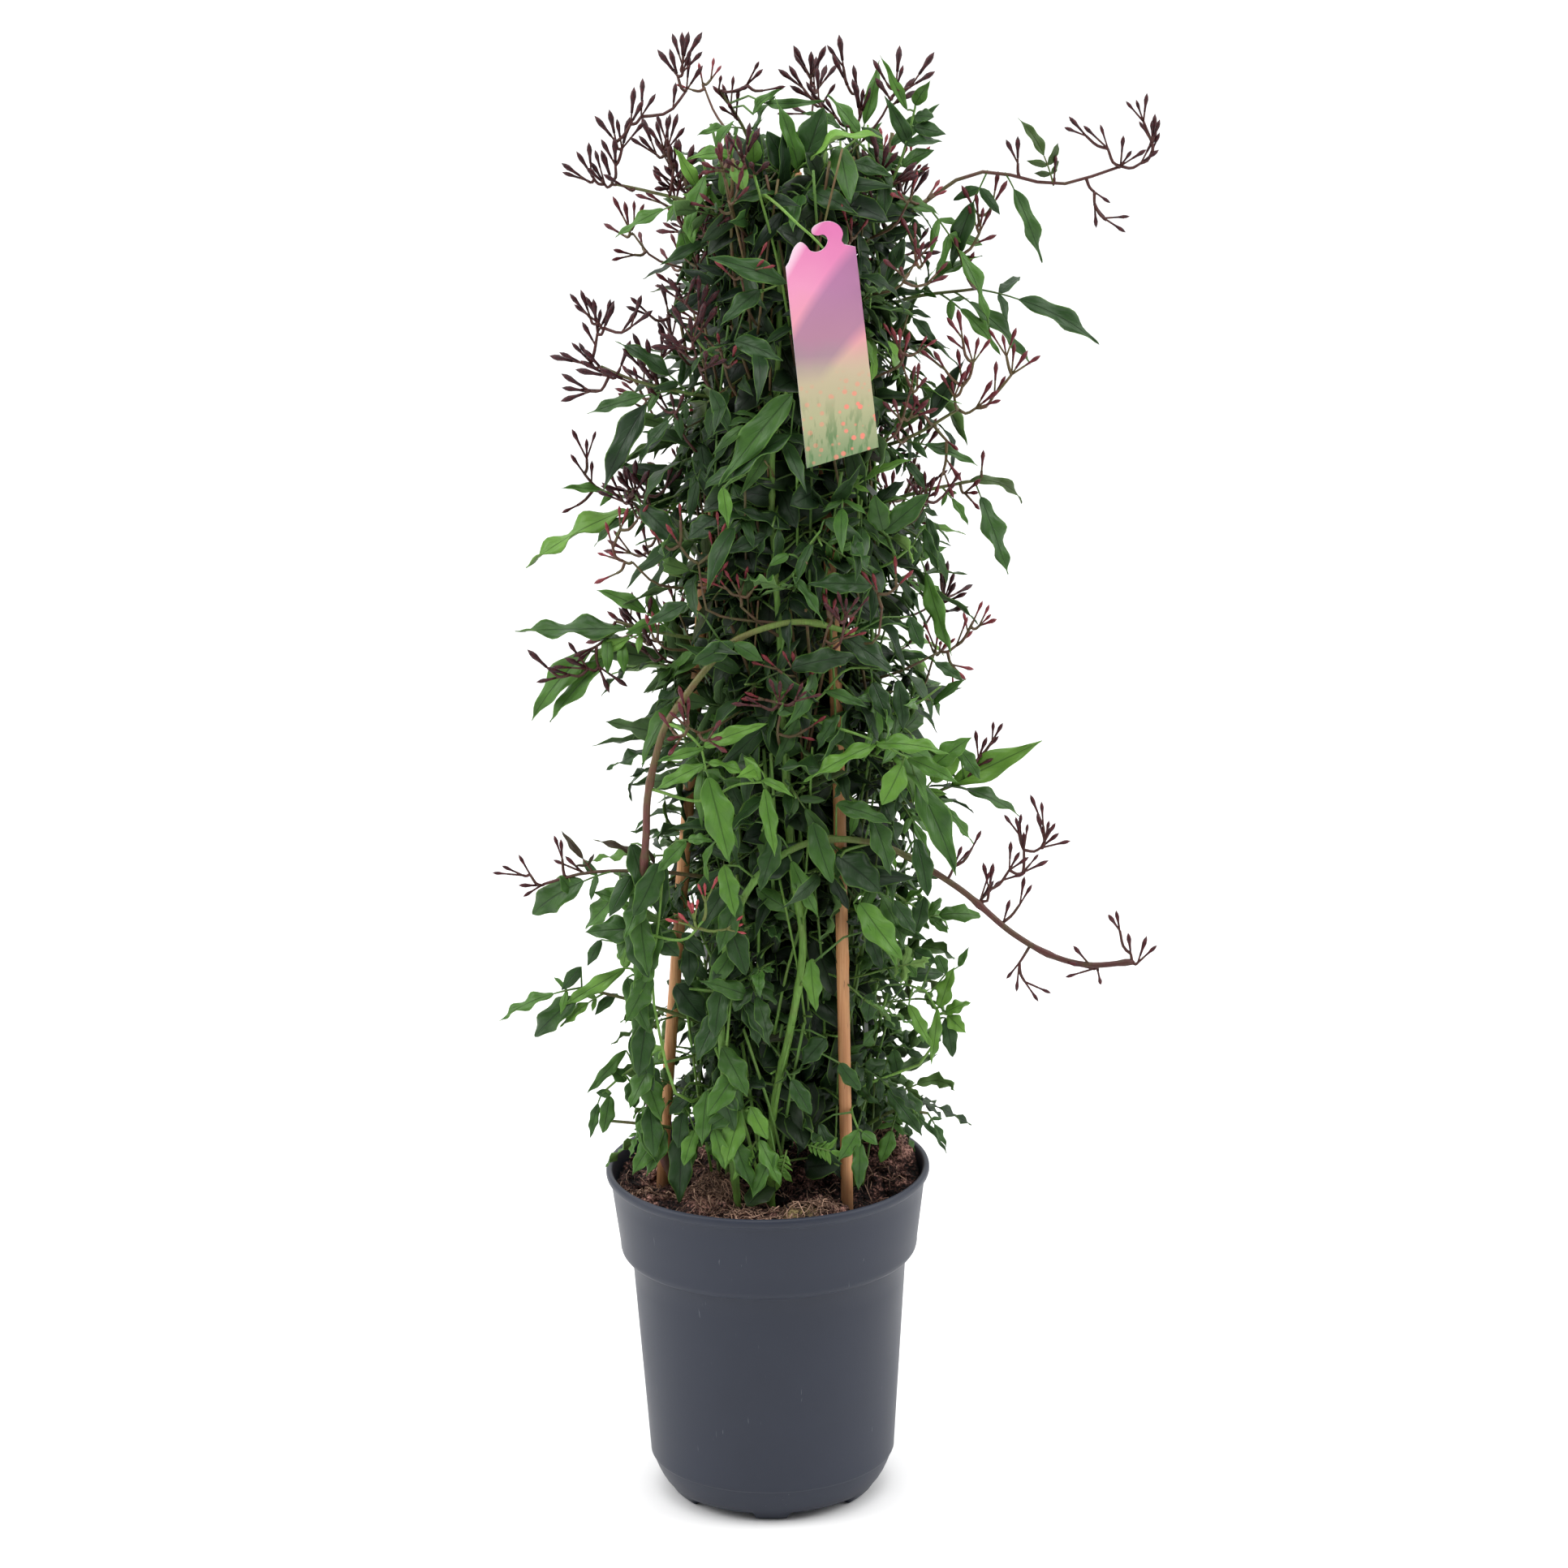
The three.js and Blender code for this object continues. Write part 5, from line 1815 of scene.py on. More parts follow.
SPRAYS = (
    Spray(
        "buds_top_left", "vine_left", 668, ((-22, -22, 690), (-48, -20, 698), (-66, -18, 702)),
        (Leaf(0.55, (-68, -22, 678), GREEN), Leaf(0.42, (-36, -26, 722), FRESH),
         Leaf(0.3, (-8, -34, 728), GREEN), Leaf(0.2, (-44, -34, 664), DEEP, 2)),
        ((-86, -20, 712), (-80, -24, 719), (-74, -18, 708), (-72, -22, 731), (-64, -26, 721), (-59, -18, 729),
         (-52, -24, 740), (-45, -18, 741), (-42, -26, 731), (-36, -22, 720), (-81, -18, 702), (-69, -26, 701),
         (-40, -16, 763), (-33, -12, 768), (-26, -18, 762), (-22, -12, 752), (-90, -18, 703)),
    ),
    Spray(
        "buds_top", "vine_back_left", 672, ((0, 12, 716), (-14, 6, 744)),
        (Leaf(0.55, (10, -14, 744), MID), Leaf(0.7, (-26, -6, 726), GREEN), Leaf(0.4, (26, -8, 728), DEEP)),
        ((-9, 2, 733), (-13, 6, 742), (-3, -2, 744), (-17, 0, 748), (6, 2, 750), (14, 0, 742)),
        SMALL_BUDS,
    ),
    Spray(
        "buds_top_right", "vine_back_right", 664, ((56, 4, 684), (54, 2, 708), (50, 0, 726)),
        (Leaf(0.8, (66, 2, 758), GREEN, slimness=0.8), Leaf(0.6, (94, 2, 736), MID, 2),
         Leaf(0.4, (84, -10, 706), DEEP, 2), Leaf(0.9, (28, -10, 738), MID)),
        ((27, 4, 744), (41, 6, 752), (45, 4, 765), (52, 4, 752), (57, 2, 742), (35, 2, 736), (62, 0, 737),
         (20, 0, 752)),
    ),
    Spray(
        "branch_upper_right", "vine_right", 660,
        ((76, -6, 681), (106, -4, 701), (120, -4, 703), (153, -3, 696), (183, -2, 704)),
        (Leaf(0.33, (121, -4, 628), GREEN, 2, slimness=0.75),
         Leaf(0.62, (147, -4, 656), MID, 0, slimness=0.8), Leaf(0.78, (136, -4, 731), Tone(0.5, 0.3), 2),
         Leaf(0.56, (96, -6, 655), DEEP), Leaf(0.3, (66, -20, 650), DEEP, 2)),
        ((153, -3, 707), (160, -3, 724), (173, -4, 720), (192, -3, 734), (200, -5, 724), (205, -2, 717),
         (202, -3, 707), (186, -4, 706), (175, -3, 685), (171, -4, 678), (132, -4, 715), (180, -3, 672)),
        BudHabit(Tone(0.1, 1.0), pink=0.06, bud=10.0),
        (Tone(0.5, 0.2), Tone(0.3, 0.9), Tone(0.1, 1.0)),
    ),
    Spray(
        "buds_left_high", "vine_left", 590, ((-38, -30, 600), (-62, -26, 606), (-76, -24, 612)),
        (Leaf(0.6, (-80, -30, 553), DARK, 0, curl=0.3), Leaf(0.5, (-84, -24, 588), MID),
         Leaf(0.35, (-60, -36, 566), DEEP, 2), Leaf(0.4, (-66, -30, 628), DEEP)),
        ((-95, -24, 613), (-90, -20, 617), (-89, -24, 641), (-82, -26, 640), (-75, -22, 638), (-66, -24, 637),
         (-81, -26, 604), (-89, -22, 593), (-68, -28, 603), (-62, -26, 618), (-55, -30, 608),
         (-51, -30, 633)),
    ),
    Spray(
        "leaves_left_high", "vine_back_left", 520, ((-50, 14, 532), (-76, 10, 540)),
        (Leaf(0.68, (-121, 5, 511), FRESH, 0, WAVY, 0.72, 0.6), Leaf(0.9, (-98, 4, 546), GREEN),
         Leaf(0.7, (-84, 0, 516), MID, 2), Leaf(0.5, (-70, 0, 560), DEEP, 2)),
        ((-92, 4, 556), (-84, 6, 566), (-96, 2, 530)), SMALL_BUDS,
    ),
    Spray(
        "leaves_right_high", "vine_back_right", 622, ((76, 14, 636), (112, 8, 642)),
        (Leaf(1.0, (178, 8, 618), DEEP, 1, LANCE, 0.85), Leaf(0.85, (143, 6, 607), MID, 0, slimness=0.8),
         Leaf(0.75, (126, 0, 612), GREEN), Leaf(0.6, (112, -6, 664), GREEN),
         Leaf(0.45, (92, -8, 616), DEEP, 2)),
        ((119, -6, 679), (109, -8, 683), (127, -6, 691), (114, -6, 690), (101, -10, 668)),
        WINE_BUDS,
    ),
    Spray(
        "buds_right_middle", "vine_right", 560, ((76, -20, 572), (102, -18, 586)),
        (Leaf(0.5, (112, -26, 562), MID), Leaf(0.4, (88, -30, 546), DEEP, 2),
         Leaf(0.7, (104, -24, 612), DARK, 0)),
        ((134, -20, 610), (124, -20, 621), (113, -22, 618), (127, -18, 598), (109, -26, 606), (119, -22, 588),
         (101, -28, 631), (90, -32, 614), (98, -30, 600), (81, -34, 591), (69, -40, 574), (101, -28, 566),
         (93, -30, 549)),
        BudHabit(Tone(0.5, 0.75), pink=0.28, bud=10.5), (Tone(0.6, 0.2), Tone(0.6, 0.65)),
    ),
    Spray(
        "leaves_right_middle", "vine_right", 532, ((84, -16, 544), (110, -12, 548)),
        (Leaf(1.0, (127, -14, 500), MID, 0, WAVY, curl=0.2),
         Leaf(0.85, (145, -14, 552), Tone(0.5, 0.35), 0, LANCE, 0.6, 1.4), Leaf(0.75, (108, -18, 526), GREEN),
         Leaf(0.55, (92, -24, 512), DEEP, 2)),
        ((118, -18, 560), (108, -24, 538)), WINE_BUDS,
    ),
    Spray(
        "leaves_left_middle", "vine_left", 464, ((-46, -24, 474), (-72, -20, 480)),
        (Leaf(0.72, (-122, -20, 476), MID, 0, WAVY, 0.75, 0.3), Leaf(0.9, (-121, -22, 434), GREEN),
         Leaf(0.8, (-108, -24, 430), GREEN), Leaf(0.7, (-88, -26, 462), FRESH),
         Leaf(0.5, (-80, -20, 500), GREEN, 2)),
        ((-115, -30, 460), (-105, -30, 452), (-88, -30, 462), (-80, -30, 449), (-96, -30, 456)),
    ),
    Spray(
        "buds_left_low", "vine_left", 340, ((-58, -34, 352), (-92, -30, 350), (-112, -28, 344)),
        (Leaf(0.75, (-103, -24, 372), BRONZE, 1, slimness=0.7),
         Leaf(0.65, (-122, -26, 330), MID, 1, OVATE, 0.9), Leaf(0.5, (-92, -36, 322), GREEN, 1, OVATE),
         Leaf(0.4, (-84, -34, 372), BRONZE, 1, slimness=0.6)),
        ((-130, -28, 348), (-124, -28, 355), (-116, -28, 342), (-99, -28, 352), (-103, -28, 365)),
        SMALL_BUDS, (Tone(0.4, 0.6), Tone(0.1, 1.0)),
    ),
    Spray(
        "leaves_right_low", "vine_right", 372, ((82, -18, 384), (104, -16, 392)),
        (Leaf(0.72, (143, -16, 412), FRESH, 0, curl=-0.3), Leaf(0.9, (136, -16, 376), MID, 0),
         Leaf(0.7, (110, -24, 360), GREEN), Leaf(0.6, (104, -22, 414), FRESH, 1, OVATE),
         Leaf(0.45, (86, -30, 356), GREEN, 2)),
        ((123, -18, 419), (115, -18, 411)), SMALL_BUDS,
    ),
    Spray(
        "leaves_left_low", "vine_left", 262, ((-62, -32, 280), (-94, -28, 288)),
        (Leaf(1.0, (-139, -28, 275), GREEN, 1, WAVY, 0.8), Leaf(0.95, (-123, -28, 262), MID, 0, OVATE, 0.8),
         Leaf(0.85, (-107, -30, 268), FRESH, 1, WAVY)),
    ),
    Spray(
        "leaves_right_foot", "vine_right", 202, ((68, -16, 214), (84, -16, 212)),
        (Leaf(1.0, (94, -16, 192), MID, curl=0.3), Leaf(0.6, (60, -30, 190), GREEN, 2, OVATE)),
    ),
    Spray(
        "leaves_left_foot", "vine_left", 200, ((-56, -34, 214), (-84, -30, 216)),
        (Leaf(0.7, (-72, -34, 196), GREEN, 2, WAVY), Leaf(0.3, (-40, -46, 196), GREEN, 2, OVATE)),
    ),
)


# ------------------------------------------------------------------ twigs in the column


@dataclass(frozen=True)
class Blade:
    """A leaflet that is listed in the column. Sizes are in millimetres."""

    foot: Point  # where it leaves its stalk
    tip: Point  # where it ends
    width: float
    shade: float  # 0 for the deepest green to 1 for the freshest
    kind: LeafletKind = WAVY
    curl: float = 0.4  # how far it bends, in radians

    def grow(self, growth: Growth) -> None:
        """Adds the leaflet, with a thin stalk from the nearest limb.

        Args:
            growth: the piece that it is added to.
        """
        foot = metres(self.foot)
        joint = min(LIMBS, key=lambda place: (place - foot).length_squared)
        reach = (foot - joint).length
        middle = joint.lerp(foot, 0.55) + UP * (reach * 0.12)
        tone = Tone(self.shade)
        growth.rod([joint, middle, foot], [0.7 * MM, 0.5 * MM], [Tone(0.2 + self.shade / 2)], sides=4)
        kind = SMOOTH.get(self.kind, self.kind)
        growth.blade(foot, metres(self.tip), self.width * MM, tone, kind, self.curl)


@dataclass(frozen=True)
class Twig:
    """A twig that is listed in the column. Places are in millimetres."""

    node: str  # the shoot that it belongs to
    vine: str  # the vine that it grows from
    height: float  # how high it leaves that vine
    route: tuple[Point, ...]  # the points after that
    blades: tuple[Blade, ...] = ()
    heads: tuple[Point, ...] = ()  # its heads of buds
    habit: BudHabit = INNER_BUDS
    tone: Tone = Tone(0.7, 0.05)

    def grow(self, growth: Growth) -> None:
        """Adds the twig to its shoot.

        Args:
            growth: the shoot that it is added to.
        """
        start = VINES.routes[self.vine].at_height(self.height * MM)
        route = Route([start, *[metres(point) for point in self.route]])
        tone = RED_TWIG if self.heads and self.habit is INNER_BUDS else self.tone
        growth.limb(route, [0.95 * MM, 0.6 * MM], [tone], sides=5)
        for blade in self.blades:
            blade.grow(growth)
        growth.heads(route.points(8)[2:], [metres(head) for head in self.heads], self.habit)


TWIGS = (
    Twig(
        "shoot_7_1", "vine_front", 684, ((18, -30, 700), (22, -27, 708)),
        (Blade((24, -26, 708), (14, -34, 747), 9, 0.6, LANCE),
         Blade((26, -24, 710), (38, -26, 739), 16, 0.35, OVATE),
         Blade((30, -34, 714), (65, -46, 726), 12, 0.95, LANCE, 1.5),
         Blade((44, -30, 721), (48, -52, 696), 13, 0.5, SIDE),
         Blade((20, -24, 707), (9, -34, 730), 13, 0.22, OVATE),
         Blade((2, -30, 713), (1, -40, 731), 8, 0.8, SIDE),
         Blade((12, -34, 700), (-12, -48, 694), 12, 0.4, LANCE, 0.6),
         Blade((28, -34, 700), (52, -50, 690), 11, 0.3, LANCE, 0.7),
         Blade((24, -36, 698), (20, -60, 684), 10, 0.45, LANCE, 0.7)),
        tone=Tone(0.7, 0.1),
    ),
    Twig(
        "shoot_7_2", "vine_front", 676, ((34, -26, 708), (54, -20, 724)),
        (Blade((54, -22, 726), (38, -34, 747), 8, 0.6, LANCE),
         Blade((8, -18, 741), (38, -24, 743), 5, 0.5, LANCE, 1.5),
         Blade((65, -16, 719), (55, -20, 729), 8, 0.35, SIDE),
         Blade((72, -20, 691), (93, -30, 687), 9, 0.5, LANCE, 0.7),
         Blade((66, -24, 704), (66, -34, 683), 8, 0.3, LANCE),
         Blade((50, -24, 712), (70, -34, 706), 9, 0.4, LANCE, 0.6)),
    ),
    Twig(
        "shoot_7_3", "vine_back_right", 664, ((66, -6, 692), (76, -8, 714), (82, -7, 736)),
        (Blade((79, -8, 717), (68, -14, 744), 8, 0.4, LANCE),
         Blade((78, -8, 735), (64, -10, 762), 5, 0.7, LANCE, 0.7),
         Blade((82, -6, 737), (89, -10, 750), 7, 0.65, LANCE, 0.8),
         Blade((81, -10, 727), (97, -16, 724), 8, 0.3, SIDE),
         Blade((77, -12, 719), (95, -18, 721), 8, 0.35, SIDE),
         Blade((75, -14, 708), (91, -18, 717), 8, 0.5, SIDE, 0.6),
         Blade((82, -8, 732), (91, -14, 732), 8, 0.35, OVATE),
         Blade((70, -10, 706), (58, -18, 718), 9, 0.4, SIDE)),
    ),
    Twig(
        "shoot_7_4", "vine_left", 668, ((-4, -32, 700), (-12, -30, 714)),
        (Blade((-9, -30, 717), (-31, -44, 718), 8, 0.75, LANCE, 0.9),
         Blade((-22, -34, 708), (-31, -40, 680), 9, 0.6, LANCE),
         Blade((-7, -40, 716), (-2, -52, 703), 9, 0.85, SIDE),
         Blade((-17, -24, 721), (-7, -30, 734), 7, 0.6, SIDE),
         Blade((2, -14, 735), (17, -22, 749), 5, 0.6, LANCE, 1.2),
         Blade((-30, -24, 689), (-29, -30, 674), 8, 0.7, OVATE),
         Blade((-34, -22, 678), (-31, -30, 665), 9, 0.7, OVATE)),
    ),
    Twig(
        "shoot_6_4", "vine_left", 640, ((2, -50, 652), (14, -56, 658)),
        (Blade((17, -60, 659), (-22, -64, 675), 11, 0.38, LANCE),
         Blade((-9, -60, 631), (15, -66, 622), 11, 0.3, LANCE, 0.6),
         Blade((4, -56, 655), (-16, -66, 640), 10, 0.3, LANCE, 0.6)),
    ),
    Twig(
        "shoot_6_1", "vine_front", 600, ((14, -52, 604), (20, -60, 600)),
        (Blade((19, -60, 604), (-18, -70, 560), 15, 0.5, LANCE),
         Blade((18, -62, 584), (-17, -72, 560), 14, 0.28, LANCE, 0.6),
         Blade((-16, -70, 560), (-13, -74, 540), 7, 0.75, LANCE),
         Blade((-21, -56, 606), (-10, -62, 583), 8, 0.3, LANCE)),
    ),
    Twig(
        "shoot_4_4", "vine_arch", 437, ((-40, -66, 436), (-30, -71, 428), (-27, -73, 416)),
        (Blade((-28, -72, 428), (4, -78, 442), 8, 0.85, WAVY, 0.6),
         Blade((-28, -72, 427), (-52, -70, 419), 5, 0.75, LANCE, 0.8),
         Blade((-28, -73, 419), (-52, -72, 405), 8, 0.8, WAVY, 0.7),
         Blade((-26, -73, 420), (-2, -80, 412), 6, 0.8, WAVY, 0.9),
         Blade((-26, -75, 413), (-16, -84, 370), 15, 0.72)),
        tone=GREEN_TWIG,
    ),
    Twig(
        "shoot_3_4", "vine_arch", 404, ((-30, -66, 398), (-12, -72, 408), (1, -75, 410)),
        (Blade((0, -74, 410), (-8, -76, 424), 6, 0.9, SIDE),
         Blade((1, -75, 411), (17, -80, 404), 5, 0.8, LANCE, 0.9),
         Blade((2, -76, 407), (6, -82, 373), 8, 0.8, WAVY, 0.2),
         Blade((-19, -72, 366), (-14, -78, 340), 10, 0.75), Blade((-38, -62, 376), (-53, -66, 361), 8, 0.6),
         Blade((-37, -66, 378), (-24, -72, 379), 6, 0.65, WAVY, 0.8)),
        tone=GREEN_TWIG,
    ),
    Twig(
        "shoot_4_1", "vine_front", 440, ((30, -58, 436), (56, -64, 428), (74, -64, 418)),
        (Blade((58, -66, 426), (22, -74, 408), 9, 0.85, WAVY, 0.7),
         Blade((58, -66, 426), (95, -68, 422), 9, 0.8, WAVY, 0.9),
         Blade((87, -58, 412), (106, -62, 428), 11, 0.7),
         Blade((71, -68, 416), (61, -76, 397), 12, 0.85, OVATE),
         Blade((78, -62, 406), (98, -70, 358), 15, 0.5, LANCE),
         Blade((74, -64, 418), (100, -66, 406), 8, 0.7, WAVY, 0.6),
         Blade((40, -60, 440), (28, -64, 423), 8, 0.4, WAVY, 0.6)),
        tone=GREEN_TWIG,
    ),
    Twig(
        "shoot_3_1", "vine_droop", 372, ((40, -58, 366), (52, -60, 348)),
        (Blade((38, -62, 394), (66, -70, 387), 9, 0.5, WAVY, 0.8),
         Blade((38, -58, 366), (60, -64, 349), 18, 0.2, OVATE),
         Blade((49, -62, 342), (69, -72, 313), 14, 0.75),
         Blade((66, -60, 342), (77, -64, 326), 9, 0.3, OVATE), Blade((15, -60, 364), (28, -62, 334), 9, 0.65),
         Blade((21, -54, 370), (-6, -56, 353), 15, 0.12, OVATE)),
    ),
    Twig(
        "shoot_2_4", "vine_left", 280, ((-40, -44, 292), (-18, -52, 292)),
        (Blade((-7, -56, 291), (-33, -64, 302), 9, 0.5, WAVY, 0.9),
         Blade((-45, -46, 295), (-31, -50, 275), 15, 0.12, OVATE),
         Blade((-11, -54, 289), (-3, -58, 264), 9, 0.3),
         Blade((-16, -50, 351), (-32, -56, 325), 11, 0.3, OVATE),
         Blade((-61, -44, 331), (-75, -48, 310), 11, 0.6, OVATE),
         Blade((-58, -48, 327), (-44, -52, 311), 13, 0.4, OVATE)),
    ),
    Twig(
        "shoot_1_1", "vine_front", 214, ((-6, -50, 226), (-14, -54, 230)),
        (Blade((-12, -54, 230), (-27, -60, 246), 13, 0.42, OVATE, 0.6),
         Blade((-13, -56, 229), (-23, -62, 200), 11, 0.8),
         Blade((-8, -58, 232), (0, -64, 216), 9, 0.85, OVATE),
         Blade((-16, -56, 230), (-31, -60, 221), 9, 0.5, OVATE, 0.6),
         Blade((-27, -58, 221), (-21, -60, 199), 8, 0.7, OVATE),
         Blade((13, -54, 245), (23, -60, 228), 9, 0.42, OVATE)),
        tone=GREEN_TWIG,
    ),
    Twig(
        "shoot_1_4", "vine_left", 226, ((-40, -38, 238), (-44, -44, 232)),
        (Blade((-37, -50, 217), (-43, -56, 200), 8, 0.75, OVATE),
         Blade((-40, -46, 234), (-50, -50, 226), 8, 0.22, OVATE),
         Blade((-43, -48, 226), (-46, -52, 208), 9, 0.25, OVATE),
         Blade((-55, -42, 229), (-68, -48, 212), 9, 0.62), Blade((-64, -40, 251), (-53, -46, 237), 9, 0.35)),
    ),
    Twig(
        "shoot_1_2", "vine_right", 214, ((44, -46, 224), (47, -53, 217)),
        (Blade((47, -54, 217), (37, -60, 202), 9, 0.62), Blade((48, -56, 211), (46, -62, 187), 8, 0.5),
         Blade((49, -56, 217), (57, -60, 211), 6, 0.6, SIDE), Blade((27, -46, 218), (35, -50, 197), 8, 0.25),
         Blade((38, -52, 253), (48, -56, 239), 8, 0.4, OVATE), Blade((74, -16, 224), (81, -18, 200), 9, 0.4)),
    ),
    Twig(
        "shoot_2_1", "vine_front", 292, ((24, -56, 304), (26, -58, 310)),
        (Blade((24, -58, 311), (25, -62, 284), 9, 0.8),
         Blade((31, -50, 266), (19, -54, 253), 12, 0.25, OVATE)),
    ),
    Twig(
        "shoot_2_4", "vine_left", 232,
        ((-44, -56, 236), (-55, -56, 280), (-57, -56, 302), (-53, -56, 330), (-49, -56, 369)),
        (Blade((-60, -46, 325), (-91, -44, 323), 14, 0.45),
         Blade((-53, -54, 329), (-60, -56, 300), 11, 0.5, OVATE),
         Blade((-71, -34, 300), (-105, -28, 278), 8, 0.85, WAVY, 0.6),
         Blade((-72, -38, 302), (-68, -44, 319), 8, 0.9),
         Blade((-94, -30, 300), (-104, -30, 287), 7, 0.35, SIDE),
         Blade((-83, -32, 315), (-91, -32, 301), 6, 0.4, SIDE),
         Blade((-76, -30, 285), (-88, -30, 274), 6, 0.4, SIDE),
         Blade((-62, -40, 336), (-67, -42, 350), 8, 0.7, OVATE),
         Blade((-51, -48, 362), (-53, -52, 331), 10, 0.3, OVATE),
         Blade((-72, -36, 336), (-86, -36, 342), 7, 0.55, OVATE),
         Blade((-97, -30, 339), (-103, -30, 349), 8, 0.5, OVATE),
         Blade((-62, -44, 333), (-78, -44, 341), 5, 0.7, LANCE, 0.7),
         Blade((-41, -48, 323), (-30, -52, 311), 8, 0.2, OVATE),
         Blade((-38, -46, 316), (-38, -50, 295), 9, 0.2, OVATE)),
        tone=GREEN_TWIG,
    ),
    Twig(
        "shoot_1_4", "vine_left", 250, ((-52, -38, 250), (-68, -34, 246), (-84, -34, 233)),
        (Blade((-72, -32, 255), (-94, -34, 233), 6, 0.55, WAVY, 0.6),
         Blade((-72, -34, 239), (-81, -34, 246), 8, 0.5, OVATE),
         Blade((-70, -36, 239), (-68, -40, 226), 9, 0.45, OVATE),
         Blade((-80, -34, 232), (-88, -34, 233), 5, 0.45, SIDE),
         Blade((-81, -34, 231), (-84, -36, 211), 8, 0.55, OVATE),
         Blade((-87, -34, 227), (-92, -34, 208), 5, 0.45), Blade((-63, -40, 249), (-59, -44, 231), 8, 0.5)),
    ),
    Twig(
        "shoot_2_1", "vine_right", 236,
        ((44, -34, 233), (68, -34, 241), (79, -34, 245), (88, -34, 261), (88, -34, 277), (83, -34, 285),
         (73, -34, 289)),
        (Blade((53, -52, 324), (60, -56, 304), 8, 0.2, OVATE),
         Blade((77, -34, 307), (88, -38, 301), 8, 0.4, OVATE),
         Blade((89, -30, 303), (94, -34, 294), 7, 0.5, OVATE),
         Blade((100, -28, 296), (105, -28, 307), 4, 0.6, LANCE),
         Blade((90, -34, 276), (98, -36, 299), 9, 0.9),
         Blade((93, -34, 273), (106, -34, 279), 9, 0.85, WAVY, 0.6),
         Blade((94, -34, 272), (103, -38, 263), 8, 0.9), Blade((89, -36, 276), (86, -38, 246), 6, 0.9),
         Blade((74, -40, 280), (85, -42, 257), 7, 0.85),
         Blade((93, -30, 269), (96, -32, 248), 8, 0.35, OVATE),
         Blade((71, -40, 306), (78, -44, 296), 8, 0.55, OVATE),
         Blade((62, -30, 271), (69, -34, 265), 8, 0.35, OVATE),
         Blade((55, -42, 287), (52, -46, 273), 9, 0.3, OVATE)),
        tone=GREEN_TWIG,
    ),
    Twig(
        "shoot_3_2", "vine_droop", 368, ((62, -54, 350), (74, -50, 338), (84, -44, 330)),
        (Blade((46, -60, 341), (68, -66, 306), 9, 0.78, LANCE, 0.6),
         Blade((82, -46, 340), (77, -50, 320), 9, 0.35, OVATE),
         Blade((72, -50, 338), (86, -50, 347), 6, 0.75, LANCE, 0.6)),
    ),
    Twig(
        "shoot_1_2", "vine_right", 222, ((58, -26, 234), (68, -22, 226), (78, -22, 214)),
        (Blade((66, -26, 251), (69, -30, 235), 8, 0.4), Blade((63, -20, 227), (80, -24, 202), 9, 0.4),
         Blade((79, -22, 212), (94, -22, 192), 3, 0.35, LANCE, 0.9)),
    ),
    Twig(
        "shoot_5_1", "vine_front", 500, ((18, -56, 512), (26, -56, 526), (32, -56, 534)),
        (Blade((17, -48, 533), (-9, -54, 545), 8, 0.15, OVATE),
         Blade((5, -52, 531), (-15, -58, 523), 8, 0.15, OVATE),
         Blade((34, -54, 539), (54, -62, 528), 8, 0.35, SIDE), Blade((57, -58, 506), (25, -64, 509), 11, 0.3),
         Blade((18, -62, 512), (34, -68, 489), 6, 0.5, LANCE),
         Blade((16, -60, 523), (6, -64, 518), 5, 0.6, SIDE, 0.6),
         Blade((-57, -40, 544), (-38, -48, 526), 12, 0.2, OVATE),
         Blade((-20, -48, 539), (-34, -52, 530), 12, 0.15, OVATE)),
    ),
    Twig(
        "shoot_4_1", "vine_front", 440, ((28, -54, 446), (44, -54, 462), (56, -52, 462)),
        (Blade((42, -50, 479), (67, -54, 461), 13, 0.2, OVATE),
         Blade((57, -50, 454), (64, -54, 435), 10, 0.22, OVATE),
         Blade((70, -46, 454), (72, -50, 429), 9, 0.22, OVATE),
         Blade((-35, -52, 497), (-56, -52, 485), 9, 0.3, LANCE),
         Blade((-12, -64, 479), (-33, -64, 469), 10, 0.4, OVATE),
         Blade((-12, -64, 479), (3, -68, 471), 8, 0.5, SIDE),
         Blade((33, -58, 452), (55, -60, 443), 6, 0.5, LANCE, 0.6)),
    ),
    Twig(
        "shoot_5_2", "vine_right", 500, ((66, -38, 512), (78, -34, 520)),
        (Blade((85, -26, 504), (98, -34, 463), 9, 0.7, WAVY, 0.6),
         Blade((84, -26, 527), (92, -30, 505), 6, 0.35),
         Blade((63, -50, 532), (58, -54, 551), 11, 0.5, OVATE),
         Blade((63, -48, 531), (86, -50, 550), 11, 0.45, OVATE)),
    ),
    Twig(
        "shoot_4_2", "vine_right", 420, ((76, -34, 436), (92, -30, 446)),
        (Blade((89, -28, 458), (104, -28, 448), 6, 0.4), Blade((100, -34, 415), (112, -34, 398), 8, 0.5),
         Blade((76, -40, 485), (82, -44, 469), 8, 0.35, OVATE),
         Blade((88, -30, 436), (105, -30, 450), 6, 0.5, SIDE)),
    ),
    Twig(
        "shoot_5_4", "vine_arch", 484, ((-25, -56, 494), (-27, -56, 504), (-29, -56, 518)),
        heads=((-37, -58, 548), (-43, -58, 533), (-53, -58, 529), (-14, -58, 537), (-15, -58, 514)),
    ),
    Twig(
        "shoot_5_4", "vine_left", 498, ((-50, -40, 504), (-62, -42, 516)),
        heads=((-76, -40, 529), (-65, -42, 539), (-53, -42, 541), (-74, -40, 517), (-74, -38, 504)),
    ),
    Twig(
        "shoot_5_1", "vine_front", 478, ((0, -56, 488), (-8, -58, 496)),
        heads=((-9, -58, 509), (4, -60, 507), (-21, -60, 509)),
    ),
    Twig(
        "shoot_4_1", "vine_front", 418, ((10, -58, 424), (9, -62, 433), (12, -62, 447)),
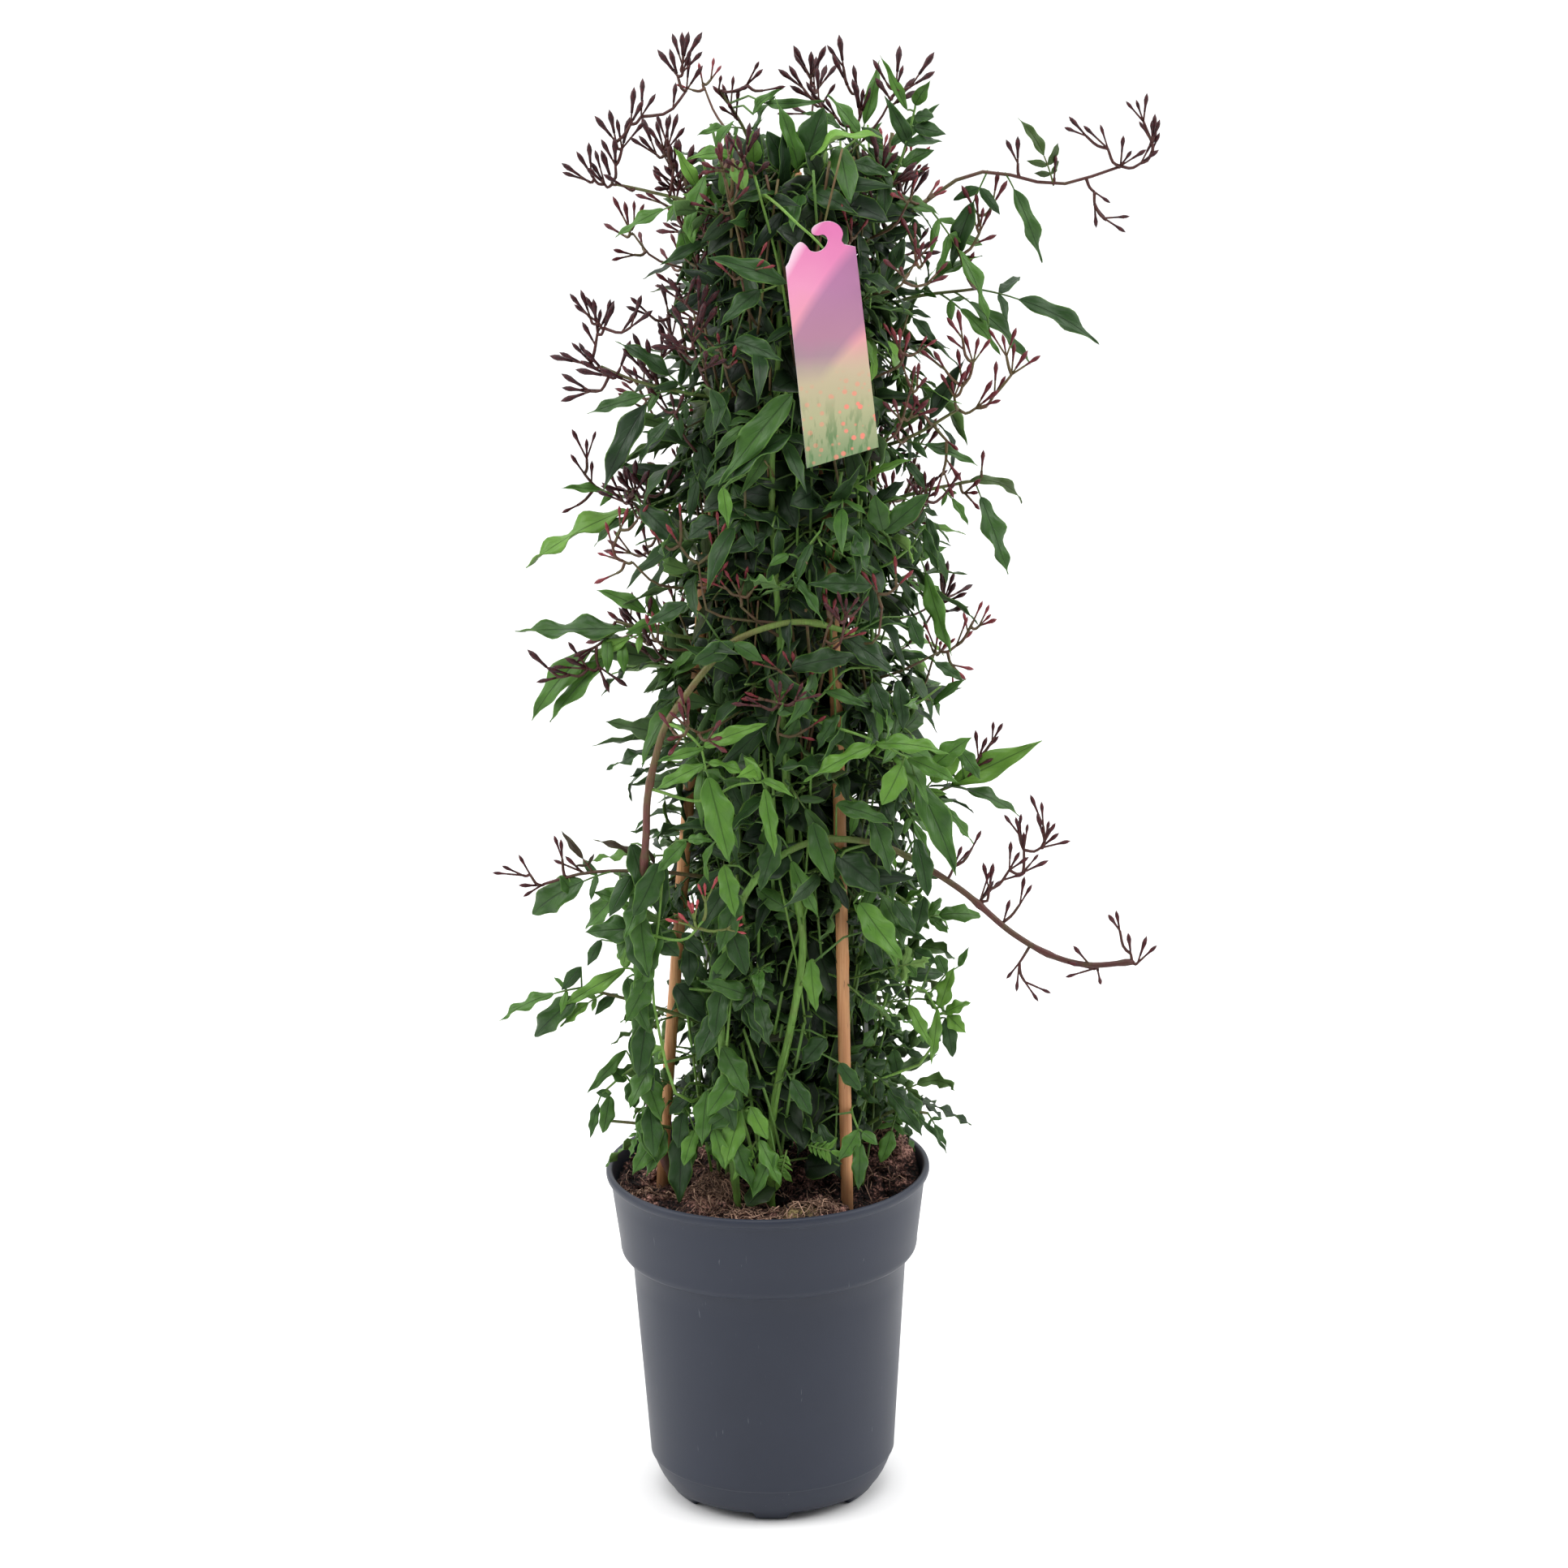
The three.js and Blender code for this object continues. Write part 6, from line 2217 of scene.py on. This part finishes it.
        heads=((3, -62, 467), (17, -62, 468), (29, -62, 451), (31, -60, 434), (-4, -60, 450)),
    ),
    Twig(
        "shoot_4_1", "vine_front", 448, ((22, -56, 456), (28, -60, 462), (35, -60, 486)),
        heads=((33, -60, 505), (40, -60, 496), (48, -60, 479)),
    ),
    Twig(
        "shoot_5_1", "vine_right", 468, ((52, -50, 474), (59, -56, 477), (62, -56, 494)),
        heads=((58, -56, 508), (67, -56, 516), (77, -56, 508)),
    ),
    Twig(
        "shoot_4_1", "vine_right", 440, ((70, -24, 452), (92, -22, 462)),
        heads=((119, -20, 475), (113, -20, 483), (107, -20, 467), (100, -20, 448)),
    ),
    Twig(
        "shoot_4_4", "vine_left", 466, ((-46, -46, 472), (-50, -48, 476)),
        heads=((-58, -50, 485), (-50, -50, 488)),
    ),
    Twig(
        "shoot_3_4", "vine_arch", 326, ((-40, -62, 324), (-30, -68, 336)),
        heads=((-28, -70, 352), (-42, -70, 336), (-36, -70, 342), (-12, -66, 330)),
        habit=PINK_BUDS, tone=GREEN_TWIG,
    ),
    Twig(
        "shoot_6_2", "vine_right", 600, ((58, -36, 606), (70, -42, 612)),
        heads=((78, -44, 626), (88, -40, 620), (68, -46, 628)),
    ),
    Twig(
        "shoot_6_4", "vine_left", 610, ((-22, -44, 622), (-32, -48, 636)),
        heads=((-40, -50, 654), (-30, -52, 658), (-20, -52, 650)), habit=DARK_BUDS,
    ),
    Twig(
        "shoot_1_1", "vine_droop", 250, ((-20, -54, 262), (-18, -58, 282), (-16, -58, 300)),
        (Blade((-20, -56, 300), (-26, -64, 272), 12, 0.35, OVATE),
         Blade((-22, -56, 264), (-10, -66, 240), 13, 0.5),
         Blade((-14, -58, 252), (-31, -68, 232), 12, 0.62, OVATE),
         Blade((-18, -58, 332), (-8, -66, 306), 12, 0.3, OVATE),
         Blade((-12, -60, 346), (-24, -68, 318), 11, 0.45), Blade((-18, -56, 216), (-8, -64, 188), 11, 0.5),
         Blade((-22, -56, 284), (-36, -64, 260), 12, 0.3, OVATE),
         Blade((-10, -58, 290), (2, -64, 268), 10, 0.3, OVATE), Blade((-4, -58, 214), (6, -64, 190), 10, 0.7),
         Blade((4, -58, 208), (-7, -64, 184), 9, 0.55, OVATE),
         Blade((-24, -54, 246), (-16, -60, 220), 12, 0.4, OVATE),
         Blade((-30, -54, 240), (-34, -60, 212), 11, 0.6),
         Blade((-14, -58, 318), (-28, -64, 298), 10, 0.5, SIDE),
         Blade((26, -60, 384), (34, -68, 354), 12, 0.5, OVATE), Blade((8, -60, 378), (0, -68, 350), 11, 0.4),
         Blade((56, -60, 386), (66, -68, 358), 12, 0.45),
         Blade((78, -58, 374), (84, -66, 346), 10, 0.35, OVATE)),
        tone=GREEN_TWIG,
    ),
    Twig(
        "shoot_2_4", "vine_arch", 300, ((-66, -54, 312), (-68, -56, 330)),
        (Blade((-52, -60, 364), (-64, -68, 338), 13, 0.4, OVATE),
         Blade((-62, -58, 336), (-60, -66, 306), 12, 0.5), Blade((-58, -56, 304), (-70, -64, 280), 12, 0.5),
         Blade((-60, -52, 278), (-66, -60, 250), 12, 0.35, OVATE),
         Blade((-58, -50, 254), (-70, -58, 232), 11, 0.55),
         Blade((-60, -46, 230), (-58, -54, 204), 11, 0.4, OVATE),
         Blade((-44, -42, 216), (-44, -50, 177), 13, 0.25, OVATE),
         Blade((-66, -54, 356), (-78, -60, 336), 10, 0.35, SIDE),
         Blade((-66, -52, 372), (-58, -62, 346), 12, 0.35, OVATE),
         Blade((-58, -56, 350), (-70, -64, 326), 12, 0.5),
         Blade((-68, -54, 330), (-58, -62, 304), 12, 0.4, OVATE),
         Blade((-56, -52, 318), (-66, -60, 292), 11, 0.6),
         Blade((-70, -50, 300), (-60, -58, 274), 11, 0.45, OVATE),
         Blade((-58, -48, 286), (-68, -56, 262), 11, 0.5),
         Blade((-68, -46, 268), (-58, -54, 240), 11, 0.35, OVATE),
         Blade((-62, -44, 246), (-54, -52, 222), 11, 0.6),
         Blade((-66, -42, 224), (-56, -50, 200), 10, 0.5, OVATE),
         Blade((-52, -42, 214), (-62, -50, 192), 9, 0.55), Blade((-56, -44, 212), (-70, -52, 194), 10, 0.55)),
    ),
    Twig(
        "shoot_7_1", "vine_front", 684,
        ((6, -44, 700), (14, -60, 697), (24, -66, 688), (31, -67, 682), (37, -63, 674)),
        tone=GREEN_TWIG,
    ),
)


# ------------------------------------------------------------------ shoots that fill the column


@dataclass(frozen=True)
class Clearing:
    """A place that leaves in front of it keep in view. Sizes are in millimetres."""

    start: tuple[float, float]  # one end of its middle line, across and up
    end: tuple[float, float]  # the other end
    radius: float  # how far it reaches from that line
    depth: float  # where along Y the thing stands that is kept in view

    EYE_HEIGHT = 1109.0
    EYE_DISTANCE = 2500.0

    def covers(self, place: Vector) -> bool:
        """Whether a point in metres lies in front of the clearing.

        Args:
            place: the point.

        Returns:
            True where it hides a part of the clearing.
        """
        x, y, z = place / MM
        if y > self.depth - 1.0:
            return False
        seen = z - (self.depth - y) * (self.EYE_HEIGHT - z) / self.EYE_DISTANCE
        first, last, spot = Vector(self.start), Vector(self.end), Vector((x, seen))
        line = last - first
        share = min(max((spot - first).dot(line) / line.length_squared, 0.0), 1.0)
        return (spot - first - line * share).length < self.radius


def view_of(blade: Blade) -> Clearing:
    """The clearing that keeps a listed leaflet in view."""
    (foot_x, foot_y, foot_z), (tip_x, tip_y, tip_z) = blade.foot, blade.tip
    return Clearing((foot_x, foot_z), (tip_x, tip_z), 0.3 * blade.width, min(foot_y, tip_y))


CLEARINGS = (
    Clearing((34, 668), (43, 588), 23.0, -60.0),
    Clearing((2, 206), (20, 322), 9.0, -46.0),
    Clearing((-57, 374), (-46, 438), 7.0, -60.0),
    Clearing((-46, 438), (-8, 482), 6.0, -60.0),
    Clearing((41, 172), (40, 262), 9.0, -40.0),
    Clearing((40, 262), (39, 330), 6.0, -39.0),
    Clearing((38, 428), (36, 474), 6.0, -32.0),
    Clearing((-55, 172), (-50, 236), 7.0, -8.0),
    Clearing((-50, 236), (-40, 345), 5.0, -8.0),
    Clearing((86, 357), (128, 322), 7.0, -55.0),
    *[view_of(blade) for twig in TWIGS for blade in twig.blades],
    *[Clearing((x, z), (x, z + 1), 5.0, y) for twig in TWIGS for x, y, z in twig.heads],
)
SOIL_VIEW = Clearing((-60, 168), (70, 168), 20.0, -30.0)
# where each ferny young leaf starts near the mix, and its direction
SPROUTS: tuple[tuple[Point, Point], ...] = (
    ((10, -56, 207), (-0.25, -0.4, -0.9)),
    ((20, -54, 210), (0.8, -0.5, -0.1)),
    ((-6, -56, 212), (-0.5, -0.5, -0.7)),
)
SPROUT_HABIT = LeafHabit(10.0, Tone(0.85), 5, 0.5, 0.3, SIDE, slimness=0.9)


@dataclass(frozen=True)
class LeafStyle:
    """The leaves of one part of the column."""

    kinds: tuple[LeafletKind, ...]  # the outlines of end leaflets, the commoner ones repeated
    sizes: tuple[float, float]  # the shortest and the longest end leaflet, in millimetres
    pairs: tuple[int, ...]  # the pairs of side leaflets, the commoner numbers repeated
    side_kind: LeafletKind = SIDE


LOW_LEAVES = LeafStyle((OVATE, WAVY, WAVY), (17, 29), (1, 1, 2, 2), OVATE)
MIDDLE_LEAVES = LeafStyle((LANCE, LANCE, LANCE, WAVY), (24, 42), (0, 1, 1, 2))
HIGH_LEAVES = LeafStyle((LANCE, LANCE, LANCE, SIDE), (22, 36), (0, 1, 1, 2))


@dataclass
class ShootCell:
    """One leafy shoot's wedge of the column. Sizes are in millimetres."""

    level: int  # the storey, from 0 at the foot
    sector: int  # the quarter, from 0
    storey: float = 74.0
    lowest: float = 186.0
    laterals: int = 11
    # near-black leaflets deep in the column, a painted shade
    shaded_inner_leaflets: int = 44
    threads: int = 8
    bud_levels: int = 3
    front: float = -118.0
    outermost: float = 103.0
    low_leaves: float = 350.0  # how high the broad leaves grow
    first_high_level: int = 5  # the storey from which the leaves are small
    ground: float = 190.0  # leaves stay above this height
    shade_core_radius: float = 22.0  # within this radius all leaves are painted dark, as painted shade deep in the column
    shade_fade_depth: float = 34.0  # and this far beyond it the painted shade has faded and they are the freshest
    freshness: tuple[tuple[float, float], ...] = ((480, 0.43), (330, 0.46), (0, 0.52))  # by height
    reaches: tuple[float, ...] = (60, 68, 72, 69, 63, 60, 42)
    vine_sets: tuple[tuple[str, ...], ...] = (
        ("vine_front", "vine_right", "vine_back", "vine_left"),
        ("vine_right", "vine_back_right", "vine_back_left", "vine_left"),
    )

    def __post_init__(self) -> None:
        """Works out the node, the floor and the middle direction, and finds the clearings that are near."""
        self.node = f"shoot_{self.level + 1}_{self.sector + 1}"
        self.floor = self.lowest + self.level * self.storey
        self.middle = (-45.0 if self.level % 2 else -90.0) + 90.0 * self.sector
        low, high = self.floor - 90, self.floor + self.storey + 60
        self.kept = [view for view in CLEARINGS if low < view.start[1] < high or low < view.end[1] < high]

    def _free(self, base: Vector, tip: Vector) -> bool:
        """Says whether a leaf stays in the wedge's room and leaves the kept views open.

        Args:
            base: where the leaf starts, in metres.
            tip: where it ends.

        Returns:
            True where it may grow.
        """
        away = (tip - column_axis(tip.z)).xy.length
        if tip.y < self.front * MM or away > self.outermost * MM:
            return False
        spots = [base.lerp(tip, 0.4), base.lerp(tip, 0.7), tip]
        if self.level == 0 and any(SOIL_VIEW.covers(spot) for spot in spots):
            return False
        return not any(view.covers(spot) for view in self.kept for spot in spots)

    def _tone(self, growth: Growth, place: Vector) -> Tone:
        """The colour of a leaf by where it grows: fresher low down, and painted darker near the axis as
        painted shade.

        Args:
            growth: the piece, for its random choices.
            place: where the leaf starts, in metres.

        Returns:
            Its colour.
        """
        height = place.z / MM
        away = (place - column_axis(place.z)).xy.length / MM
        fresh = next(shade for lowest, shade in self.freshness if height > lowest)
        # painted shade: leaves near the column's axis are toned darker and more evenly
        depth = min(max((away - self.shade_core_radius) / self.shade_fade_depth, 0.0), 1.0)
        shade = growth.chance.gauss(fresh * mixed(0.1, 1.0, depth), 0.21 * mixed(0.3, 1.0, depth))
        blush = 0.4 if growth.chance.random() < 0.02 else max(0.0, growth.chance.gauss(0.0, 0.03))
        return Tone(min(max(shade, 0.0), 1.0), blush)

    def _habit(self, growth: Growth, place: Vector) -> LeafHabit:
        """How a leaf grows at a place: wavy and broad low down, long and slim above.

        Args:
            growth: the piece, for its random choices.
            place: where the leaf starts, in metres.

        Returns:
            Its habit.
        """
        chance = growth.chance
        style = HIGH_LEAVES if self.level >= self.first_high_level else MIDDLE_LEAVES
        if place.z / MM < self.low_leaves:
            style = LOW_LEAVES
        return LeafHabit(
            size=chance.uniform(*style.sizes),
            tone=self._tone(growth, place),
            pairs=chance.choice(style.pairs),
            droop=chance.uniform(-0.3, 0.9),
            curl=chance.uniform(0.1, 1.5),
            end_kind=chance.choice(style.kinds),
            side_kind=style.side_kind,
            slimness=chance.uniform(0.75, 1.05),
            side_share=chance.uniform(0.45, 0.7),
        )

    def _try_leaf(self, growth: Growth, base: Vector, course: Vector) -> None:
        """Grows a leaf where it leaves the kept views open.

        Args:
            growth: the piece that it is added to.
            base: where it starts, in metres.
            course: its direction.
        """
        habit = self._habit(growth, base)
        reach = habit.size * (1.2 + 0.2 * habit.pairs) * MM
        course = course.normalized()
        tip = base + course * reach - UP * (0.25 * reach)
        if self.level == 0 and tip.z < self.ground * MM:
            course.z += (self.ground * MM - tip.z) / reach
            course.normalize()
            tip = base + course * reach - UP * (0.2 * reach)
        if self._free(base, tip):
            facing = UP * 0.75 + outward_of(base) * 0.6 + growth.scatter(0.5)
            growth.leaf(base, course, facing, habit)

    def _leaf_pair(self, growth: Growth, base: Vector, heading: Vector) -> None:
        """Two leaves that face each other across a stem.

        Args:
            growth: the piece that they are added to.
            base: where they start, in metres.
            heading: the stem's direction there.
        """
        vary = growth.chance.uniform
        out = outward_of(base)
        side = Quaternion(heading, vary(-0.9, 0.9)) @ across(heading, UP)
        for hand in (-1, 1):
            course = heading * vary(0.0, 0.7) + side * (hand * vary(0.5, 1.0)) + out * vary(0.0, 0.7)
            course.z += vary(-0.6, 0.35)
            self._try_leaf(growth, base, course)

    def _lateral(self, growth: Growth, index: int) -> None:
        """A side stem with opposite leaves that ends in a leaf or in buds.

        Args:
            growth: the piece that it is added to.
            index: its number in the shoot.
        """
        chance = growth.chance
        vines = self.vine_sets[self.level % 2]
        vine = vines[self.sector] if index % 3 else chance.choice(vines)
        rise = chance.uniform(4, self.storey - 6)
        start = VINES.routes[vine].at_height((self.floor + rise) * MM)
        degrees = self.middle + mixed(-43, 43, (index + 0.5) / self.laterals) + chance.uniform(-8, 8)
        reach = self.reaches[self.level] * chance.uniform(0.7, 1.08)
        lift = chance.uniform(-4, 30)
        elbow = on_column(degrees, reach * 0.62, self.floor + rise + lift * 0.7)
        end = on_column(degrees, reach, self.floor + rise + lift - chance.uniform(-8, 14))
        if (elbow - start).length < 6 * MM:
            return
        route = Route([start, elbow, end])
        budding = self.level >= self.bud_levels and chance.random() < 0.5
        tone = Tone(0.5, 0.6) if budding else Tone(0.6, 0.1)
        growth.rod(route.points(8), [0.8 * MM, 0.5 * MM], [tone])
        for spot in (0.4, 0.75):
            self._leaf_pair(growth, route.at(spot), route.heading(spot))
        if budding and self._free(end, end + outward_of(end) * (36 * MM)):
            habit = chance.choice((DARK_BUDS, WINE_BUDS, INNER_BUDS, SMALL_BUDS))
            growth.panicle(end, outward_of(end) * 0.7 + UP * chance.uniform(0.0, 0.9), habit)
        else:
            self._try_leaf(growth, end, route.heading(1.0))

    def _shade_leaflet(self, growth: Growth) -> None:
        """A leaflet deep in the column, painted near black as painted shade.

        Args:
            growth: the piece that it is added to.
        """
        chance = growth.chance
        degrees, radius = self.middle + chance.uniform(-45, 45), chance.uniform(10, 38)
        place = on_column(degrees, radius, self.floor + chance.uniform(0, self.storey))
        course = outward_of(place) * chance.uniform(-0.2, 1.0) + growth.scatter(0.6)
        tip = place + course.normalized() * (26 * MM)
        if self.level == 0 and tip.z < (self.ground + 2.0) * MM or not self._free(place, tip):
            return
        facing = outward_of(place) + UP * chance.uniform(0.0, 0.8)
        size = chance.uniform(22, 36) * MM
        # a near-black tone that paints the shade deep inside the column
        tone = Tone(chance.uniform(0.0, 0.14), chance.uniform(0.0, 0.1))
        growth.leaflet(place, course, facing, size, LeafletKind.SMALL, tone, chance.uniform(0.2, 1.0), 1.2)

    def _thread(self, growth: Growth) -> None:
        """A thin stem that climbs through the leaves.

        Args:
            growth: the piece that it is added to.
        """
        chance = growth.chance
        degrees = self.middle + chance.uniform(-42, 42)
        lean = chance.uniform(-26, 26)
        near, far = chance.uniform(24, 48), chance.uniform(34, 60)
        foot = on_column(degrees, near, self.floor)
        middle = on_column(degrees + lean * 0.4, (near + far) / 2, self.floor + self.storey * 0.5)
        head = on_column(degrees + lean, far, self.floor + self.storey + chance.uniform(0, 20))
        purple = 0.75 if self.level > 2 and chance.random() < 0.5 else 0.03
        thick = chance.uniform(0.5, 0.95) * MM
        growth.rod(Route([foot, middle, head]).points(7), [thick], [Tone(chance.uniform(0.4, 1.0), purple)])

    def build(self) -> bpy.types.Object:
        """Grows the shoot.

        Returns:
            The finished shoot.
        """
        growth = Growth(100 + 10 * self.level + self.sector)
        for index in range(self.laterals):
            self._lateral(growth, index)
        for _ in range(self.shaded_inner_leaflets):
            self._shade_leaflet(growth)
        for _ in range(self.threads):
            self._thread(growth)
        for twig in TWIGS:
            if twig.node == self.node:
                twig.grow(growth)
        for start, course in SPROUTS if self.node == "shoot_1_1" else ():
            growth.leaf(metres(start), Vector(course), Vector((0.0, -1.0, 0.3)), SPROUT_HABIT)
        return growth.piece(self.node + "_leaves", [self.node])


# ------------------------------------------------------------------ the studio


@dataclass
class Studio:
    """Floor, light and camera. Sizes are in metres."""

    camera_place: Point = (0.0118, -2.5, 1.1088)
    tilt_down: float = 16.10
    roll: float = -0.93
    focal_pixels: float = 6230.0
    image_pixels: float = 1932.0
    sensor: float = 36.0

    def camera(self) -> None:
        """Sets the camera where it looks down on the plant from the front."""
        data = bpy.data.cameras.new("camera")
        data.sensor_width = self.sensor
        data.lens = self.focal_pixels / self.image_pixels * self.sensor
        data.clip_start, data.clip_end = 0.1, 100.0
        body = linked("camera", data)
        level = Matrix.Rotation(math.radians(90 - self.tilt_down), 4, "X")
        rolled = Matrix.Rotation(math.radians(self.roll), 4, "Z")
        body.matrix_world = Matrix.Translation(self.camera_place) @ level @ rolled
        bpy.context.scene.camera = body

    @staticmethod
    def _softbox(name: str, place: Point, target: Point, size: tuple[float, float], watts: float) -> None:
        """Hangs one soft lamp that points at a target."""
        data = bpy.data.lights.new(name, "AREA")
        data.shape = "RECTANGLE"
        data.size, data.size_y = size
        data.energy = watts
        lamp = linked(name, data)
        aim = Vector(target) - Vector(place)
        lamp.rotation_euler = aim.to_track_quat("-Z", "Y").to_euler()
        lamp.location = place

    def lights(self) -> None:
        """Soft boxes at both sides, above and over the backdrop, in a room that is darker in front."""
        middle = (0.02, 0.0, 0.4)
        self._softbox("left_box", (-1.9, -0.35, 1.5), middle, (1.4, 1.6), 30.0)
        self._softbox("right_box", (1.9, -0.25, 1.5), middle, (1.4, 1.6), 30.0)
        self._softbox("top_box", (0.0, -0.7, 2.1), middle, (1.4, 1.4), 23.0)
        self._softbox("backdrop_box", (0.0, 5.0, 4.0), (0.0, 5.0, 0.0), (9.0, 8.0), 260.0)
        world = bpy.data.worlds.new("studio")
        world.use_nodes = True
        nodes, links = world.node_tree.nodes, world.node_tree.links
        course = nodes.new("ShaderNodeTexCoord")
        parts = nodes.new("ShaderNodeSeparateXYZ")
        links.new(course.outputs["Generated"], parts.inputs["Vector"])
        strength = nodes.new("ShaderNodeMapRange")
        for name, number in (("From Min", -0.9), ("From Max", 0.2), ("To Min", 0.25), ("To Max", 0.85)):
            strength.inputs[name].default_value = number
        links.new(parts.outputs["Y"], strength.inputs["Value"])
        links.new(strength.outputs["Result"], nodes["Background"].inputs["Strength"])
        nodes["Background"].inputs["Color"].default_value = (1.0, 1.0, 1.0, 1.0)
        bpy.context.scene.world = world

    @staticmethod
    def floor() -> None:
        """Lays a wide pale floor under the pot."""
        shape = bmesh.new()
        bmesh.ops.create_grid(shape, x_segments=2, y_segments=2, size=20.0)
        linked("floor", stored(smoothed(shape), "floor", SKINS.floor))

    def build(self) -> None:
        """Sets up the whole studio."""
        self.camera()
        self.lights()
        self.floor()
        bpy.context.scene.view_settings.view_transform = "Standard"


# ------------------------------------------------------------------ putting it together


def main() -> None:
    """Builds the studio, the pot and the plant in order."""
    logging.basicConfig(level=logging.INFO, format="%(message)s")
    Studio().build()
    Pot().build()
    PottingMix().build()
    Canes().build()
    HangTag().build()
    VINES.build()
    for index, spray in enumerate(SPRAYS):
        spray.build(40 + index)
    for level in range(7):
        for sector in range(4):
            ShootCell(level, sector).build()


if __name__ == "__main__":
    main()
